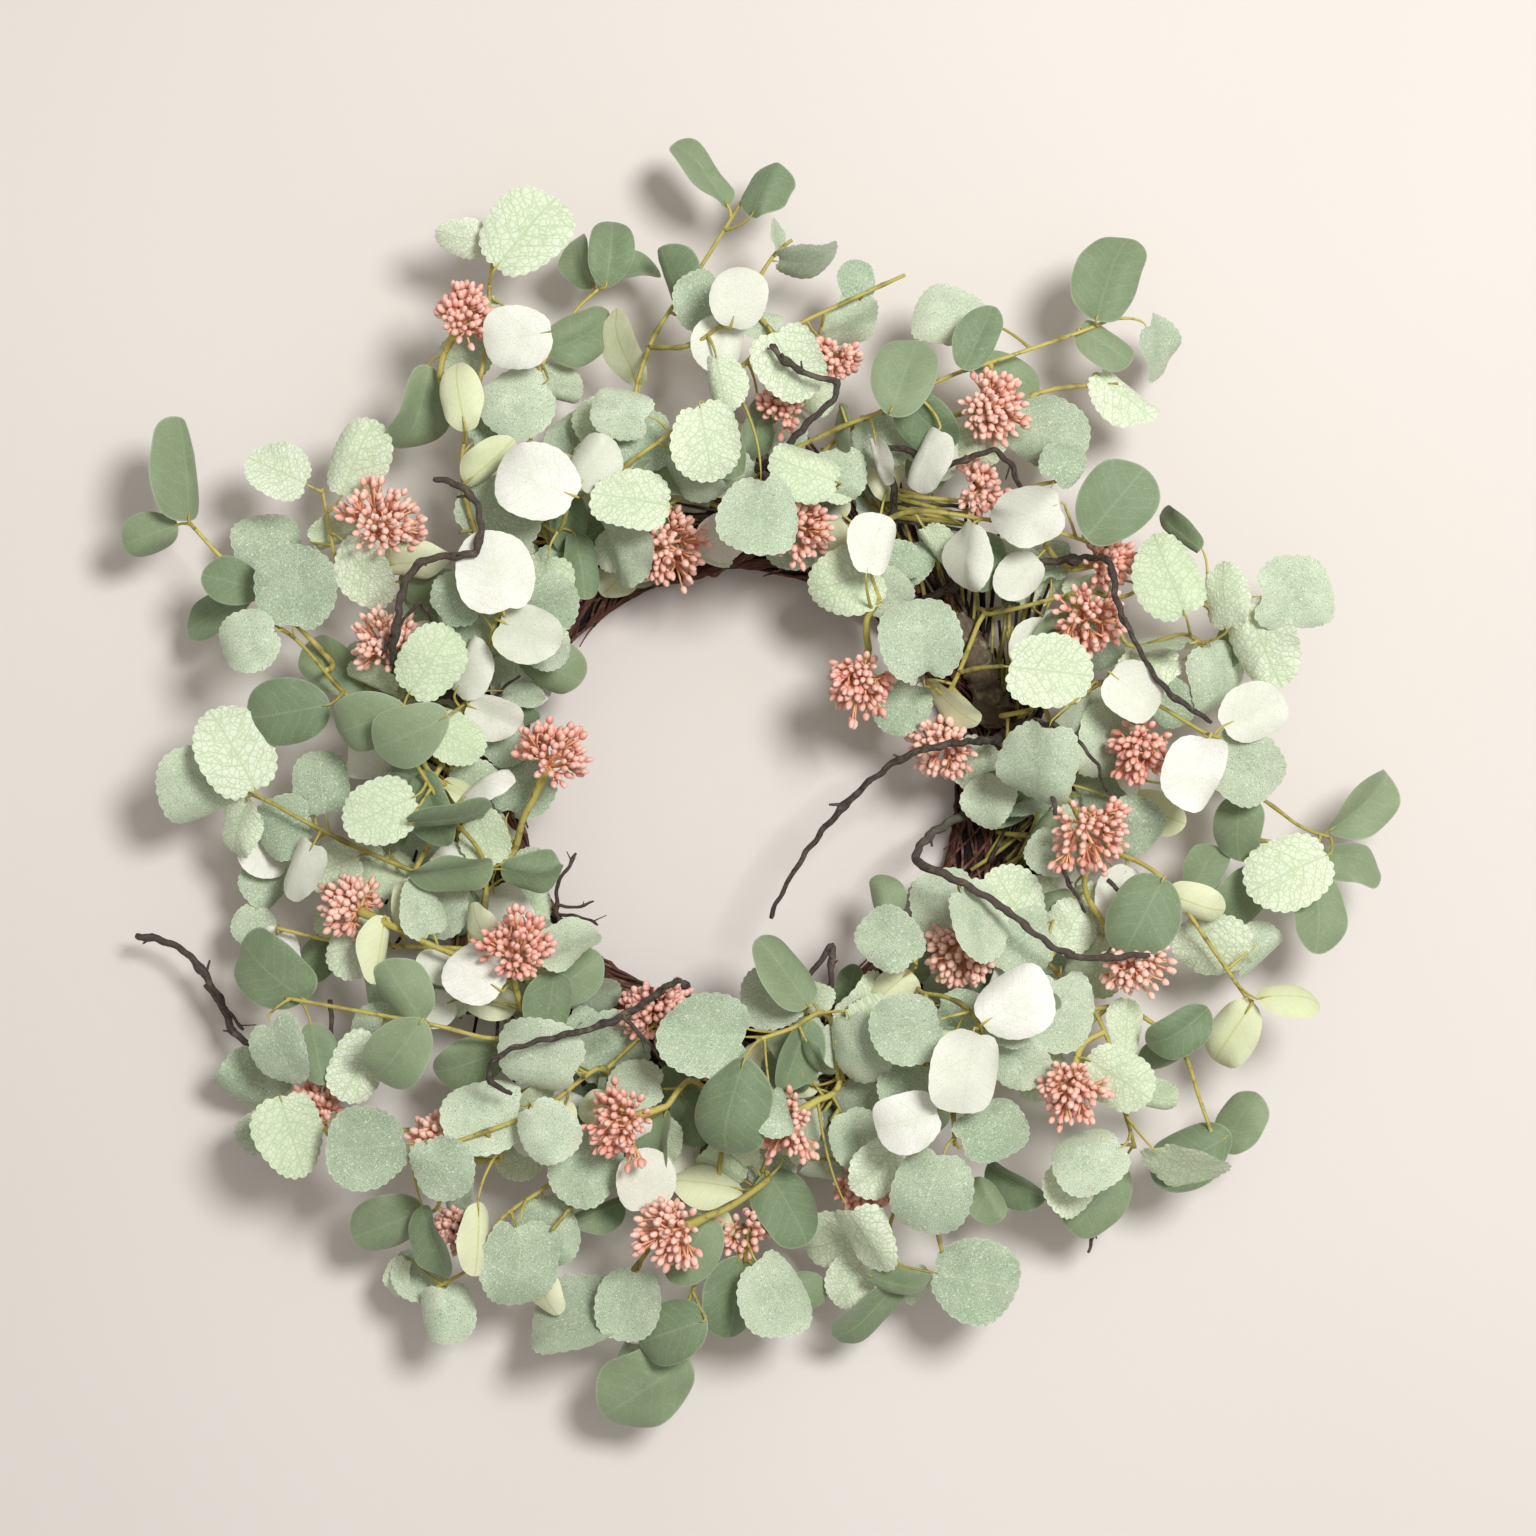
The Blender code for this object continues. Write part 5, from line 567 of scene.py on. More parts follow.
# Leaves that lie deep among the others, in the same form as above; each hangs on the stem
# that passes nearest. SMALL_LEAVES more are drawn along the stems.
DEEP_LEAVES = [
    ("S", 1235, 642, 250, 52, 30, 60), ("Y", 542, 1288, 290, 60, 45, 58),
    ("C", 1150, 664, 190, 66, 55, 60), ("C", 412, 902, 250, 52, 18, 56),
    ("W", 273, 957, 262, 64, 10, 42), ("S", 806, 1290, 340, 46, 10, 42),
    ("C", 850, 1280, 235, 60, 22, 46), ("F", 820, 1046, 255, 60, 45, 72),
    ("C", 1072, 925, 60, 62, 10, 58), ("C", 398, 1276, 250, 42, 40, 40),
    ("F", 380, 1032, 190, 62, 10, 60), ("W", 264, 850, 285, 60, 18, 44),
    ("F", 489, 430, 40, 50, 18, 58), ("F", 450, 1190, 280, 60, 30, 60),
    ("F", 376, 985, 280, 56, 20, 44), ("F", 262, 1132, 210, 52, 10, 40),
    ("S", 1172, 1055, 210, 62, 30, 58), ("C", 466, 356, 190, 56, 20, 60),
    ("S", 985, 1200, 300, 50, 20, 56),
]
SMALL_LEAVES = 340
SMALL_SIZE = (46, 74)  # plan units long
SMALL_DROP = (4, 22)  # mm under their stem
SMALL_KINDS = "SSSFFFFCCCYYWW"
SMALL_ZONE = (232, 395)  # plan units from the ring's middle
SMALL_TURN = (30, 95)  # degrees from the way that their stem runs
SMALL_ROLL = (0, 58)
SMALL_STALK = 0.006  # metres
SMALL_LOWEST = 20  # mm
SMALL_MOVE = 0.004
SMALL_TRIES = 6
BRANCH_BARE = 46  # plan units round the branch and small heads that stay free of small leaves

# Thin side twigs: radius in mm and points, the first on what carries it
SIDE_TWIGS = [
    (1.2, [(560, 930, 26), (556, 905, 34), (558, 880, 42), (570, 866, 44), (576, 853, 44)]),
    (0.9, [(556, 905, 34), (575, 908, 40), (594, 902, 42)]),
    (0.9, [(560, 915, 30), (580, 916, 36), (598, 925, 40)]),
    (1.0, [(450, 725, 40), (470, 712, 52), (492, 698, 56), (520, 675, 58)]),
    (1.2, [(330, 1000, 36), (332, 1040, 40), (326, 1075, 36), (330, 1100, 32)]),
    (1.3, [(1018, 722, 52), (1034, 720, 84), (1056, 726, 100), (1080, 742, 104), (1098, 765, 102),
           (1106, 792, 94)]),
    (1.1, [(622, 1015, 100), (636, 1030, 102), (650, 1044, 98), (665, 1062, 92)]),
    (1.2, [(1062, 868, 92), (1072, 888, 98), (1086, 912, 96)]),
    (1.2, [(1108, 880, 90), (1128, 898, 98), (1152, 918, 92)]),
    (1.3, [(1095, 1214, 46), (1094, 1234, 40), (1088, 1252, 34)]),
    (1.1, [(205, 985, 32), (216, 1000, 34), (232, 1016, 36), (244, 1030, 34)]),
    (1.0, [(458, 660, 60), (420, 600, 100), (388, 640, 98), (382, 655, 92)]),
]

# Small heads deep among the leaves: centre, width
SMALL_HEADS = [((458, 1230, 66), 50), ((745, 1230, 60), 60), ((980, 487, 70), 56),
               ((835, 355, 66), 50), ((782, 408, 62), 56), ((656, 1014, 62), 76)]

# Cut stems bound to the ring: where they start, the way they run in degrees, their count
STEM_ENDS = [((862, 1072, 40), 236, 9), ((905, 505, 44), 352, 8)]
BOUND_BUNDLES = 56
BUNDLE_STEMS = 9
ROW_SPACING = 0.0021
ROW_RISE = 0.12
ROW_UNEVEN = 0.0015
ROW_LEAN = 0.16
ROW_LENGTHS = (0.026, 0.040)
ROW_BEHIND = 0.010
ROW_BOW = 0.0008
ROW_RADII = (0.0009, 0.0013)
BOUND_HIGH = 0.010
BOUND_OUTWARD = (0.15, 1.1)
BOUND_RISE = (0.0, 0.35)
BOUND_ASIDE = (-0.002, 0.012)
BOUND_LEVELS = (-0.010, 0.008)
BOUND_LENGTHS = (0.045, 0.085)
BOUND_BEHIND = 0.02
BOUND_BOW = 0.004
BOUND_RADII = (0.0012, 0.0008)
# Some bound stems take the core's near-black finish: painted shade deep under the leaves
BOUND_FINISHES = ("green_stem", "green_stem", "vine_bark", "vine_core_painted_shade", "twig_bark")
PEAK_LIFT = 0.002
SIDE_TWIG_TAPER = 0.6
FULL_HEAD = 70  # a small head this wide is seen in full; the others are glimpses
FULL_TIPS = 26
GLIMPSE_TIPS = 9
HEAD_ROOT_LOW = 0.008  # its root, under its middle, and its stalk from below up to the root
HEAD_STALK = ((0.004, 0.004, 0.016), (0.001, 0.001, 0.006), (0, 0, 0))
HEAD_STALK_RADII = (0.0014, 0.0018, 0.0026)

# The floor, the light and the camera
FLOOR_HALF = 12.0
LAMPS = (("key", (0.62, 0.50, 2.0), 0.55, 36.5), ("fill", (0.5, 0.3, 2.4), 2.4, 7.0))  # place, size, watts
LAMP_COLOUR = (0.99, 1.0, 1.0)
AIR_COLOUR = (1.0, 0.96, 0.90, 1)
AIR_STRENGTH = 0.37
FILM_WIDTH = 36  # mm


def spot(x, y, height):
    """A plan point as a place in metres; its height is in millimetres."""
    z = height / 1000
    reach = PLAN_UNIT * (1 - (z - MID_HEIGHT) / EYE_HEIGHT)
    return np.array(((x - PLAN_CENTRE[0]) * reach, (PLAN_CENTRE[1] - y) * reach, z))


RING_HEIGHT = BUNDLE_RADIUS - BUNDLE_FLAT
RING_CENTRE = spot(*RING_PLAN, RING_HEIGHT * 1000)


def unit(vector):
    return vector / max(float(np.linalg.norm(vector)), 1e-9)


def smooth_path(points, step=STEM_STEP):
    """Points at even steps along a Catmull-Rom curve through the given points."""
    knots = np.array(points)
    padded = np.vstack([2 * knots[0] - knots[1], knots, 2 * knots[-1] - knots[-2]])
    t = np.linspace(0, 1, 12, endpoint=False)[:, None]
    pieces = []
    for a, b, c, d in zip(padded, padded[1:], padded[2:], padded[3:]):
        pieces.append(0.5 * (2 * b + (c - a) * t + (2 * a - 5 * b + 4 * c - d) * t**2
                             + (3 * b - a - 3 * c + d) * t**3))
    curve = np.vstack(pieces + [knots[-1:]])
    along = np.concatenate([[0], np.cumsum(np.linalg.norm(np.diff(curve, axis=0), axis=1))])
    count = max(3, int(round(along[-1] / step)) + 1)
    stops = np.linspace(0, along[-1], count)
    return np.column_stack([np.interp(stops, along, curve[:, k]) for k in range(3)])


def ring_offset(points):
    """Vectors from the middle line of the ring to the points."""
    flat = points[:, :2] - RING_CENTRE[:2]
    around = flat / np.maximum(np.linalg.norm(flat, axis=1, keepdims=True), 1e-9)
    line = np.column_stack([RING_CENTRE[:2] + around * RING_RADIUS, np.full(len(points), RING_HEIGHT)])
    return points - line


def push_off_ring(points, radius):
    """The points moved straight out until a tube of this radius clears the bundle."""
    offset = ring_offset(points)
    far = np.linalg.norm(offset, axis=1, keepdims=True)
    least = BUNDLE_RADIUS + STRAND_RELIEF + radius + SEAT_GAP
    return points + offset / np.maximum(far, 1e-9) * np.maximum(least - far, 0)


def root_point(clock, rise, radius):
    """A place against the bundle: clock turns from the top, rise from outside to the top."""
    turn = math.radians(90 - clock)
    outward = np.array((math.cos(turn), math.sin(turn), 0.0))
    lift = math.radians(rise)
    out = outward * math.cos(lift) + np.array((0, 0, math.sin(lift)))
    middle = RING_CENTRE + outward * RING_RADIUS
    return middle + out * (BUNDLE_RADIUS + STRAND_RELIEF * ROOT_SUNK + radius + SEAT_GAP)


def mesh_arrays(mesh):
    """The corners and triangles of a mesh."""
    points = np.empty(len(mesh.vertices) * 3)
    mesh.vertices.foreach_get("co", points)
    mesh.calc_loop_triangles()
    corners = np.empty(len(mesh.loop_triangles) * 3, dtype=np.int32)
    mesh.loop_triangles.foreach_get("vertices", corners)
    return points.reshape(-1, 3), corners.reshape(-1, 3)


def link(name, mesh, collection):
    thing = bpy.data.objects.new(name, mesh)
    collection.objects.link(thing)
    return thing


def section(sides):
    """A closed outline of unit size with this many sides, for a tube to follow."""
    curve = bpy.data.curves.new("section", "CURVE")
    spline = curve.splines.new("POLY")
    spline.points.add(sides - 1)
    for k, point in enumerate(spline.points):
        turn = math.tau * k / sides
        point.co = (math.cos(turn), math.sin(turn), 0, 1)
    spline.use_cyclic_u = True
    return link("section", curve, bpy.context.scene.collection)


def tube_mesh(name, points, radii, sides=TUBE_SIDES):
    """A closed mesh tube along the points, made as a bevelled curve with its caps welded."""
    outline = section(sides)
    curve = bpy.data.curves.new(name, "CURVE")
    curve.dimensions = "3D"
    curve.bevel_mode = "OBJECT"
    curve.bevel_object = outline
    curve.use_fill_caps = True
    spline = curve.splines.new("POLY")
    spline.points.add(len(points) - 1)
    spline.points.foreach_set("co", np.column_stack([points, np.ones(len(points))]).ravel())
    spline.points.foreach_set("radius", radii * math.sqrt(1 / math.cos(math.pi / sides)))
    holder = link(name, curve, bpy.context.scene.collection)
    bpy.context.view_layer.update()
    depsgraph = bpy.context.evaluated_depsgraph_get()
    mesh = bpy.data.meshes.new_from_object(holder.evaluated_get(depsgraph))
    for thing in (holder, outline):
        data = thing.data
        bpy.data.objects.remove(thing)
        bpy.data.curves.remove(data)
    shape = bmesh.new()
    shape.from_mesh(mesh)
    bmesh.ops.remove_doubles(shape, verts=shape.verts, dist=0.00002)
    bmesh.ops.recalc_face_normals(shape, faces=shape.faces)
    shape.to_mesh(mesh)
    shape.free()
    return mesh


def kept_points(points, slack=TUBE_SLACK):
    """Which points of a path a tube needs to stay this close to it: ends, then the farthest."""
    kept = [0, len(points) - 1]
    while True:
        worst, where = slack, None
        for a, b in zip(kept, kept[1:]):
            if b - a < 2:
                continue
            chord = points[b] - points[a]
            inner = points[a + 1 : b] - points[a]
            share = np.clip(inner @ chord / (chord @ chord), 0, 1)[:, None]
            off = np.linalg.norm(inner - share * chord, axis=1)
            if off.max() > worst:
                worst, where = off.max(), a + 1 + int(off.argmax())
        if where is None:
            return kept
        kept = sorted(kept + [where])


class Branch:
    """A stem, a bough or a berry stem of one spray, as points at even steps."""

    def __init__(self, node, points, root_radius, tip_radius, parent=None, socket=False):
        self.node = node
        self.points = points
        self.parent = parent
        self.socket = socket
        share = np.linspace(0, 1, len(points))
        self.radii = root_radius + (tip_radius - root_radius) * share
        if socket:
            flare = np.clip((share - SOCKET_FROM) / (1 - SOCKET_FROM), 0, 1) ** 1.5
            self.radii = self.radii + (SOCKET_RADIUS - self.radii) * flare
        self.hold = None
        self.neck = min(int(len(points) * SOCKET_FROM), len(points) - 2)
        self.chords = None

    def settle(self):
        """Keeps only the points that its tube needs, the first on its parent's middle line."""
        if self.parent is not None:
            self.points[0] = self.parent.chord_places(self.points[0])[0]
        kept = kept_points(self.points)
        if self.socket:
            kept = [k for k in kept if k < self.neck] + [self.neck, len(self.points) - 1]
        self.chords = (self.points[kept], self.radii[kept])

    def chord_places(self, place, along=None):
        """The best place on its middle line to reach a given one from, off its corners.

        It is the nearest, but a blade likes one that lies behind its base along it.
        """
        points = self.chords[0]
        start, chord = points[:-1], np.diff(points, axis=0)
        size = np.linalg.norm(chord, axis=1)
        low = np.minimum(HOLD_MARGIN / size, HOLD_END)
        high = 1 - low
        if self.socket and len(size) > 1:
            high[-1] = low[-1]
        share = low[:, None] + (high - low)[:, None] * np.linspace(0, 1, HOLD_STOPS)
        spots = (start[:, None, :] + share[:, :, None] * chord[:, None, :]).reshape(-1, 3)
        way = place - spots
        far = np.linalg.norm(way, axis=1)
        cost = far
        if along is not None:
            cost = far * (BLADE_BEHIND - (way @ along) / np.maximum(far, 1e-6))
        index = int(cost.argmin())
        return spots[index], cost[index], self.chords[1][index // HOLD_STOPS]

    def nearest(self, place, along):
        """Where a blade with its base at this place starts inside the stem, and its cost."""
        middle, cost, radius = self.chord_places(place, along)
        return middle - unit(place - middle) * radius * HOLD_SUNK, cost

    def hang(self):
        """Its first point stays on the stem that it grows from."""
        if self.parent is not None:
            self.points[0] = self.parent.points[self.hold]


def nearest_index(points, place, share=1.0):
    last = max(2, int(len(points) * share))
    return int(np.argmin(np.linalg.norm(points[:last] - place, axis=1)))


def grow_sprays():
    """Every spray's branches and berry places, before they are pushed clear."""
    nodes, heads = {}, []
    names = sorted(SPRAYS, key=lambda name: "joins" in SPRAYS[name])
    for name in names:
        plan = SPRAYS[name]
        node = plan.get("joins", name)
        own = nodes.setdefault(node, [])
        places = [spot(*point) for point in plan["stem"]]
        if "joins" in plan:
            host = own[0]
            hold = nearest_index(host.points, places[0], 0.7)
            stem = Branch(node, smooth_path([host.points[hold]] + places), STEM_RADIUS,
                          STEM_TIP_RADIUS, host)
            stem.hold = hold
        else:
            start = root_point(*plan["root"], STEM_RADIUS)
            stem = Branch(node, smooth_path([start] + places), STEM_RADIUS, STEM_TIP_RADIUS)
        own.append(stem)
        for bough in plan["boughs"]:
            own.append(side_branch(node, stem, bough, False))
        for bough, centre, width, depth in plan["berries"]:
            stalk = side_branch(node, stem, bough, True)
            own.append(stalk)
            heads.append((stalk, spot(*centre), width * PLAN_UNIT, depth * PLAN_UNIT))
    return nodes, heads


def side_branch(node, stem, bough, socket):
    places = [spot(*point) for point in bough]
    hold = nearest_index(stem.points, places[0])
    root_radius = STEM_RADIUS if not socket else STEM_RADIUS * STALK_ROOT
    branch = Branch(node, smooth_path([stem.points[hold]] + places), root_radius,
                    STEM_TIP_RADIUS if not socket else STEM_RADIUS * STALK_NECK, stem, socket)
    branch.hold = hold
    return branch


def head_axis(stalk, centre):
    """The way a berry head faces, in line with the socket at the end of its stalk."""
    return unit(centre - stalk.points[stalk.neck])


def dense(points, radii, step=0.003):
    """More points along a coarse path, with their radii, for things to be kept clear of."""
    along = np.concatenate([[0], np.cumsum(np.linalg.norm(np.diff(points, axis=0), axis=1))])
    stops = np.linspace(0, along[-1], int(along[-1] / step) + 2)
    places = np.column_stack([np.interp(stops, along, points[:, k]) for k in range(3)])
    return places, np.interp(stops, along, radii)


def part_stems(branches, heads, fixed_points, fixed_radii, rounds=90):
    """Stems are pushed off other sprays' stems, the ring, twigs and berry heads, bit by bit."""
    node_names = sorted({branch.node for branch in branches})
    owner = np.concatenate([np.full(len(b.points), node_names.index(b.node)) for b in branches])
    radii = np.concatenate([b.radii for b in branches])
    stops = np.cumsum([0] + [len(b.points) for b in branches])
    rooted = np.zeros(stops[-1], dtype=bool)
    for k, branch in enumerate(branches):
        if branch.parent is None:
            rooted[stops[k]] = True
    slack = STEM_STEP * 0.5
    for _ in range(rounds):
        points = np.vstack([b.points for b in branches])
        shift = np.zeros_like(points)
        gap = points[:, None, :] - points[None, :, :]
        far = np.sqrt((gap**2).sum(axis=2)) + 1e-9
        least = radii[:, None] + radii[None, :] + STEM_CLEAR
        near = np.sqrt(least**2 + slack**2)
        short = np.where(owner[:, None] != owner[None, :], np.maximum(near - far, 0), 0)
        shift += (gap / far[:, :, None] * (short * 0.5)[:, :, None]).sum(axis=1)
        gap = points[:, None, :] - fixed_points[None, :, :]
        far = np.sqrt((gap**2).sum(axis=2)) + 1e-9
        least = radii[:, None] + fixed_radii[None, :] + STEM_CLEAR
        short = np.maximum(np.sqrt(least**2 + slack**2) - far, 0)
        shift += (gap / far[:, :, None] * short[:, :, None]).sum(axis=1)
        for stalk, centre, width, depth in heads:
            k = branches.index(stalk)
            axis = head_axis(stalk, centre)
            thick = (depth * HEAD_MIDDLE, width * HEAD_GIRTH)
            for along, size in ((CORE_RADIUS + HEAD_GAP, CORE_RADIUS), thick):
                gap = points - (stalk.points[-1] + axis * along)
                far = np.linalg.norm(gap, axis=1) + 1e-9
                short = np.maximum(size + radii + STEM_CLEAR - far, 0) * HEAD_PUSH
                short[stops[k] : stops[k + 1]] = 0
                shift += gap / far[:, None] * short[:, None]
                gap = stalk.points[-1] + axis * along - fixed_points
                far = np.linalg.norm(gap, axis=1) + 1e-9
                short = np.maximum(size + fixed_radii + STEM_CLEAR - far, 0)
                push = (gap / far[:, None] * short[:, None]).sum(axis=0)
                push *= min(1, TWIG_PUSH / max(np.linalg.norm(push), 1e-9))
                shift[stops[k + 1] - 3 : stops[k + 1]] += push
                centre += push * 0.5
        shift[rooted] = 0
        for k, branch in enumerate(branches):
            part = shift[stops[k] : stops[k + 1]]
            blend = part.copy()
            blend[1:-1] = 0.25 * part[:-2] + 0.5 * part[1:-1] + 0.25 * part[2:]
            size = np.linalg.norm(blend, axis=1, keepdims=True)
            blend = blend * np.minimum(1, STEM_PUSH / np.maximum(size, 1e-9))
            start = 1 if branch.parent is None else 0
            branch.points[start:] += blend[start:]
            moved = push_off_ring(branch.points, branch.radii[:, None])
            moved[:, 2] = np.maximum(moved[:, 2], FLOOR_GAP + branch.radii)
            branch.points[start:] = moved[start:]
            branch.hang()


def slab_points(surface, normals, half):
    """Both faces of a blade: its surface points moved up and down by half its thickness."""
    return np.vstack([surface + normals * half, surface - normals * half])


def slab_faces(count):
    """Triangles of a blade from its rim points: across at the stem, then a fan from its tip."""
    rim = np.arange(count)
    after = np.roll(rim, -1)
    tip = count // 2
    last = count - 1
    fan = [(0, 1, last), (1, tip, last)]
    fan += [(tip, a, a + 1) for a in range(1, tip - 1)]
    fan += [(tip, a, a + 1) for a in range(tip + 1, last)]
    top = np.array(fan)
    bottom = top[:, ::-1] + count
    side = np.column_stack([rim, rim + count, after])
    rest = np.column_stack([after, rim + count, after + count])
    return np.vstack([top, bottom, side, rest])


class Leaf:
    """One leaf: its own values from the layout, and small draws that bend it."""

    def __init__(self, node, row, draw):
        self.node = node
        self.kind, x, y, heading, length, roll, height = row
        self.centre = spot(x, y, height)
        self.heading = math.radians(heading)
        self.length = length * PLAN_UNIT
        self.roll = math.radians(roll) * draw.choice((-1, 1))
        self.pitch = math.radians(draw.uniform(*PITCHES))
        ratio, fold, curl, cup = LEAF_SHAPES[self.kind]
        self.width = self.length * ratio
        self.fold = fold * draw.uniform(*FOLDS)
        self.curl = curl * draw.uniform(*CURLS)
        self.cup = cup * draw.uniform(*CUPS)
        self.twist = draw.uniform(*TWISTS_OF_BLADE)
        self.facing = draw.choice((-1, 1)) if self.kind in "SY" else 1
        self.hold = None

    def frame(self):
        """The blade's lengthwise, sideways and outward directions."""
        level, lift = math.cos(self.pitch), math.sin(self.pitch)
        along = np.array((math.cos(self.heading) * level, math.sin(self.heading) * level, lift))
        side = np.array((-math.sin(self.heading), math.cos(self.heading), 0.0))
        out = np.cross(along, side)
        turned = side * math.cos(self.roll) + out * math.sin(self.roll)
        return along, turned, np.cross(along, turned)

    def warp(self, u, v):
        """How far the blade stands out of its plane at u along it and v across it."""
        return (-self.fold * np.abs(v) * self.width - self.curl * (u - 0.5) ** 2 * self.length
                + self.cup * v**2 * self.width + self.twist * (u - 0.5) * v * self.width * 2)

    def at(self, u, v):
        """Places on the blade; u runs from 0 at its base to 1, v across from -0.5 to 0.5."""
        along, side, out = self.frame()
        return (self.centre + np.outer((u - 0.5) * self.length, along)
                + np.outer(v * self.width, side) + np.outer(self.warp(u, v), out))

    def base(self):
        return self.at(np.array([0.0]), np.array([0.0]))[0]

    def surface(self, grow=1.0):
        """The rim of the blade, from its point in the stem round to the stem again.

        With it come the ways that its thickness lies: square to the stalk at the stem.
        """
        along, side, out = self.frame()
        u, v = RIMS["pointed" if self.kind in "SY" else "round"]
        points = self.at((u - 0.5) * grow + 0.5, v * grow)
        normals = np.tile(out, (len(u), 1))
        base = self.base()
        stalk = base - self.hold
        reach = np.linalg.norm(stalk)
        necked = reach > NECK_FROM and stalk @ along > LEAN_BACK * reach
        way = unit((base if necked else (points[0] + points[-1]) / 2) - self.hold)
        across = np.cross(out, way)
        across = unit(across) if np.linalg.norm(across) > LEAST_ACROSS else side
        across = across if across @ side > 0 else -across
        stalk_out = np.cross(way, across)
        if necked:
            half = across * NECK_WIDTH / 2
            points = np.vstack([base - half, points, base + half])
            bend = unit(stalk_out + out)
            bend = bend / max(bend @ out, LEAST_BEND)
            normals = np.vstack([bend, normals, bend])
        return np.vstack([self.hold, points]), np.vstack([stalk_out, normals])

    def slab(self, clear=0.0):
        surface, normals = self.surface(1.0 + clear * CLEAR_GROWTH)
        return slab_points(surface, normals, BLADE_THICKNESS / 2 + clear), slab_faces(len(surface))


class Crowd:
    """What a new blade has to stay clear of, with a box round each thing."""

    def __init__(self):
        self.owners, self.low, self.high, self.trees = [], [], [], []

    def add(self, owner, points, faces):
        self.owners.append(owner)
        self.low.append(points.min(axis=0))
        self.high.append(points.max(axis=0))
        self.trees.append(BVHTree.FromPolygons(points.tolist(), faces.tolist()))

    def hits(self, points, faces, skip=()):
        low, high = points.min(axis=0), points.max(axis=0)
        near = np.all(np.array(self.low) < high, axis=1) & np.all(np.array(self.high) > low, axis=1)
        tree = None
        for index in np.nonzero(near)[0]:
            if self.owners[index] in skip:
                continue
            if tree is None:
                tree = BVHTree.FromPolygons(points.tolist(), faces.tolist())
            if tree.overlap(self.trees[index]):
                return True
        return False


def place_leaf(leaf, branches, crowd, draw, skip, wide):
    """Turns and moves a blade a little until it is clear of all else; False if it can't be."""
    start = (leaf.centre.copy(), leaf.heading, leaf.pitch, leaf.roll, leaf.length, leaf.width)
    for attempt in range(TRIES):
        reach = wide * attempt / TRIES
        centre, heading, pitch, roll, length, width = start
        leaf.centre = centre + np.array((draw.uniform(-1, 1) * MOVE_LEVEL * reach,
                                         draw.uniform(-1, 1) * MOVE_LEVEL * reach,
                                         draw.uniform(-1, 1) * MOVE_UP * min(wide, reach * 1.5)))
        leaf.heading = heading + draw.uniform(-1, 1) * TURN_HEADING * reach
        leaf.pitch = pitch + draw.uniform(-1, 1) * TURN_PITCH * reach
        leaf.roll = roll + draw.uniform(-1, 1) * TURN_ROLL * reach
        shrink = 1 - SHRINK * reach * draw.random()
        leaf.length, leaf.width = length * shrink, width * shrink
        base = leaf.base()
        along = leaf.frame()[0]
        holds = [branch.nearest(base, along) for branch in branches]
        leaf.hold = min(holds, key=lambda item: item[1])[0]
        points, faces = leaf.slab(CLEAR)
        if points[:, 2].min() < FLOOR_GAP:
            continue
        if crowd.hits(points, faces, skip):
            continue
        return True
    leaf.centre, leaf.heading, leaf.pitch, leaf.roll, leaf.length, leaf.width = start
    return False


def ring_mesh():
    """The bundle: a torus with twisted strand ridges, pressed flat where it lies."""
    bpy.ops.mesh.primitive_torus_add(major_segments=RING_STEPS, minor_segments=RING_SIDES,
                                     major_radius=RING_RADIUS, minor_radius=BUNDLE_RADIUS)
    thing = bpy.context.object
    mesh = thing.data
    points, _ = mesh_arrays(mesh)
    round_angle = np.arctan2(points[:, 1], points[:, 0])
    far = np.linalg.norm(points[:, :2], axis=1) - RING_RADIUS
    side_angle = np.arctan2(points[:, 2], far)
    ridge = BUNDLE_RADIUS + STRAND_RELIEF * np.cos(STRANDS * side_angle + TWISTS * round_angle)
    ridge += BUNDLE_WAVE * np.sin(WAVES * round_angle + WAVE_START) * np.sin(side_angle)
    out = RING_RADIUS + ridge * np.cos(side_angle)
    points[:, 0] = out * np.cos(round_angle)
    points[:, 1] = out * np.sin(round_angle)
    points[:, 2] = ridge * np.sin(side_angle)
    points += RING_CENTRE
    points[:, 2] = np.maximum(points[:, 2], 0)
    mesh.vertices.foreach_set("co", points.ravel())
    bpy.data.objects.remove(thing)
    return mesh


def ring_place(turn, angle, far):
    """Places so far from the bundle's middle line, at a turn round the ring and an angle on it."""
    out = RING_RADIUS + far * np.cos(angle)
    return RING_CENTRE + np.column_stack([out * np.cos(turn), out * np.sin(turn), far * np.sin(angle)])


def loose_vine_path():
    """A strand that weaves from the outer to the inner side of the bundle, over its top."""
    turn = np.linspace(VINE_FROM, VINE_FROM + math.tau * VINE_TURNS, VINE_STOPS)
    side = np.radians(90 + VINE_SWING * np.sin(turn * VINE_SWINGS + VINE_SHIFT))
    far = BUNDLE_RADIUS + STRAND_RELIEF + BUNDLE_WAVE + LOOSE_VINE_RADIUS + SEAT_GAP
    return ring_place(turn, side, far)


def free_stretch(path, others, other_radii):
    """The longest stretch of the loose strand with no root or twig in its way."""
    places = dense(path, np.full(len(path), LOOSE_VINE_RADIUS), VINE_STEP)[0]
    far = np.linalg.norm(places[:, None, :] - others[None, :, :], axis=2) - other_radii
    free = np.concatenate([[False], far.min(axis=1) > LOOSE_VINE_RADIUS + VINE_CLEAR, [False]])
    turns = np.flatnonzero(free[1:] != free[:-1])
    starts, ends = turns[::2], turns[1::2]
    best = int(np.argmax(ends - starts))
    return places[starts[best] : ends[best] : VINE_KEEP]


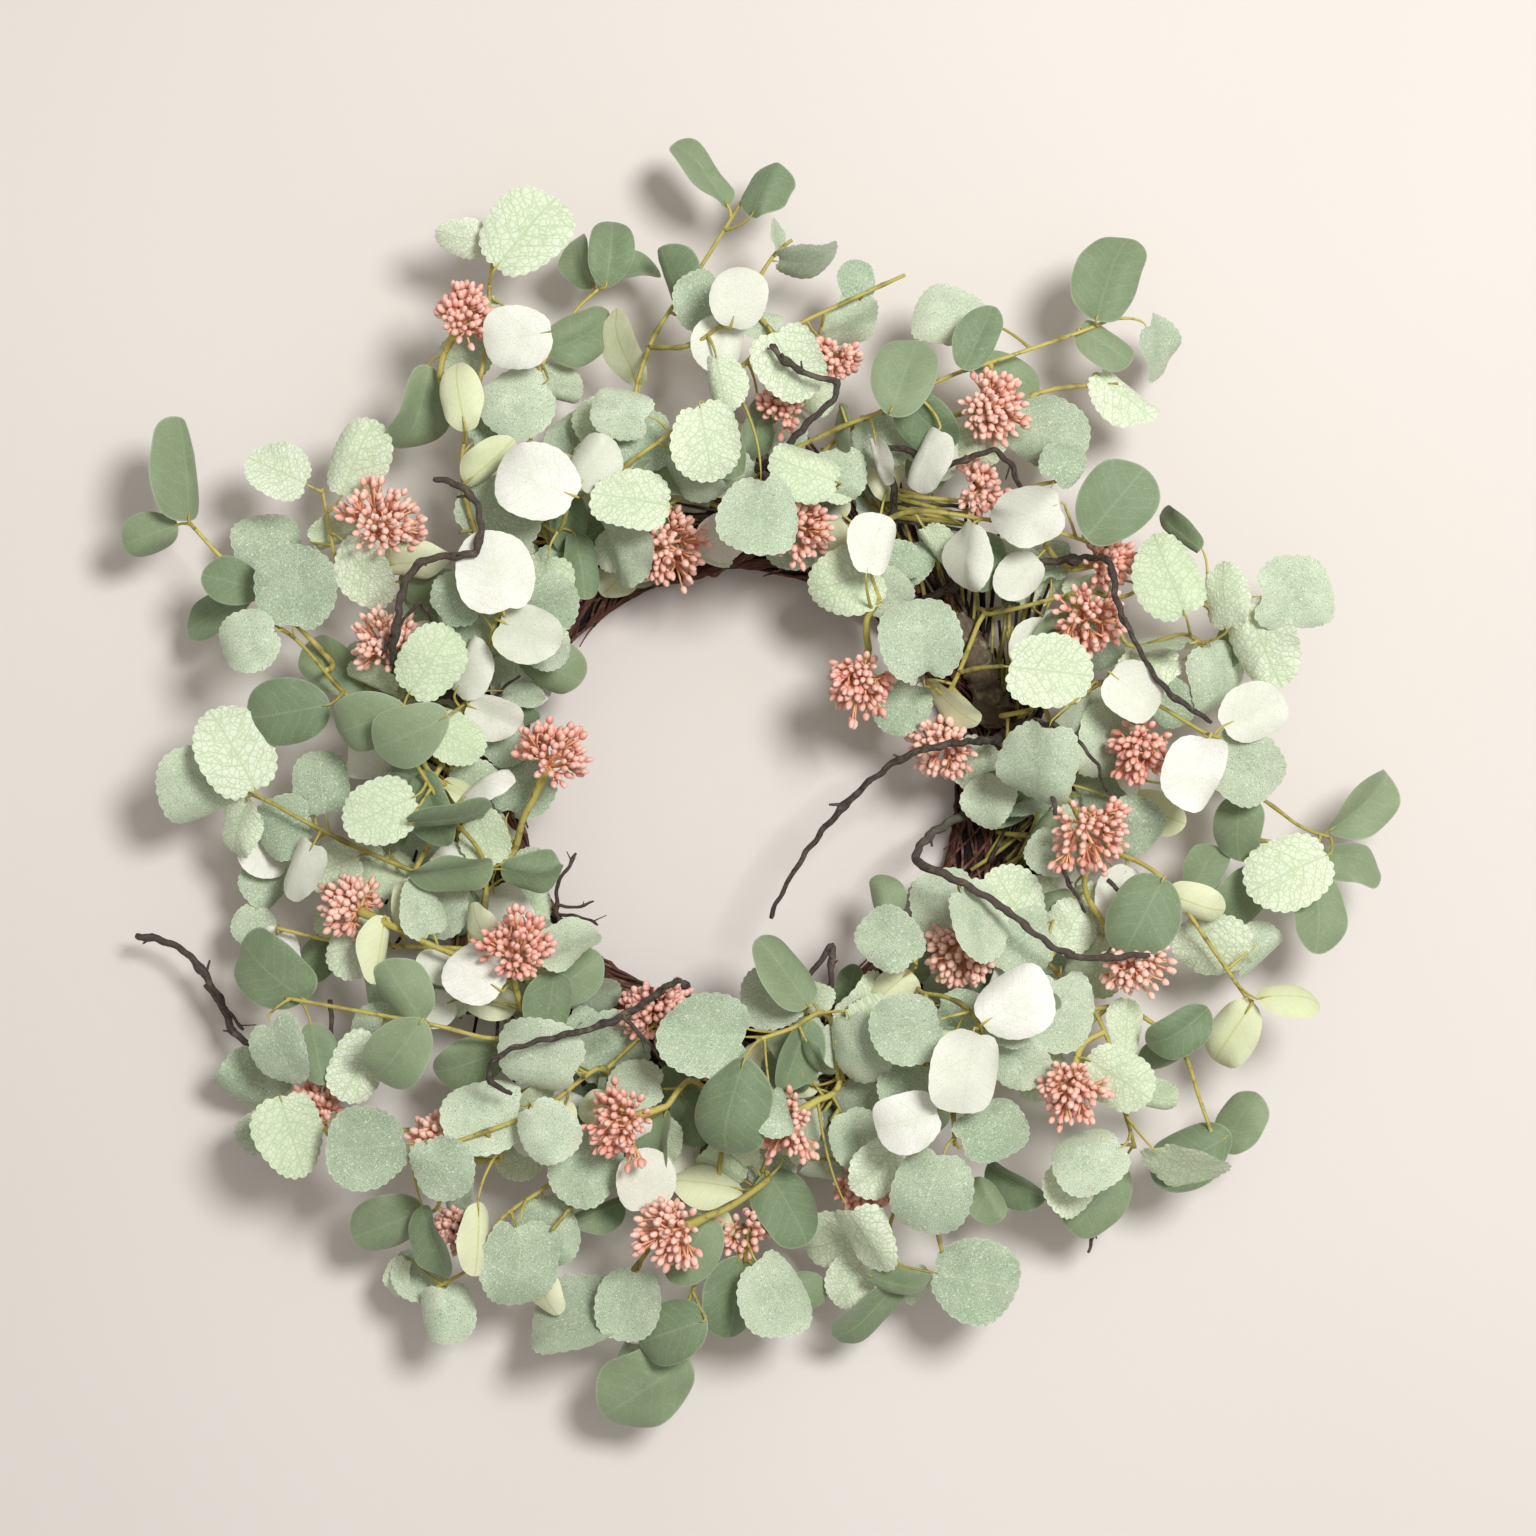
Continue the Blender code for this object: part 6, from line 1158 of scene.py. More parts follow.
def seat_tube(points, radii, sides, tree, whole=False):
    """The path moved, its first point or all of it, until the tube all but touches a surface."""
    points = points.copy()
    for _ in range(SEAT_ROUNDS):
        probe = mesh_arrays(tube_mesh("probe", points, radii, sides))[0]
        least, way = None, None
        for corner in probe:
            place, normal, _, distance = tree.find_nearest(Vector(corner))
            outside = (Vector(corner) - place).dot(normal) > 0
            height = distance if outside else -distance
            if least is None or height < least:
                least = height
                way = unit(corner - np.array(place)) if outside else np.array(normal)
        if whole:
            points += way * (SEAT_GAP - least)
        else:
            points[0] += way * (SEAT_GAP - least)
    return points


def seat_along(points, radius, tree):
    """The path with each point brought to the same small height over a surface."""
    seated = []
    for point in points:
        place = tree.find_nearest(Vector(point))[0]
        away = unit(point - np.array(place))
        seated.append(np.array(place) + away * (radius + SEAT_GAP))
    return np.array(seated)


def twig_radii(points, radius, draw):
    """A twig thins towards its end and swells a little at its knots."""
    share = np.linspace(0, 1, len(points))
    swell = np.array([draw.uniform(*TWIG_KNOTS) for _ in points])
    return radius * (TWIG_ROOT - TWIG_TAPER * share) * (1 + swell)


def bud_clear(corners, root, peak, place, crowd):
    """Whether a bud with these end corners, root corners and peak touches nothing."""
    middle = corners.mean(axis=0)
    wide = middle + (corners - middle) * BUD_WIDER
    points = place(np.vstack([root, wide, peak + (peak - middle) * BUD_LONGER]))
    faces = np.array([(0, 1, 4), (0, 4, 3), (1, 2, 5), (1, 5, 4), (2, 0, 3), (2, 3, 5),
                      (3, 4, 6), (4, 5, 6), (5, 3, 6)])
    return not crowd.hits(points, faces)


def head_mesh(name, stalk, centre, width, depth, crowd, draw):
    """Buds on stalks: the sides of a small core, drawn out to a dome and pointed.

    With the mesh come the tips of its buds, which the berries stand at.
    """
    axis = head_axis(stalk, centre)
    flat_side = unit(np.cross(np.array((0, 0, 1.0)), axis))
    turned = np.array((flat_side, np.cross(axis, flat_side), axis))
    shape = bmesh.new()
    bmesh.ops.create_icosphere(shape, subdivisions=1, radius=CORE_RADIUS)
    shape.faces.ensure_lookup_table()
    down = shape.faces[0].normal.copy()
    turn = down.rotation_difference(Vector((0, 0, -1)))
    bmesh.ops.rotate(shape, verts=shape.verts, matrix=turn.to_matrix())
    shape.normal_update()
    base = stalk.points[-1] + axis * (HEAD_GAP - min(v.co.z for v in shape.verts))

    def place(points):
        return base + points @ turned

    tips = []
    sides = [face for face in shape.faces if face.normal.z > LOWEST_BUD]
    for face in bmesh.ops.extrude_discrete_faces(shape, faces=sides)["faces"]:
        root = np.array([v.co[:] for v in face.verts])
        middle = root.mean(axis=0)
        way = unit(middle)
        slant = math.acos(max(-1, min(1, way[2]))) * BUD_SPREAD
        level = unit(np.array((way[0], way[1], 0))) if way[2] < 0.99 else np.array((1.0, 0, 0))
        spread = BERRY_WIDTH * 0.5 / np.linalg.norm(root[0] - middle)
        for share in BUD_SHARES:
            lean = slant + draw.uniform(-BUD_LEAN, BUD_LEAN)
            aim = level * math.sin(lean) + np.array((0, 0, math.cos(lean)))
            sizes = np.array((width / 2, min(width, HEAD_THICKNESS) / 2, depth))
            reach = draw.uniform(*BUD_REACH) * share / np.linalg.norm(aim / sizes)
            corners = aim * reach * BUD_SHOULDER + (root - middle) * spread
            if bud_clear(corners, root, aim * reach, place, crowd):
                break
        for corner, point in zip(face.verts, corners):
            corner.co = point
        peak = bmesh.ops.poke(shape, faces=[face])["verts"][0]
        peak.co = aim * reach
        tips.append(place(aim * reach))
    bmesh.ops.triangulate(shape, faces=shape.faces)
    bmesh.ops.recalc_face_normals(shape, faces=shape.faces)
    for v in shape.verts:
        v.co = place(np.array(v.co))
    mesh = bpy.data.meshes.new(name)
    shape.to_mesh(mesh)
    shape.free()
    return mesh, tips


def hull_of(mesh):
    """The convex hull of a mesh, as corners and faces, a little shrunk."""
    shape = bmesh.new()
    shape.from_mesh(mesh)
    made = bmesh.ops.convex_hull(shape, input=shape.verts)
    inside = [g for g in made["geom_interior"] if isinstance(g, bmesh.types.BMVert)]
    bmesh.ops.delete(shape, geom=inside, context="VERTS")
    loose = [f for f in made["geom_unused"] + made["geom_holes"] if isinstance(f, bmesh.types.BMFace)]
    bmesh.ops.delete(shape, geom=[f for f in loose if f.is_valid], context="FACES_ONLY")
    bmesh.ops.triangulate(shape, faces=shape.faces)
    shape.verts.index_update()
    points = np.array([v.co[:] for v in shape.verts])
    faces = np.array([[v.index for v in f.verts] for f in shape.faces])
    shape.free()
    middle = points.mean(axis=0)
    return middle + (points - middle) * HULL_SHARE, faces


def place_all():
    """The wreath laid out as its solids are: wood, stems, heads and leaves, and what is taken."""
    draw = random.Random(SEED)

    ring_points, ring_faces = mesh_arrays(ring_mesh())
    ring_tree = BVHTree.FromPolygons(ring_points.tolist(), ring_faces.tolist())
    crowd = Crowd()
    crowd.add("ring", ring_points, ring_faces)

    wood = {}
    path = loose_vine_path()
    wood["loose_vine"] = (path, np.full(len(path), LOOSE_VINE_RADIUS))
    path = smooth_path([spot(*p) for p in BRANCH_PLAN], BRANCH_STEP)
    swell = np.array([draw.uniform(*BRANCH_KNOTS) for _ in path])
    path = push_off_ring(path, BRANCH_RADIUS * BRANCH_KNOTS[1])
    path = seat_tube(path, BRANCH_RADIUS * swell, BRANCH_SIDES, ring_tree, whole=True)
    wood["knobbly_branch"] = (path, BRANCH_RADIUS * swell)
    branch_mesh = tube_mesh("branch", *wood["knobbly_branch"], BRANCH_SIDES)
    branch_tree = BVHTree.FromPolygons(*[a.tolist() for a in mesh_arrays(branch_mesh)])
    for name, (radius, points) in TWIGS.items():
        path = smooth_path([spot(*p) for p in points], TWIG_STEP)
        radii = twig_radii(path, radius / 1000, draw)
        path = push_off_ring(path, radii[:, None])
        on_branch = name in BRANCH_TWIGS
        path = seat_tube(path, radii, TWIG_SIDES, branch_tree if on_branch else ring_tree)
        wood[name] = (path, radii)

    nodes, heads = grow_sprays()
    branches = [branch for own in nodes.values() for branch in own]
    thick = [dense(*wood[name]) for name in wood if name != "loose_vine"]
    fixed = np.vstack([places for places, _ in thick])
    fixed_radii = np.concatenate([radii for _, radii in thick])
    part_stems(branches, heads, fixed, fixed_radii)
    others = [(branch.points, branch.radii) for branch in branches] + thick
    path = free_stretch(wood["loose_vine"][0], np.vstack([places for places, _ in others]),
                        np.concatenate([sizes for _, sizes in others]))
    path = seat_along(path, LOOSE_VINE_RADIUS * VINE_CORNER, ring_tree)
    wood["loose_vine"] = (path, np.full(len(path), LOOSE_VINE_RADIUS))

    for name, (path, radii) in wood.items():
        mesh = tube_mesh(name, path, radii, BRANCH_SIDES if name == "knobbly_branch" else TWIG_SIDES)
        crowd.add(name, *mesh_arrays(mesh))

    for stalk, centre, _, _ in heads:
        neck = stalk.points[stalk.neck]
        reach = np.linalg.norm(stalk.points[-1] - neck)
        stalk.points[-1] = neck + head_axis(stalk, centre) * reach
    for branch in branches:
        branch.settle()
        if branch.parent is None:
            places, radii = branch.chords
            branch.chords = (seat_tube(places, radii, TUBE_SIDES, ring_tree), radii)
        mesh = tube_mesh(branch.node, *branch.chords)
        crowd.add("stem " + branch.node, *mesh_arrays(mesh))

    berries = []
    for index, (stalk, centre, width, depth) in enumerate(heads):
        name = f"berries_{index + 1:02d}"
        mesh, tips = head_mesh(name, stalk, centre, width, depth, crowd, draw)
        berries.append((stalk.points[-1], tips))
        crowd.add(name, *hull_of(mesh))
        crowd.add(name, *mesh_arrays(mesh))

    rows = [(plan.get("joins", name), row) for name, plan in SPRAYS.items() for row in plan["leaves"]]
    rows.sort(key=lambda item: -item[1][6])
    leaves = []
    for index, (node, row) in enumerate(rows):
        own = random.Random(SEED * 1000 + index)
        leaf = Leaf(node, row, own)
        stem = "stem " + node
        if not any(place_leaf(leaf, nodes[node], crowd, own, skip, wide)
                   for skip, wide in (((stem,), 1.0), ((stem, node), 1.0), ((stem, node), 1.8))):
            continue
        leaves.append(leaf)
        crowd.add(node, *leaf.slab())
    return wood, nodes, berries, leaves, crowd


def along_path(path, radii, step):
    """The path and its radii again at even small steps, on a smooth curve through its points."""
    if len(path) > 2:
        places = smooth_path(path, step)
    else:
        count = max(3, int(np.linalg.norm(path[-1] - path[0]) / step) + 1)
        places = path[0] + np.linspace(0, 1, count)[:, None] * (path[-1] - path[0])
    share = np.linspace(0, 1, len(places))
    return places, np.interp(share, np.linspace(0, 1, len(path)), radii)


def path_sides(path, closed=False):
    """Two directions square to a path at each point, measured from the way it runs least."""
    if closed:
        along = np.roll(path, -1, axis=0) - np.roll(path, 1, axis=0)
    else:
        along = np.gradient(path, axis=0)
    along /= np.maximum(np.linalg.norm(along, axis=1, keepdims=True), 1e-9)
    least = np.linalg.svd(along, full_matrices=False)[2][-1]
    side = np.cross(along, least)
    side /= np.maximum(np.linalg.norm(side, axis=1, keepdims=True), 1e-9)
    return side, np.cross(along, side)


def tube_faces(rows, sides, closed=False):
    """Triangles between neighbouring rings of a tube, and a fan onto a pole at each end.

    The last ring of a closed tube joins its first, and it has no poles.
    """
    ring = np.arange(rows * sides).reshape(rows, sides)
    after = np.roll(ring, -1, axis=1)
    joined = rows if closed else rows - 1
    near, near_after = (rings[:joined].ravel() for rings in (ring, after))
    far, far_after = (np.roll(rings, -1, axis=0)[:joined].ravel() for rings in (ring, after))
    walls = np.vstack([np.column_stack([near, near_after, far_after]),
                       np.column_stack([near, far_after, far])])
    if closed:
        return walls
    first, last = np.full(sides, rows * sides), np.full(sides, rows * sides + 1)
    ends = np.vstack([np.column_stack([after[0], ring[0], first]),
                      np.column_stack([ring[-1], after[-1], last])])
    return np.vstack([walls, ends])


def tube(path, radii, sides, rough=None, closed=False):
    """A tube: at each place of the path a ring of radius times (1 + rough), turned square to it.

    Its UV runs round it and along it, in units of its own girth. Both ends close on a pole,
    unless it is closed: then they meet.
    """
    side, up = path_sides(path, closed)
    turn = math.tau * np.arange(sides) / sides
    around = side[:, None, :] * np.cos(turn)[None, :, None] + up[:, None, :] * np.sin(turn)[None, :, None]
    wide = radii[:, None] * (1 if rough is None else 1 + rough)
    points = path[:, None, :] + around * np.broadcast_to(wide, (len(path), sides))[:, :, None]
    lengths = np.concatenate([[0], np.cumsum(np.linalg.norm(np.diff(path, axis=0), axis=1))])
    lengths = lengths / (math.tau * float(np.mean(radii)))
    rounds = np.abs(2 * np.arange(sides) / sides - 1)
    uv = np.stack(np.broadcast_arrays(rounds[None, :], lengths[:, None]), axis=-1)
    points, uv = points.reshape(-1, 3), uv.reshape(-1, 2)
    if not closed:
        points = np.vstack([points, path[0], path[-1]])
        uv = np.vstack([uv, (0.5, 0.0), (0.5, lengths[-1])])
    return points, tube_faces(len(path), sides, closed), uv


class Piece:
    """One finished piece: triangles with their finish, UV, tone and closeness to a rim."""

    def __init__(self, name):
        self.name = name
        self.parts = []
        self.finishes = []
        self.count = 0

    def number_of(self, finish):
        if finish not in self.finishes:
            self.finishes.append(finish)
        return self.finishes.index(finish)

    def add(self, points, faces, finish, uv=None, tone=0.5, edge=None, rim=None, under=None):
        """Adds a shape; under holds the triangles of its other side and their own finish."""
        total = len(points)
        uv = np.zeros((total, 2)) if uv is None else uv
        edge = np.zeros(total) if edge is None else edge
        rim = np.zeros(total, dtype=bool) if rim is None else rim
        finish_index = np.full(len(faces), self.number_of(finish))
        if under is not None:
            faces = np.vstack([faces, under[0]])
            finish_index = np.append(finish_index, np.full(len(under[0]), self.number_of(under[1])))
        tones = np.broadcast_to(np.asarray(tone, dtype=float), (total,))
        self.parts.append((points, faces + self.count, finish_index, uv, tones, edge, rim))
        self.count += total

    def add_tube(self, path, radii, sides, finish, tone, edge=None, rough=None):
        """Adds an open tube in one finish and tone."""
        points, faces, uv = tube(path, radii, sides, rough)
        self.add(points, faces, finish, uv, tone, edge)

    def add_loop(self, path, radius, sides, finish, tone, lowest):
        """Adds a tube whose ends meet, pressed flat where it would lie below the lowest height."""
        points, faces, uv = tube(path, np.full(len(path), radius), sides, closed=True)
        points[:, 2] = np.maximum(points[:, 2], lowest)
        self.add(points, faces, finish, uv, tone)

    def made(self, finishes, slot_name, *nodes):
        """The piece as an object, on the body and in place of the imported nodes."""
        points, faces, finish, uv, tone, edge, rim = (np.concatenate(x) for x in zip(*self.parts))
        points = points + plan_shift
        mesh = bpy.data.meshes.new(self.name)
        mesh.vertices.add(len(points))
        mesh.vertices.foreach_set("co", points.ravel().astype(np.float32))
        mesh.loops.add(len(faces) * 3)
        mesh.loops.foreach_set("vertex_index", faces.ravel().astype(np.int32))
        mesh.polygons.add(len(faces))
        mesh.polygons.foreach_set("loop_start", np.arange(0, len(faces) * 3, 3, dtype=np.int32))
        mesh.polygons.foreach_set("material_index", finish.astype(np.int32))
        mesh.update(calc_edges=True)
        mesh.polygons.foreach_set("use_smooth", np.ones(len(faces), dtype=bool))
        layer = mesh.uv_layers.new(name="UVMap")
        layer.data.foreach_set("uv", uv[faces.ravel()].ravel().astype(np.float32))
        for label, values in (("tone", tone), ("edge", edge)):
            attribute = mesh.attributes.new(label, "FLOAT", "POINT")
            attribute.data.foreach_set("value", values.astype(np.float32))
        ends = np.empty(len(mesh.edges) * 2, dtype=np.int32)
        mesh.edges.foreach_get("vertices", ends)
        sharp = rim[ends.reshape(-1, 2)].all(axis=1)
        attribute = mesh.attributes.new("sharp_edge", "BOOLEAN", "EDGE")
        attribute.data.foreach_set("value", sharp)
        for name in self.finishes:
            mesh.materials.append(finishes[name])
        thing = link(self.name, mesh, bpy.context.scene.collection)
        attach(thing, "root")
        if nodes:
            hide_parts(*nodes)
        return thing


# Rings of a blade from its rim inwards: share of the radius, and how many rim points to one
BLADE_RINGS = ((1.0, 1), (0.86, 2), (0.60, 4), (0.30, 4))
SCALLOPED_RIM = 96
SMOOTH_RIM = 48
LEAF_HALF = 0.00030


def blade_net(count):
    """The rings of a blade as radius and turn, and one side's triangles onto its middle."""
    radius, turn, rings, start = [], [], [], 0
    for share, every in BLADE_RINGS:
        number = count // every
        radius.append(np.full(number, share))
        turn.append(math.tau * np.arange(number) / number)
        rings.append(start + np.arange(number))
        start += number
    faces = []
    for outer, inner in zip(rings, rings[1:]):
        inner_after = np.roll(inner, -1)
        outer_after = np.roll(outer, -1)
        if len(outer) == len(inner):
            faces.append(np.column_stack([outer, outer_after, inner_after]))
            faces.append(np.column_stack([outer, inner_after, inner]))
        else:
            even, odd = outer[::2], outer[1::2]
            faces.append(np.column_stack([even, odd, inner]))
            faces.append(np.column_stack([odd, inner_after, inner]))
            faces.append(np.column_stack([odd, np.roll(even, -1), inner_after]))
    last = rings[-1]
    faces.append(np.column_stack([last, np.roll(last, -1), np.full(len(last), start)]))
    return np.append(np.concatenate(radius), 0.0), np.append(np.concatenate(turn), 0.0), np.vstack(faces)


BLADE_NETS = {count: blade_net(count) for count in (SCALLOPED_RIM, SMOOTH_RIM)}

# The rim of each kind: how square its two ends are, how much wider towards the tip, the
# point at its tip, the notch at its base, and the depth and number of its scallops.
RIM_FORMS = {
    "S": (0.94, 0.90, 0.05, 0.07, 0.00, 0.0, 1),
    "F": (0.93, 0.90, 0.00, 0.00, 0.10, 0.026, 26),
    "C": (0.94, 0.88, -0.04, 0.03, 0.06, 0.028, 24),
    "W": (0.94, 0.90, 0.00, 0.02, 0.06, 0.008, 22),
    "Y": (0.96, 0.92, 0.03, 0.09, 0.02, 0.0, 1),
}
LOBES = ((2, 0.040), (3, 0.042), (4, 0.024), (5, 0.014))  # a rim's own unevenness, as waves
NOTCH_WIDTH = 0.26  # in radians round the rim
# How a blade bends, in shares of its length: the sizes and counts of the waves round its
# edge, how far its edge curls back, how far a flank folds down and how far a tip rolls back
BLADE_WAVES = (((0.015, 0.050), (2, 3, 4)), ((0.006, 0.020), (5, 6, 7)))
SMOOTH_CURL = (0.0, 0.08)
ROUND_CURL = (-0.04, 0.05)
LONG_BLADE = 0.031  # longer blades, in metres, fold less
LONG_FOLDS = (0, 0, 0.16, 0.28)
SHORT_FOLDS = (0, 0.2, 0.35, 0.45)
FLANK_FROM = 0.08
FLANK_NARROWS = 0.9
TIP_ROLLS = (0, 0, 0.08, 0.16)
ROLL_FROM = 0.55
SAGE_BOATS = (0.0, 0.35, 0.6)  # the angle in radians that both halves of a blade fold up by
OTHER_BOATS = (0.0, 0.25)
KEEL_ROUND = 0.003
FACE_OF = {"S": ("sage_face", "sage_back"), "F": ("frosted_face", "white_back"),
           "C": ("crinkled_face", "white_back"), "W": ("white_back", "frosted_face"),
           "Y": ("cream_back", "sage_face")}


def waves_round(turn, counts, draw):
    """One sine wave over the turns, with one of these counts and a drawn start."""
    return np.sin(draw.choice(counts) * turn + draw.uniform(0, 6))


def rim_at(kind, turn, draw):
    """The rim's place u, v at each turn from the tip: a rounded oval, with its own notch."""
    end_power, side_power, egg, point, notch, scallop, number = RIM_FORMS[kind]
    egg = egg + draw.uniform(-0.05, 0.13)
    c, s = np.cos(turn), np.sin(turn)
    wave = 1 + scallop * (np.abs(np.cos(turn * number / 2)) - 0.5) * 2
    from_base = np.abs(np.angle(np.exp(1j * (turn - math.pi + draw.uniform(-0.12, 0.12)))))
    dent = notch * draw.uniform(0.5, 1.4) * np.exp(-((from_base / NOTCH_WIDTH) ** 1.6))
    lobe = sum(draw.uniform(-size, size) * np.cos(k * turn + draw.uniform(0, 6)) for k, size in LOBES)
    u = 0.5 * np.sign(c) * np.abs(c) ** end_power * (wave + lobe) + dent
    u += 0.5 * point * np.maximum(c, 0) ** 10
    v = 0.5 * np.sign(s) * np.abs(s) ** side_power * (wave + lobe) * (1 + egg * c)
    return u + 0.5, v


def add_blade(piece, leaf, draw):
    """A blade: its rim drawn in to its middle, bent as the solid blade is, with a wavy edge.

    Both faces meet at the rim, and stand apart by the thickness inside it.
    """
    count = SCALLOPED_RIM if leaf.kind in "FCW" else SMOOTH_RIM
    radius, turn, faces = BLADE_NETS[count]
    rim_u, rim_v = rim_at(leaf.kind, turn, draw)
    u, v = 0.5 + radius * (rim_u - 0.5), radius * rim_v
    along, side, out = leaf.frame()
    wave = sum(draw.uniform(*size) * waves_round(turn, counts, draw) for size, counts in BLADE_WAVES)
    curl_back = draw.uniform(*(SMOOTH_CURL if leaf.kind in "SY" else ROUND_CURL))
    folds = LONG_FOLDS if leaf.length > LONG_BLADE else SHORT_FOLDS
    beyond = np.clip((v * draw.choice((-1, 1)) - FLANK_FROM) / (0.5 - FLANK_FROM), 0, 1)
    flank = beyond**1.5 * draw.choice(folds)
    rolled = np.clip((u - ROLL_FROM) / (1 - ROLL_FROM), 0, 1) ** 2 * draw.choice(TIP_ROLLS)
    boat = draw.choice(SAGE_BOATS) if leaf.kind == "S" else draw.uniform(*OTHER_BOATS)
    lift = leaf.warp(u, v) + leaf.length * (wave * radius**3 - curl_back * radius**6 - flank - rolled)
    lift = lift + leaf.width * math.sin(boat) * np.sqrt(v**2 + KEEL_ROUND)
    u = u - 0.5 * rolled * (u - 0.5)
    v = v * (1 - FLANK_NARROWS * flank) * math.cos(boat)
    middle = (leaf.centre + np.outer((u - 0.5) * leaf.length, along)
              + np.outer(v * leaf.width, side) + np.outer(lift, out))
    half = np.outer(LEAF_HALF * (1 - radius**4), out)
    points = np.vstack([middle + half, middle[count:] - half[count:]])
    under = faces[:, ::-1].copy()
    under[under >= count] += len(middle) - count
    uv = np.column_stack([u, v * leaf.width / leaf.length + 0.5])
    uv = np.vstack([uv, uv[count:]])
    edge = np.concatenate([radius, radius[count:]])
    rim = np.arange(len(points)) < count
    front, back = FACE_OF[leaf.kind]
    piece.add(points, faces, front, uv, draw.random(), edge, rim, (under, back))


PETIOLE_BEND = 0.4
PETIOLE_STEP = 0.0022
PETIOLE_RADII = ((0, 0.15, 0.8, 1), (0.0011, 0.0008, 0.0006, 0.0002))  # shares along, radii
FACE_RIB = 0.09  # a stalk runs on under this share of a blade whose face is up
BACK_RIB = 0.20
SMOOTH_STEP = 0.0030
SOCKET_STEP = 0.0022
STEM_SIDES = 7
STEM_GIRTH = (0.84, 1.0)
NODE_ROWS = 9  # a stem has a swollen, darker node for this many of its rings
NODE_PLACES = (0.05, 0.95)
NODE_SWELL = (0.15, 0.45)
NODE_LONG = 1.2
NODE_DARK = 2.2


def add_petiole(piece, leaf, branches, draw):
    """A leaf's stalk: a tube on a bent line from its stem to the base of the blade and into it."""
    base = leaf.base()
    along, _, out = leaf.frame()
    lines = np.vstack([branch.fine for branch in branches])
    hold = lines[int(np.linalg.norm(lines - leaf.hold, axis=1).argmin())]
    reach = np.linalg.norm(base - hold)
    facing = max(0.0, float(unit(base - hold) @ along))
    bend = (hold + base) / 2 * (1 - facing) + (base - along * reach * PETIOLE_BEND) * facing
    t = np.linspace(0, 1, 6)[:, None]
    path = (1 - t) ** 2 * hold + 2 * (1 - t) * t * bend + t**2 * base
    deep = BACK_RIB if leaf.kind in "WY" else FACE_RIB
    rib = leaf.at(np.array([deep * 0.5, deep]), np.zeros(2)) + out * LEAF_HALF
    path = np.vstack([path, rib])
    path = along_path(path, np.ones(len(path)), PETIOLE_STEP)[0]
    radii = np.interp(np.linspace(0, 1, len(path)), *PETIOLE_RADII)
    piece.add_tube(path, radii, 5, "green_stem", draw.random())


def add_stem(piece, branch, draw):
    """A stem: a tube along its smooth path, a little swollen at its nodes, flared at a socket."""
    if branch.socket:
        path, radii = dense(*branch.line, SOCKET_STEP)
    else:
        path, radii = along_path(*branch.line, SMOOTH_STEP)
    share = np.linspace(0, 1, len(path))
    swell = np.zeros(len(path))
    if not branch.socket:
        for _ in range(max(1, int(len(path) / NODE_ROWS))):
            where = draw.uniform(*NODE_PLACES)
            swell += draw.uniform(*NODE_SWELL) * np.exp(-(((share - where) * len(path)) ** 2) / NODE_LONG)
    radii = radii * (1 + swell) * draw.uniform(*STEM_GIRTH)
    dark = np.repeat(np.clip(swell * NODE_DARK, 0, 1), STEM_SIDES)
    piece.add_tube(path, radii, STEM_SIDES, "green_stem", draw.random(),
                   np.append(dark, (dark[0], dark[-1])))


BERRY_RINGS = 4
BERRY_SIDES = 6
BERRY_FULL = 0.85  # below 1 a berry is thickest towards its far end
BERRY_BLUNT = 0.55
BERRY_COUNTS = (3, 5, 7, 8, 9)  # on one fork, with one more at its tip
BERRY_LENGTHS = (0.85, 1.15)  # over BERRY_WIDTH
BERRY_GIRTHS = (0.62, 0.80)
BERRY_OFF = (0.45, 1.0)  # how far a berry stands from its fork's line, over BERRY_WIDTH
LOW_BERRIES = (0.52, 0.66)  # and how far out, as a share of the head's depth there
HIGH_BERRIES = (0.70, 0.86)
TOP_BERRY_SUNK = 1.2
BERRY_OUTWARD = 0.9
BERRY_SUNK = 0.0003
HUE_SPREAD = 0.4
HEAD_REACH = (0.74, 1.05)
FORK_AT = (0.40, 0.52)
FORK_BEND = 0.03
FORK_RADII = (0.0012, 0.0009, 0.0008)
THIN_STALK = 0.00055
THIN_STALK_BEND = 0.0004


def add_berry(piece, base, aim, length, width, tone):
    """A berry: an oval along its stalk, fuller towards its far end, closed at both poles."""
    t = (np.arange(BERRY_RINGS) + 0.7) / (BERRY_RINGS + 0.4)
    girth = np.sin(math.pi * t**BERRY_FULL) ** BERRY_BLUNT * width / 2
    flat = unit(np.cross(aim, np.array((0.3, 0.5, 0.81))))
    up = np.cross(aim, flat)
    turn = math.tau * np.arange(BERRY_SIDES) / BERRY_SIDES
    ring = np.cos(turn)[:, None] * flat + np.sin(turn)[:, None] * up
    rows = base + np.outer(t * length, aim)
    points = rows[:, None, :] + ring[None, :, :] * girth[:, None, None]
    points = np.vstack([points.reshape(-1, 3), base, base + aim * length])
    height = np.concatenate([np.repeat(t, BERRY_SIDES), [0.0, 1.0]])
    uv = np.column_stack([np.full(len(height), 0.5), height])
    # its height along the berry, carried as edge, places the painted highlight towards its far end
    piece.add(points, tube_faces(BERRY_RINGS, BERRY_SIDES), "berry_skin", uv, tone, edge=height)


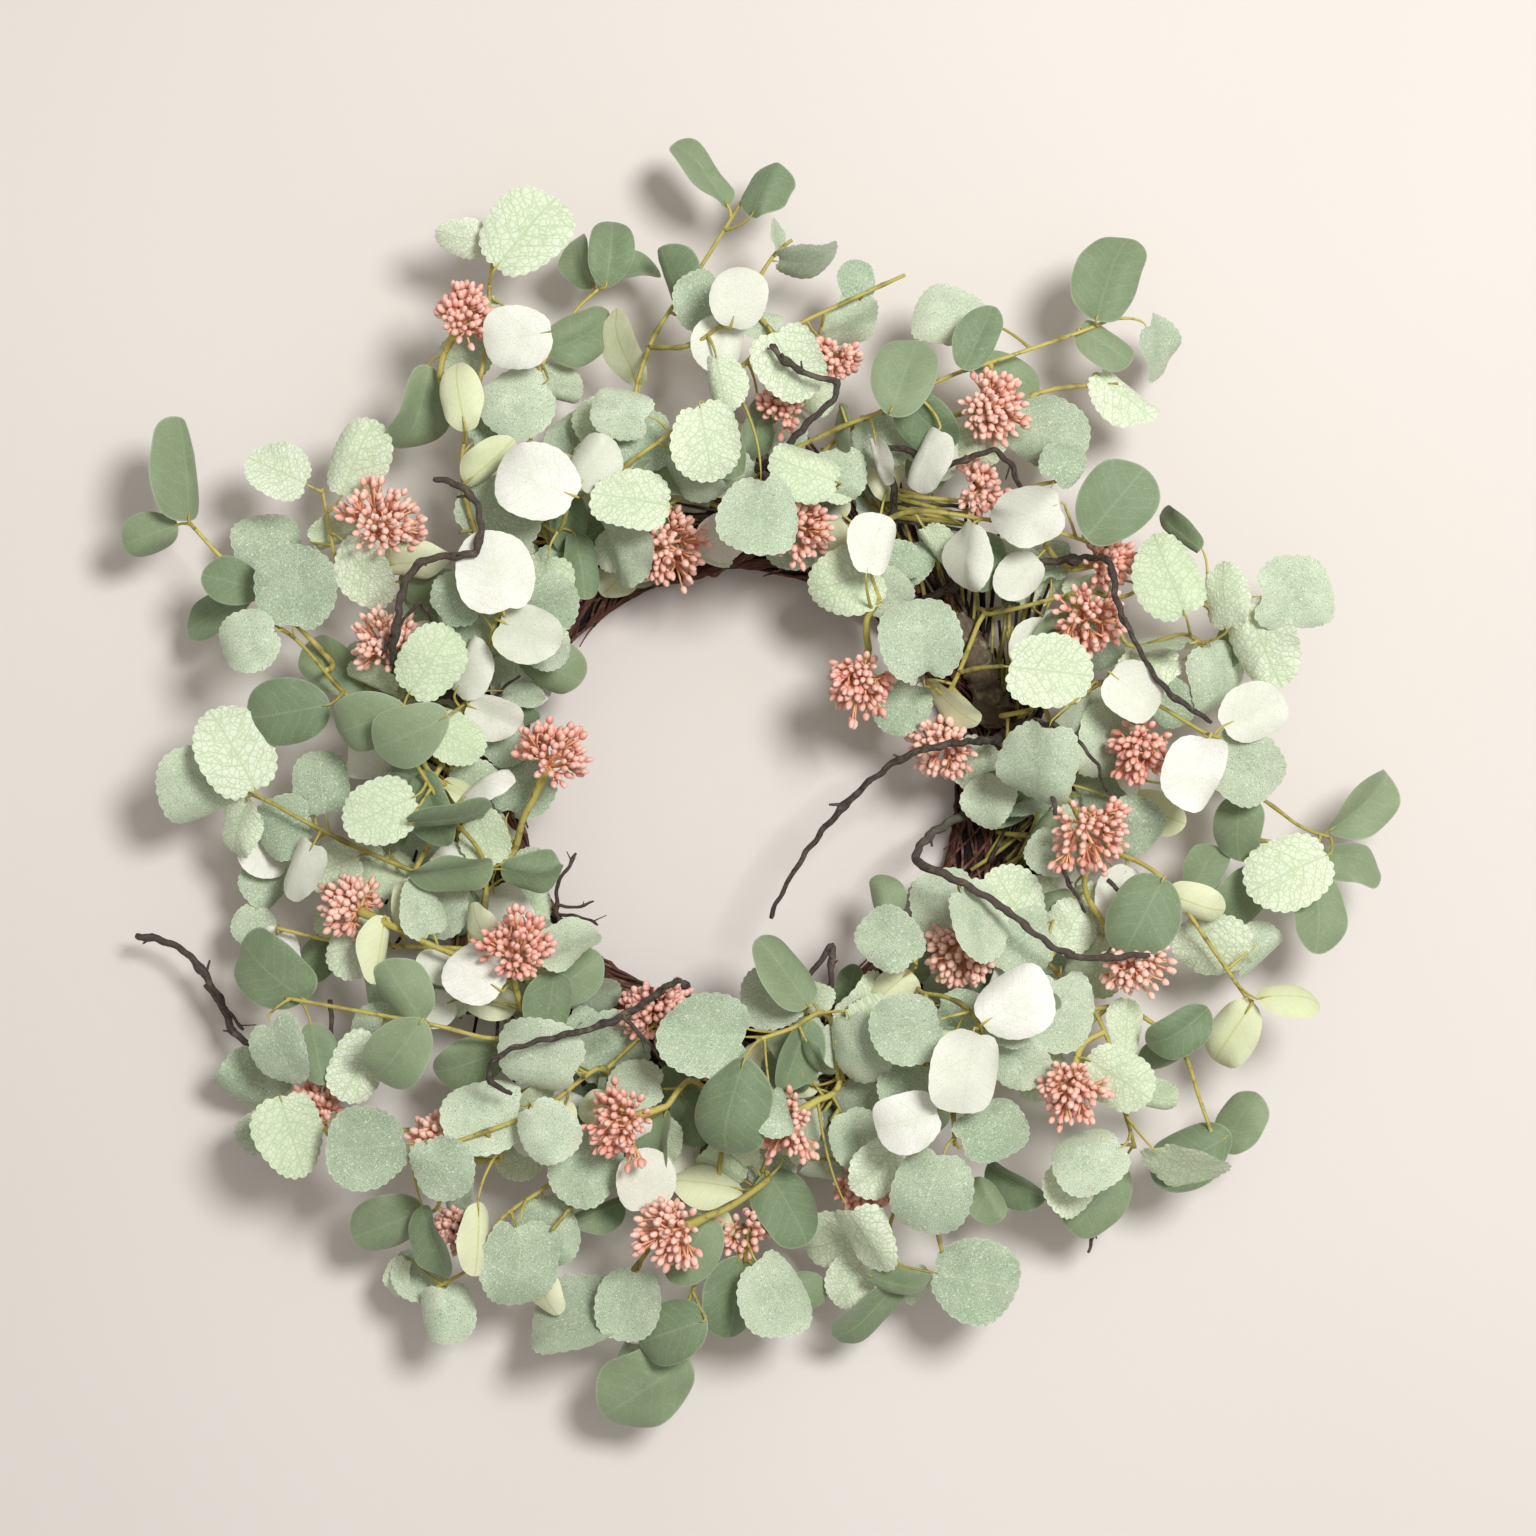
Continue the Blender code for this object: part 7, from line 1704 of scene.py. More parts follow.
def add_head(piece, root, tips, draw):
    """A head of berries: stalks that fork from its root, and several berries on each."""
    hue = draw.random()
    for tip in tips:
        way = unit(tip - root)
        reach = np.linalg.norm(tip - root) * draw.uniform(*HEAD_REACH)
        tip = root + way * reach
        side = unit(np.cross(way, np.array((draw.uniform(-1, 1), draw.uniform(-1, 1), 0.4))))
        other = np.cross(way, side)
        fork = root + way * reach * draw.uniform(*FORK_AT)
        stalk = np.vstack([root, (root + fork) / 2 + side * reach * FORK_BEND, fork])
        piece.add_tube(stalk, np.array(FORK_RADII), 5, "berry_stalk", hue)
        spread = draw.uniform(0, math.tau)
        count = draw.choice(BERRY_COUNTS)
        ends = [tip - way * BERRY_WIDTH * TOP_BERRY_SUNK]
        for k in range(count):
            turn = spread + math.tau * (k + draw.uniform(-0.2, 0.2)) / count
            off = (side * math.cos(turn) + other * math.sin(turn)) * BERRY_WIDTH * draw.uniform(*BERRY_OFF)
            share = draw.uniform(*(LOW_BERRIES if k % 2 else HIGH_BERRIES))
            ends.append(root + way * reach * share + off)
        for end in ends:
            aim = unit(unit(end - fork) + way * BERRY_OUTWARD)
            stalk = np.vstack([fork, (fork + end) / 2 + way * THIN_STALK_BEND, end])
            piece.add_tube(stalk, np.full(3, THIN_STALK), 4, "berry_stalk", hue)
            add_berry(piece, end - aim * BERRY_SUNK, aim, BERRY_WIDTH * draw.uniform(*BERRY_LENGTHS),
                      BERRY_WIDTH * draw.uniform(*BERRY_GIRTHS),
                      min(1, max(0, hue + draw.uniform(-HUE_SPREAD, HUE_SPREAD))))


BARK_SIDES = 8
BARK_STEP = 0.0016
VINE_BARK_STEP = 0.0014
THICK_SIDES = 16  # of the branch
THICK_STEP = 0.0011
THICK_RIDGES = 0.10
TWIG_WANDER = 0.0004
WANDER_PACES = (0.9, 0.67)
KNOT_ROWS = 13  # a twig has a knot for this many of its rings
KNOT_SWELL = (0.18, 0.5)
KNOT_LONG = 1.3
BARK_ROUGH = 0.055
END_THIN = 0.75
MOSS_FROM = 1.2
STUB_LEAN = 0.8
STUB_LENGTHS = (0.003, 0.0085)
STUB_THICK = 0.42


def add_twig(piece, path, radii, finish, draw, sides=BARK_SIDES, step=BARK_STEP, stubs=True,
             mossy=False, ridges=0.0):
    """A twig: rings along a path that wanders a little, swollen at knots, rough; moss at its root."""
    places, sizes = dense(path, radii, step)
    for _ in range(2):
        places[1:-1] = (places[:-2] + 2 * places[1:-1] + places[2:]) / 4
    rows = len(places)
    share = np.arange(rows)
    side, up = path_sides(places)
    start = draw.uniform(0, 6)
    drift = np.minimum(share, 4) / 4 * TWIG_WANDER
    for way, pace, begin in zip((side, up), WANDER_PACES, (start, start * 2)):
        places = places + way * (np.sin(share * pace + begin) * drift)[:, None]
    knots = [draw.uniform(3, rows - 2) for _ in range(max(1, rows // KNOT_ROWS))]
    swell = sum(draw.uniform(*KNOT_SWELL) * np.exp(-(((share - k) / KNOT_LONG) ** 2)) for k in knots)
    chance = np.random.default_rng(draw.randrange(10**6))
    noise = chance.normal(0, BARK_ROUGH, (rows, sides))
    sizes = sizes * (1 + swell) * (1 + ridges * np.clip(chance.normal(0, 1, rows), -1.5, 1.5))
    sizes[-1] *= END_THIN
    moss = np.repeat(np.clip(MOSS_FROM - 4 * share / rows, 0, 1) * (1.0 if mossy else 0.0), sides)
    piece.add_tube(places, sizes, sides, finish, draw.random(), np.append(moss, (moss[0], moss[-1])), noise)
    if not stubs:
        return
    for knot in knots[::2]:
        k = int(knot)
        ahead = unit(places[min(k + 2, rows - 1)] - places[k])
        turn = draw.uniform(0, math.tau)
        away = side[k] * math.cos(turn) + up[k] * math.sin(turn)
        if away[2] < -0.5:
            away = -away
        tip = places[k] + unit(ahead * STUB_LEAN + away) * draw.uniform(*STUB_LENGTHS)
        stub = np.vstack([places[k], (places[k] + tip) / 2, tip])
        piece.add_tube(stub, sizes[k] * STUB_THICK * np.array((1, 0.8, 0.55)), 5, finish, draw.random())


RING_STRANDS = 72
STRAND_RADIUS = 0.0010
STRAND_ROWS = 140
STRAND_WINDS = (3, 3, 3, 4, 4, 3, 2, -2)  # turns round the bundle in one round of the ring
STRAND_WAVE = 0.35
STRAND_RIPPLE = (0.08, 0.3)
STRAND_DEPTH = (0.0, 0.0005)
STRAND_GIRTH = (0.6, 1.1)
STRAND_OUT = 0.0002
INNER_DEEPER = 0.0016
CORE_INSIDE = 0.0022
CORE_LOWEST = 0.0004
FIBRES = 110
FIBRE_ROWS = 6
FIBRE_TURN = (0.06, 0.20)
FIBRE_SWING = 0.7
FIBRE_OUT = 0.0004
FIBRE_LIFT = (0.0005, 0.005)
FIBRE_LOWEST = 0.001
FIBRE_RADII = (0.0006, 0.0003)


def add_ring(piece, draw):
    """The bundle: a core painted near-black as shade, and strands that wind round it, each wandering in and
    out.

    A strand's place on the section turns steadily with the angle round the ring, with a few
    waves of its own; what would come below the surface it lies on is pressed flat on it.
    """
    turn = np.linspace(0, math.tau, STRAND_ROWS, endpoint=False)
    core = ring_place(turn, turn, 0.0)
    # The core is near-black: painted shade for the inside of the bundle, seen through the gaps between the
    # strands
    piece.add_loop(core, BUNDLE_RADIUS - CORE_INSIDE, 12, "vine_core_painted_shade", 0.3, CORE_LOWEST)
    for k in range(RING_STRANDS):
        winds = draw.choice(STRAND_WINDS)
        angle = math.tau * k / RING_STRANDS + winds * turn
        angle = angle + STRAND_WAVE * waves_round(turn, (3, 4, 5), draw)
        angle = angle + draw.uniform(*STRAND_RIPPLE) * waves_round(turn, (9, 13, 17), draw)
        inner = k % 2  # every second strand lies deeper, between the others, and is painted dark as shade
        deep = draw.uniform(*STRAND_DEPTH) * (1 + waves_round(turn, (5, 7, 11), draw))
        thick = STRAND_RADIUS * draw.uniform(*STRAND_GIRTH)
        far = BUNDLE_RADIUS + STRAND_OUT - thick - deep - inner * INNER_DEEPER
        far = far + STRAND_RELIEF * np.cos(STRANDS * angle + TWISTS * turn)
        finish = "vine_core_painted_shade" if inner else "vine_bark"
        piece.add_loop(ring_place(turn, angle, far), thick, 5, finish, draw.random(), 0)
    t = np.linspace(0, 1, FIBRE_ROWS)
    for _ in range(FIBRES):
        here, angle = draw.uniform(0, math.tau), draw.uniform(-0.4, math.pi + 0.4)
        turned = here + t * draw.uniform(*FIBRE_TURN) * draw.choice((-1, 1))
        angles = angle + t * draw.uniform(-FIBRE_SWING, FIBRE_SWING)
        far = BUNDLE_RADIUS + FIBRE_OUT + draw.uniform(*FIBRE_LIFT) * t**2
        path = ring_place(turned, angles, far)
        path[:, 2] = np.maximum(path[:, 2], FIBRE_LOWEST)
        piece.add_tube(path, np.linspace(*FIBRE_RADII, FIBRE_ROWS), 4, "vine_bark", draw.uniform(0.3, 1.0))


class Finish:
    """A material's nodes, with short calls for the patterns that the finishes share."""

    def __init__(self, name, roughness, sheen=0.0):
        self.material = bpy.data.materials.new(name)
        self.material.use_nodes = True
        self.tree = self.material.node_tree
        self.shader = self.tree.nodes["Principled BSDF"]
        self.shader.inputs["Roughness"].default_value = roughness
        self.shader.inputs["Sheen Weight"].default_value = sheen
        self.shader.inputs["Specular IOR Level"].default_value = 0.35
        self.places = self.tree.nodes.new("ShaderNodeTexCoord")

    def node(self, kind, **values):
        made = self.tree.nodes.new(kind)
        for key, value in values.items():
            setattr(made, key, value)
        return made

    def join(self, output, socket):
        self.tree.links.new(output, socket)

    def number(self, operation, first, second=0.5, clamp=False):
        """A sum on two values, each an output or a number."""
        made = self.node("ShaderNodeMath", operation=operation, use_clamp=clamp)
        for value, socket in zip((first, second), made.inputs):
            if isinstance(value, (int, float)):
                socket.default_value = value
            else:
                self.join(value, socket)
        return made.outputs[0]

    def span(self, value, low, high, to_low=0.0, to_high=1.0):
        """A value mapped from one range to another, kept inside it."""
        made = self.node("ShaderNodeMapRange", clamp=True)
        self.join(value, made.inputs["Value"])
        for key, number in (("From Min", low), ("From Max", high), ("To Min", to_low), ("To Max", to_high)):
            made.inputs[key].default_value = number
        return made.outputs["Result"]

    def blend(self, share, first, second, kind="MIX"):
        """One colour turned into another by a share; each is an output or a colour as on a screen."""
        made = self.node("ShaderNodeMix", data_type="RGBA", blend_type=kind)
        colours = (made.inputs[6], made.inputs[7])
        for value, socket in zip((first, second), colours):
            if isinstance(value, tuple):
                socket.default_value = (*linear(*value), 1)
            else:
                self.join(value, socket)
        if isinstance(share, (int, float)):
            made.inputs[0].default_value = share
        else:
            self.join(share, made.inputs[0])
        return made.outputs[2]

    def cover(self, base, mask, share, colour):
        """A base turned into a colour by this share of a mask."""
        return self.blend(self.number("MULTIPLY", mask, share), base, colour)

    def spots(self, scale, detail, low, high, to_low=0.0, to_high=1.0):
        """Noise with its range from low to high drawn out."""
        return self.span(self.noise(scale, detail), low, high, to_low, to_high)

    def noise(self, scale, detail=2.0, where="Object", stretch=None):
        """Noise at this many waves a metre, or a UV unit; stretch scales each direction."""
        made = self.node("ShaderNodeTexNoise")
        made.inputs["Scale"].default_value = scale
        made.inputs["Detail"].default_value = detail
        if stretch:
            turned = self.node("ShaderNodeMapping")
            turned.inputs["Scale"].default_value = stretch
            self.join(self.places.outputs[where], turned.inputs["Vector"])
            self.join(turned.outputs["Vector"], made.inputs["Vector"])
        else:
            self.join(self.places.outputs[where], made.inputs["Vector"])
        return made.outputs["Fac"]

    def value(self, label):
        """A value that the mesh carries at each point."""
        return self.node("ShaderNodeAttribute", attribute_name=label).outputs["Fac"]

    def relief(self, height, strength, distance):
        made = self.node("ShaderNodeBump")
        made.inputs["Strength"].default_value = strength
        made.inputs["Distance"].default_value = distance
        self.join(height, made.inputs["Height"])
        self.join(made.outputs["Normal"], self.shader.inputs["Normal"])

    def colour(self, output):
        self.join(output, self.shader.inputs["Base Color"])
        return self.material


def linear(red, green, blue):
    """A colour given as it looks on a screen, 0 to 255, as the shader's linear numbers."""
    shown = np.array((red, green, blue)) / 255
    return tuple(float(x) for x in np.where(shown < 0.04045, shown / 12.92, ((shown + 0.055) / 1.055) ** 2.4))


# Patterns on leaves and bark: noise waves a metre, detail, and the range that is drawn out
LEAF_PATCHES = (90, 3.0, 0.35, 0.70)
HEART_PATCHES = (130, 3.0, 0.35, 0.6)
DUST = (1500, 2.0, 0.56, 0.70)
CRUMBS = (620, 2.0, 0.64, 0.70)
CLOUDS = (38, 2.0, 0.42, 0.62)
SPECKS = (2000, 1.0, 0.62, 0.68)
BARK_PATCHES = (150, 4.0, 0.55, 0.68)
# Veins, in units of a blade's length
RIB_WIDTH = (0.006, 0.022)
VEIN_SLANT = 0.75
VEIN_WOBBLE = 0.10
SIDE_VEINS = 7.0
SIDE_VEIN_WIDTH = 0.09
NET_CELLS = 15
NET_LINE = 0.11
SIDE_VEIN_LEAST = 0.20
HEART_SPAN = (0.15, 0.90)  # from the middle of a blade to its rim
# A pale line along each blade's rim is a painted highlight: where it lies, as a share of the radius, and how
# strongly it shows
RIM_HIGHLIGHT_LINE = (0.955, 1.0)
RIM_HIGHLIGHT_SHARE = 0.22
# Strength and depth in metres of the relief
LEAF_RELIEF = 0.38
SKIN_DEPTH = 0.0004
NET_DEPTH = 0.0002
BARK_RELIEF = 0.8
BARK_DEPTH = 0.0007
FIBRES_ROUND = 7.0
LEAF_SHEEN = 0.15
BARK_ROUGHNESS = 0.85
# Colours as they look on a screen, 0 to 255
DUST_COLOUR = (236, 240, 226)
CRUMB_COLOUR = (240, 244, 236)
SPECK_COLOUR = (112, 128, 92)
# the colour of the painted highlight along a blade's rim
RIM_HIGHLIGHT_COLOUR = (222, 228, 205)
MOSS_COLOUR = (84, 94, 76)
STEM_COLOURS = ((168, 158, 78), (200, 186, 104))
STEM_PATCH_COLOUR = (126, 118, 60)
STEM_NODE_COLOUR = (92, 78, 52)
BERRY_COLOURS = ((230, 148, 130), (246, 200, 180))
BERRY_TIP_HIGHLIGHT_COLOUR = (250, 220, 208)
# the colour of the painted highlight towards a berry's far end
BERRY_SPOT_COLOUR = (214, 116, 96)
STALK_COLOURS = ((236, 178, 136), (240, 170, 140))
STALK_PATCH_COLOUR = (218, 176, 118)
FLOOR_COLOURS = ((222, 214, 207), (228, 221, 215))
# Leaf skins: deep, pale and vein colours, flecks, net, roughness, mottle, midrib, pepper
LEAF_FINISHES = {
    "sage_face": ((106, 126, 92), (138, 154, 118), (160, 174, 138), 0.10, 0.10, 0.62, 0.5, 0.28, 0.0),
    "sage_back": ((152, 166, 134), (180, 192, 160), (192, 202, 170), 0.15, 0.15, 0.75, 0.5, 0.5, 0.0),
    "frosted_face": ((150, 170, 140), (204, 214, 188), (206, 219, 188), 0.75, 0.20, 0.80, 0.8, 0.30, 0.9),
    "crinkled_face": ((204, 217, 184), (230, 236, 214), (168, 190, 142), 0.20, 1.0, 0.80, 0.6, 0.6, 0.0),
    "white_back": ((212, 215, 196), (243, 240, 233), (196, 208, 172), 0.15, 0.30, 0.85, 0.6, 0.25, 0.28),
    "cream_back": ((212, 218, 176), (228, 230, 198), (196, 200, 134), 0.15, 0.25, 0.80, 0.5, 0.8, 0.0),
}
# Barks: deep, pale and patch colours, the share of patches, and the fibres' waves along
BARK_FINISHES = {
    "vine_bark": ((50, 27, 20), (122, 78, 62), (168, 136, 116), 0.5, 0.7),
    # The core's colours are near-black: painted shade for the hollows inside the bundle
    "vine_core_painted_shade": ((20, 13, 11), (40, 25, 21), (54, 38, 32), 0.3, 2.0),
    "twig_bark": ((48, 42, 37), (92, 82, 73), (134, 122, 106), 0.45, 3.0),
    "lichen_bark": ((46, 36, 30), (116, 100, 80), (172, 164, 130), 0.6, 14.0),
}


def leaf_finish(name, deep, pale, vein, flecks, net, roughness, mottle, midrib, pepper):
    """A leaf's skin: its own tone, mottling, a midrib with side veins, a vein net and dust.

    deep and pale are the ends of the tone, vein the colour of the veins, flecks the share
    of pale dust, net the strength of the raised vein net, pepper the share of dark specks.
    """
    skin = Finish(name, roughness, sheen=LEAF_SHEEN)
    base = skin.blend(skin.value("tone"), deep, pale)
    base = skin.cover(base, skin.spots(*LEAF_PATCHES), mottle * 0.5, pale)
    heart = skin.span(skin.value("edge"), *HEART_SPAN, 0.75, 0.0)
    heart = skin.number("MULTIPLY", heart, skin.spots(*HEART_PATCHES))
    base = skin.cover(base, heart, mottle, deep)
    apart = skin.node("ShaderNodeSeparateXYZ")
    skin.join(skin.places.outputs["UV"], apart.inputs["Vector"])
    across = skin.number("ABSOLUTE", skin.number("SUBTRACT", apart.outputs["Y"], 0.5))
    rib = skin.span(across, *RIB_WIDTH, 1.0, 0.0)
    slant = skin.number("SUBTRACT", apart.outputs["X"], skin.number("MULTIPLY", across, VEIN_SLANT))
    wobble = skin.number("MULTIPLY", skin.noise(7, 2.0, "UV"), VEIN_WOBBLE)
    stripes = skin.number("FRACT", skin.number("MULTIPLY", skin.number("ADD", slant, wobble), SIDE_VEINS))
    side = skin.number("ABSOLUTE", skin.number("SUBTRACT", stripes, 0.5))
    side_vein = skin.span(side, 0.0, SIDE_VEIN_WIDTH, 1.0, 0.0)
    cells = skin.node("ShaderNodeTexVoronoi", feature="DISTANCE_TO_EDGE")
    cells.inputs["Scale"].default_value = NET_CELLS
    skin.join(skin.places.outputs["UV"], cells.inputs["Vector"])
    mesh_line = skin.span(cells.outputs["Distance"], 0.0, NET_LINE, 1.0, 0.0)
    lines = skin.number("MAXIMUM", skin.number("MULTIPLY", side_vein, SIDE_VEIN_LEAST + net * 0.6),
                        skin.number("MULTIPLY", mesh_line, net * 0.7))
    lines = skin.number("MAXIMUM", lines, skin.number("MULTIPLY", rib, midrib))
    base = skin.blend(lines, base, vein)
    for pattern, share, colour in ((DUST, flecks, DUST_COLOUR), (CRUMBS, flecks * 0.7, CRUMB_COLOUR),
                                   (CLOUDS, mottle * 0.25, deep), (SPECKS, pepper, SPECK_COLOUR)):
        if share:
            base = skin.cover(base, skin.spots(*pattern), share, colour)
    # A painted highlight along the rim of the blade
    base = skin.cover(base, skin.span(skin.value("edge"), *RIM_HIGHLIGHT_LINE), RIM_HIGHLIGHT_SHARE, RIM_HIGHLIGHT_COLOUR)
    bubbles = skin.span(cells.outputs["Distance"], 0.0, 0.35)
    fine = skin.number("MULTIPLY", skin.noise(700, 3.0), 0.6)
    rough = skin.number("ADD", skin.number("MULTIPLY", bubbles, 0.8 * net), fine)
    rough = skin.number("SUBTRACT", rough, skin.number("MULTIPLY", rib, 0.4 * midrib))
    skin.relief(rough, LEAF_RELIEF, SKIN_DEPTH + NET_DEPTH * net)
    return skin.colour(base)


def bark_finish(name, deep, pale, spot_colour, spots, along):
    """Bark: fibres along the tube, rings across it, patches of another colour and pits."""
    bark = Finish(name, BARK_ROUGHNESS)
    fibre = bark.noise(1.0, 4.0, "UV", (FIBRES_ROUND, along, 1.0))
    base = bark.blend(bark.span(fibre, 0.38, 0.66), deep, pale)
    base = bark.blend(bark.span(bark.value("tone"), 0.25, 1.0, 0.0, 0.65), base, pale)
    base = bark.cover(base, bark.spots(*BARK_PATCHES), spots, spot_colour)
    base = bark.cover(base, bark.value("edge"), 0.75, MOSS_COLOUR)
    grain = bark.number("ADD", fibre, bark.noise(900, 4.0))
    bark.relief(grain, BARK_RELIEF, BARK_DEPTH)
    return bark.colour(base)


def finishes_made():
    """Every finish of the wreath by its name."""
    made = {name: leaf_finish(name, *values) for name, values in LEAF_FINISHES.items()}
    made.update({name: bark_finish(name, *values) for name, values in BARK_FINISHES.items()})
    stem = Finish("green_stem", 0.55)
    base = stem.blend(stem.value("tone"), *STEM_COLOURS)
    base = stem.blend(stem.spots(260, 3.0, 0.54, 0.74), base, STEM_PATCH_COLOUR)
    base = stem.cover(base, stem.value("edge"), 0.75, STEM_NODE_COLOUR)
    stem.relief(stem.noise(1.0, 3.0, "UV", (FIBRES_ROUND, 1.0, 1.0)), 0.5, SKIN_DEPTH)
    made["green_stem"] = stem.colour(base)
    berry = Finish("berry_skin", 0.34)
    base = berry.blend(berry.value("tone"), *BERRY_COLOURS)
    # A painted highlight: each berry paler towards its far end
    base = berry.cover(base, berry.span(berry.value("edge"), 0.35, 1.0), 0.6, BERRY_TIP_HIGHLIGHT_COLOUR)
    base = berry.blend(berry.spots(420, 2.0, 0.6, 0.75, 0.0, 0.25), base, BERRY_SPOT_COLOUR)
    berry.relief(berry.noise(700, 2.0), 0.25, SKIN_DEPTH)
    made["berry_skin"] = berry.colour(base)
    stalk = Finish("berry_stalk", 0.6)
    base = stalk.blend(stalk.value("tone"), *STALK_COLOURS)
    base = stalk.blend(stalk.spots(300, 2.0, 0.5, 0.7), base, STALK_PATCH_COLOUR)
    stalk.relief(stalk.noise(800, 2.0), 0.2, 0.0003)
    made["berry_stalk"] = stalk.colour(base)
    return made


def sprig_lines(nodes):
    """Each stem's own line: its smooth path, from its parent's line, straight at a socket."""
    for branches in nodes.values():
        for branch in branches:
            path, radii = branch.points.copy(), branch.radii
            path[0] = branch.chords[0][0]
            if branch.parent is not None:
                far = np.linalg.norm(branch.parent.line[0] - path[0], axis=1)
                path[0] = branch.parent.line[0][int(far.argmin())]
            if branch.socket:
                keep = list(range(branch.neck + 1)) + [len(path) - 1]
                path, radii = path[keep], radii[keep]
            branch.line = (path, radii)
            branch.fine = dense(path, radii, 0.001)[0]


def deep_leaves(nodes, crowd):
    """The deep leaves of the layout, then small ones drawn along the stems where there is room."""
    draw = random.Random(SEED + 1)
    branches = [branch for own in nodes.values() for branch in own]
    placed = []
    for row in DEEP_LEAVES:
        leaf = Leaf("", row, draw)
        near = min(branches, key=lambda b: np.linalg.norm(b.points - leaf.base(), axis=1).min())
        leaf.node = near.node
        if place_leaf(leaf, nodes[near.node], crowd, draw, ("stem " + near.node, near.node), 1.0):
            placed.append(leaf)
            crowd.add(near.node, *leaf.slab())
    tries = 0
    bare = BRANCH_PLAN + [centre for centre, _ in SMALL_HEADS]
    goal = len(placed) + SMALL_LEAVES
    while len(placed) < goal and tries < SMALL_LEAVES * SMALL_TRIES:
        tries += 1
        branch = draw.choice(branches)
        k = draw.randrange(1, len(branch.points))
        place = branch.points[k]
        ahead = branch.points[k] - branch.points[k - 1]
        aside = draw.choice((-1, 1)) * draw.uniform(*SMALL_TURN)
        heading = math.degrees(math.atan2(ahead[1], ahead[0])) + aside
        size = draw.uniform(*SMALL_SIZE)
        reach = size * PLAN_UNIT * 0.5 + SMALL_STALK
        height = max(SMALL_LOWEST, place[2] * 1000 - draw.uniform(*SMALL_DROP))
        scale = PLAN_UNIT * (1 - (height / 1000 - MID_HEIGHT) / EYE_HEIGHT)
        x = (place[0] + math.cos(math.radians(heading)) * reach) / scale + PLAN_CENTRE[0]
        y = PLAN_CENTRE[1] - (place[1] + math.sin(math.radians(heading)) * reach) / scale
        by_branch = min(math.hypot(x - p[0], y - p[1]) for p in bare) < BRANCH_BARE
        if by_branch or not SMALL_ZONE[0] < math.hypot(x - RING_PLAN[0], y - RING_PLAN[1]) < SMALL_ZONE[1]:
            continue
        row = (draw.choice(SMALL_KINDS), x, y, heading, size, draw.uniform(*SMALL_ROLL), height)
        leaf = Leaf(branch.node, row, draw)
        if place_small(leaf, nodes[branch.node], crowd, draw):
            placed.append(leaf)
            crowd.add(branch.node, *leaf.slab())
    return placed


def place_small(leaf, branches, crowd, draw):
    """A few tries at a clear place for a small leaf; its own stem and leaves may touch it."""
    centre = leaf.centre.copy()
    for _ in range(SMALL_TRIES):
        leaf.centre = centre + np.array([draw.uniform(-1, 1) * SMALL_MOVE for _ in range(3)])
        leaf.hold = min((b.nearest(leaf.base(), leaf.frame()[0]) for b in branches),
                        key=lambda item: item[1])[0]
        points, faces = leaf.slab(CLEAR)
        if points[:, 2].min() > FLOOR_GAP and not crowd.hits(points, faces, ("stem " + leaf.node,)):
            return True
    return False


def stem_ends(piece, draw):
    """Cut stems bound to the ring: a few rows side by side, and loose bundles all round it."""
    for (x, y, height), heading, count in STEM_ENDS:
        start = spot(x, y, height)
        turn = math.radians(heading)
        along = np.array((math.cos(turn), math.sin(turn), ROW_RISE))
        side = np.array((-math.sin(turn), math.cos(turn), 0.0))
        for k in range(count):
            level = np.array((0, 0, draw.uniform(-ROW_UNEVEN, ROW_UNEVEN)))
            off = side * (k - count / 2) * ROW_SPACING + level
            length = draw.uniform(*ROW_LENGTHS)
            lean = unit(along + side * draw.uniform(-ROW_LEAN, ROW_LEAN))
            path = start + off + np.outer(np.linspace(-ROW_BEHIND, length, 6), lean)
            path[:, 2] += ROW_BOW * np.sin(np.linspace(0, 3, 6))
            finish = "green_stem" if k % 4 else "twig_bark"
            piece.add_tube(path, np.full(6, draw.uniform(*ROW_RADII)), 6, finish, draw.random())
    t = np.linspace(0, 1, 9)
    for k in range(BOUND_BUNDLES):
        turn = math.tau * (k + draw.uniform(-0.3, 0.3)) / BOUND_BUNDLES
        out = np.array((math.cos(turn), math.sin(turn), 0.0))
        round_it = np.array((-math.sin(turn), math.cos(turn), 0.0))
        start = RING_CENTRE + out * (RING_RADIUS + BUNDLE_RADIUS * 0.75) + np.array((0, 0, BOUND_HIGH))
        for _ in range(BUNDLE_STEMS):
            lean = unit(round_it + out * draw.uniform(*BOUND_OUTWARD)
                        + np.array((0, 0, draw.uniform(*BOUND_RISE))))
            off = out * draw.uniform(*BOUND_ASIDE) + np.array((0, 0, draw.uniform(*BOUND_LEVELS)))
            path = start + off + np.outer(t * draw.uniform(*BOUND_LENGTHS) - BOUND_BEHIND, lean)
            path = path + np.outer(BOUND_BOW * np.sin(t * 3 + draw.uniform(0, 2)), out)
            finish = draw.choice(BOUND_FINISHES)
            piece.add_tube(path, np.linspace(*BOUND_RADII, 9), 5, finish, draw.random())


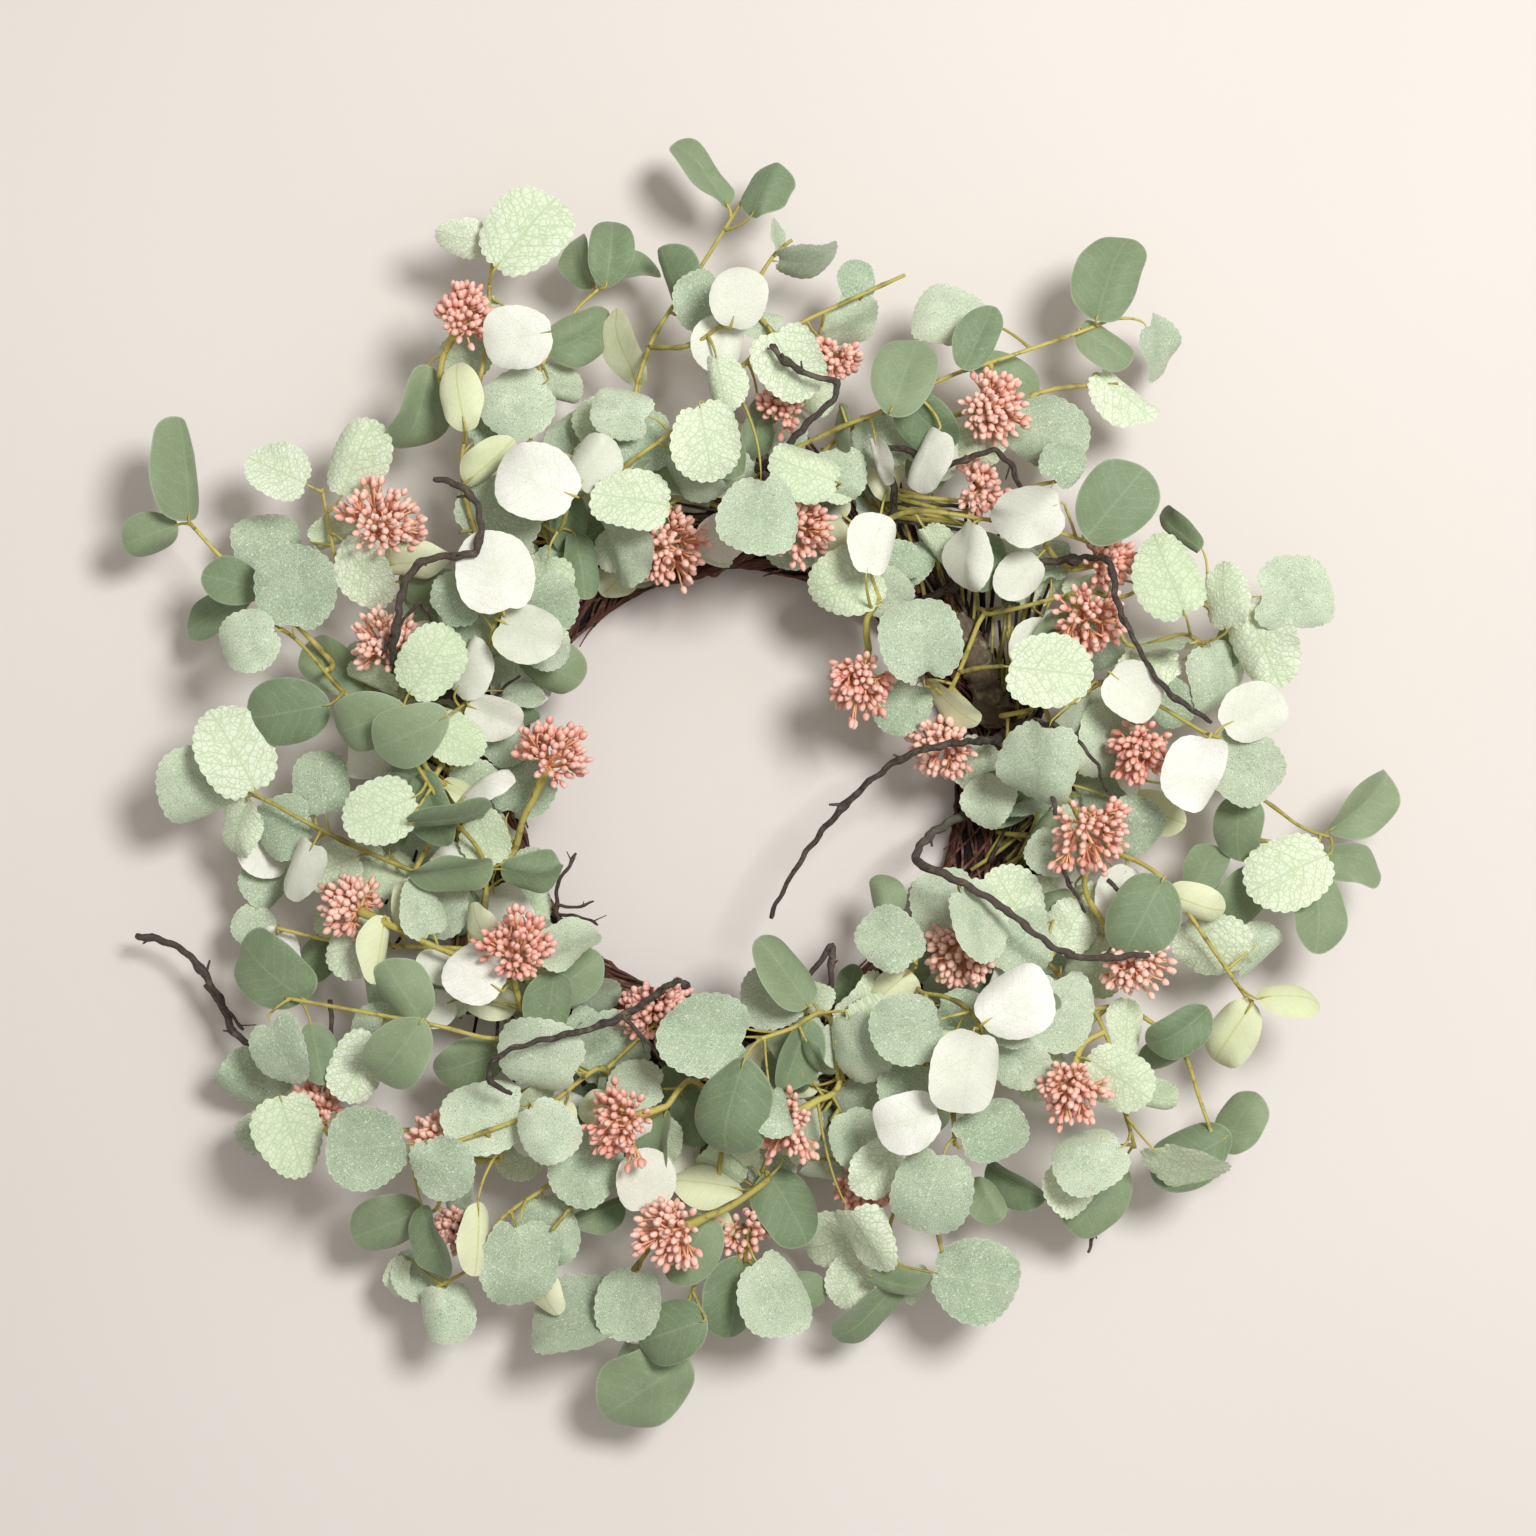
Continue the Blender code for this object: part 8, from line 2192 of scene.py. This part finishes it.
def build_wreath(finishes):
    wood, nodes, heads, leaves, crowd = place_all()
    draw = random.Random(SEED + 2)
    sprig_lines(nodes)
    leaves = leaves + deep_leaves(nodes, crowd)

    ring = Piece("bound_vine")
    add_ring(ring, draw)
    ring.made(finishes, "vine", "vine_ring")
    for name, (path, radii) in wood.items():
        piece = Piece(name + "_bark")
        if name == "twig_bottom":  # a pointed peak with straight legs
            peak = int(np.argmax(path[:, 1]))
            keep = np.abs(np.arange(len(path)) - peak) != 1
            path[peak, 1] += PEAK_LIFT
            path, radii = path[keep], radii[keep]
        if name == "loose_vine":
            add_twig(piece, path, radii, "vine_bark", draw, step=VINE_BARK_STEP, stubs=False)
            piece.made(finishes, "vine", name)
        elif name == "knobbly_branch":
            add_twig(piece, path, radii, "lichen_bark", draw, THICK_SIDES, THICK_STEP, ridges=THICK_RIDGES)
            piece.made(finishes, "lichen_branch", name)
        else:
            add_twig(piece, path, radii, "twig_bark", draw, mossy=name == "twig_right_low")
            piece.made(finishes, "twig", name)
    small = Piece("side_twigs")
    for radius, points in SIDE_TWIGS:
        path = np.array([spot(*p) for p in points])
        radii = np.linspace(radius, radius * SIDE_TWIG_TAPER, len(path)) / 1000
        add_twig(small, path, radii, "twig_bark", draw)
    small.made(finishes, "twig")
    ends = Piece("stem_ends")
    stem_ends(ends, draw)
    ends.made(finishes, "stem")

    for name, branches in nodes.items():
        piece = Piece(name.replace("spray", "sprig"))
        for branch in branches:
            add_stem(piece, branch, draw)
        own = [leaf for leaf in leaves if leaf.node == name]
        for leaf in own:
            add_petiole(piece, leaf, branches, draw)
        for leaf in own:
            add_blade(piece, leaf, draw)
        piece.made(finishes, "foliage", name)

    for index, (root, tips) in enumerate(heads):
        name = f"berries_{index + 1:02d}"
        piece = Piece(name.replace("berries", "berry_head"))
        add_head(piece, root, tips, draw)
        piece.made(finishes, "berry", name)
    few = Piece("small_heads")
    for centre, width in SMALL_HEADS:
        middle = spot(*centre)
        tips = []
        for _ in range(GLIMPSE_TIPS if width < FULL_HEAD else FULL_TIPS):
            aim = unit(np.array([draw.uniform(-1, 1), draw.uniform(-1, 1), draw.uniform(-0.1, 1)]))
            tips.append(middle + aim * width * PLAN_UNIT * 0.5)
        root = middle - np.array((0, 0, HEAD_ROOT_LOW))
        add_head(few, root, tips, draw)
        stalk = root - np.array(HEAD_STALK)
        few.add_tube(stalk, np.array(HEAD_STALK_RADII), 7, "green_stem", 0.5)
    few.made(finishes, "berry")


def studio():
    """A pale warm floor, a large soft light high on the right, and a camera straight above."""
    stage = bpy.context.scene.collection
    floor_mesh = bpy.data.meshes.new("floor")
    corners = [(x * FLOOR_HALF, y * FLOOR_HALF, 0) for x, y in ((-1, -1), (1, -1), (1, 1), (-1, 1))]
    floor_mesh.from_pydata(corners, [], [(0, 1, 2, 3)])
    floor = link("floor", floor_mesh, stage)
    paint = Finish("floor_paint", 0.9)
    tint = paint.spots(1.5, 2.0, 0.3, 0.7)
    floor_mesh.materials.append(paint.colour(paint.blend(tint, *FLOOR_COLOURS)))

    for name, place, size, power in LAMPS:
        light = bpy.data.lights.new(name, "AREA")
        light.shape = "DISK"
        light.size = size
        light.energy = power
        light.color = LAMP_COLOUR
        lamp = link(name, light, stage)
        lamp.location = place
        lamp.rotation_euler = (Vector((0, 0, 0)) - Vector(place)).to_track_quat("-Z", "Y").to_euler()
    world = bpy.data.worlds.new("soft_room")
    world.use_nodes = True
    air = world.node_tree.nodes["Background"].inputs
    air["Color"].default_value = AIR_COLOUR
    air["Strength"].default_value = AIR_STRENGTH
    bpy.context.scene.world = world
    bpy.context.scene.view_settings.view_transform = "Standard"

    lens = bpy.data.cameras.new("camera")
    lens.sensor_width = FILM_WIDTH
    lens.lens = FILM_WIDTH * EYE_HEIGHT / (PHOTO_SIDE * PLAN_UNIT)
    camera = link("camera", lens, stage)
    eye = spot(PHOTO_SIDE / 2, PHOTO_SIDE / 2, 1000 * MID_HEIGHT) + plan_shift
    camera.location = (eye[0], eye[1], MID_HEIGHT + EYE_HEIGHT)
    bpy.context.scene.camera = camera


ring_low = np.min(mesh_arrays(ring_mesh())[0], axis=0)
plan_shift = np.array(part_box("vine_ring")[0]) - ring_low
build_wreath(finishes_made())
studio()
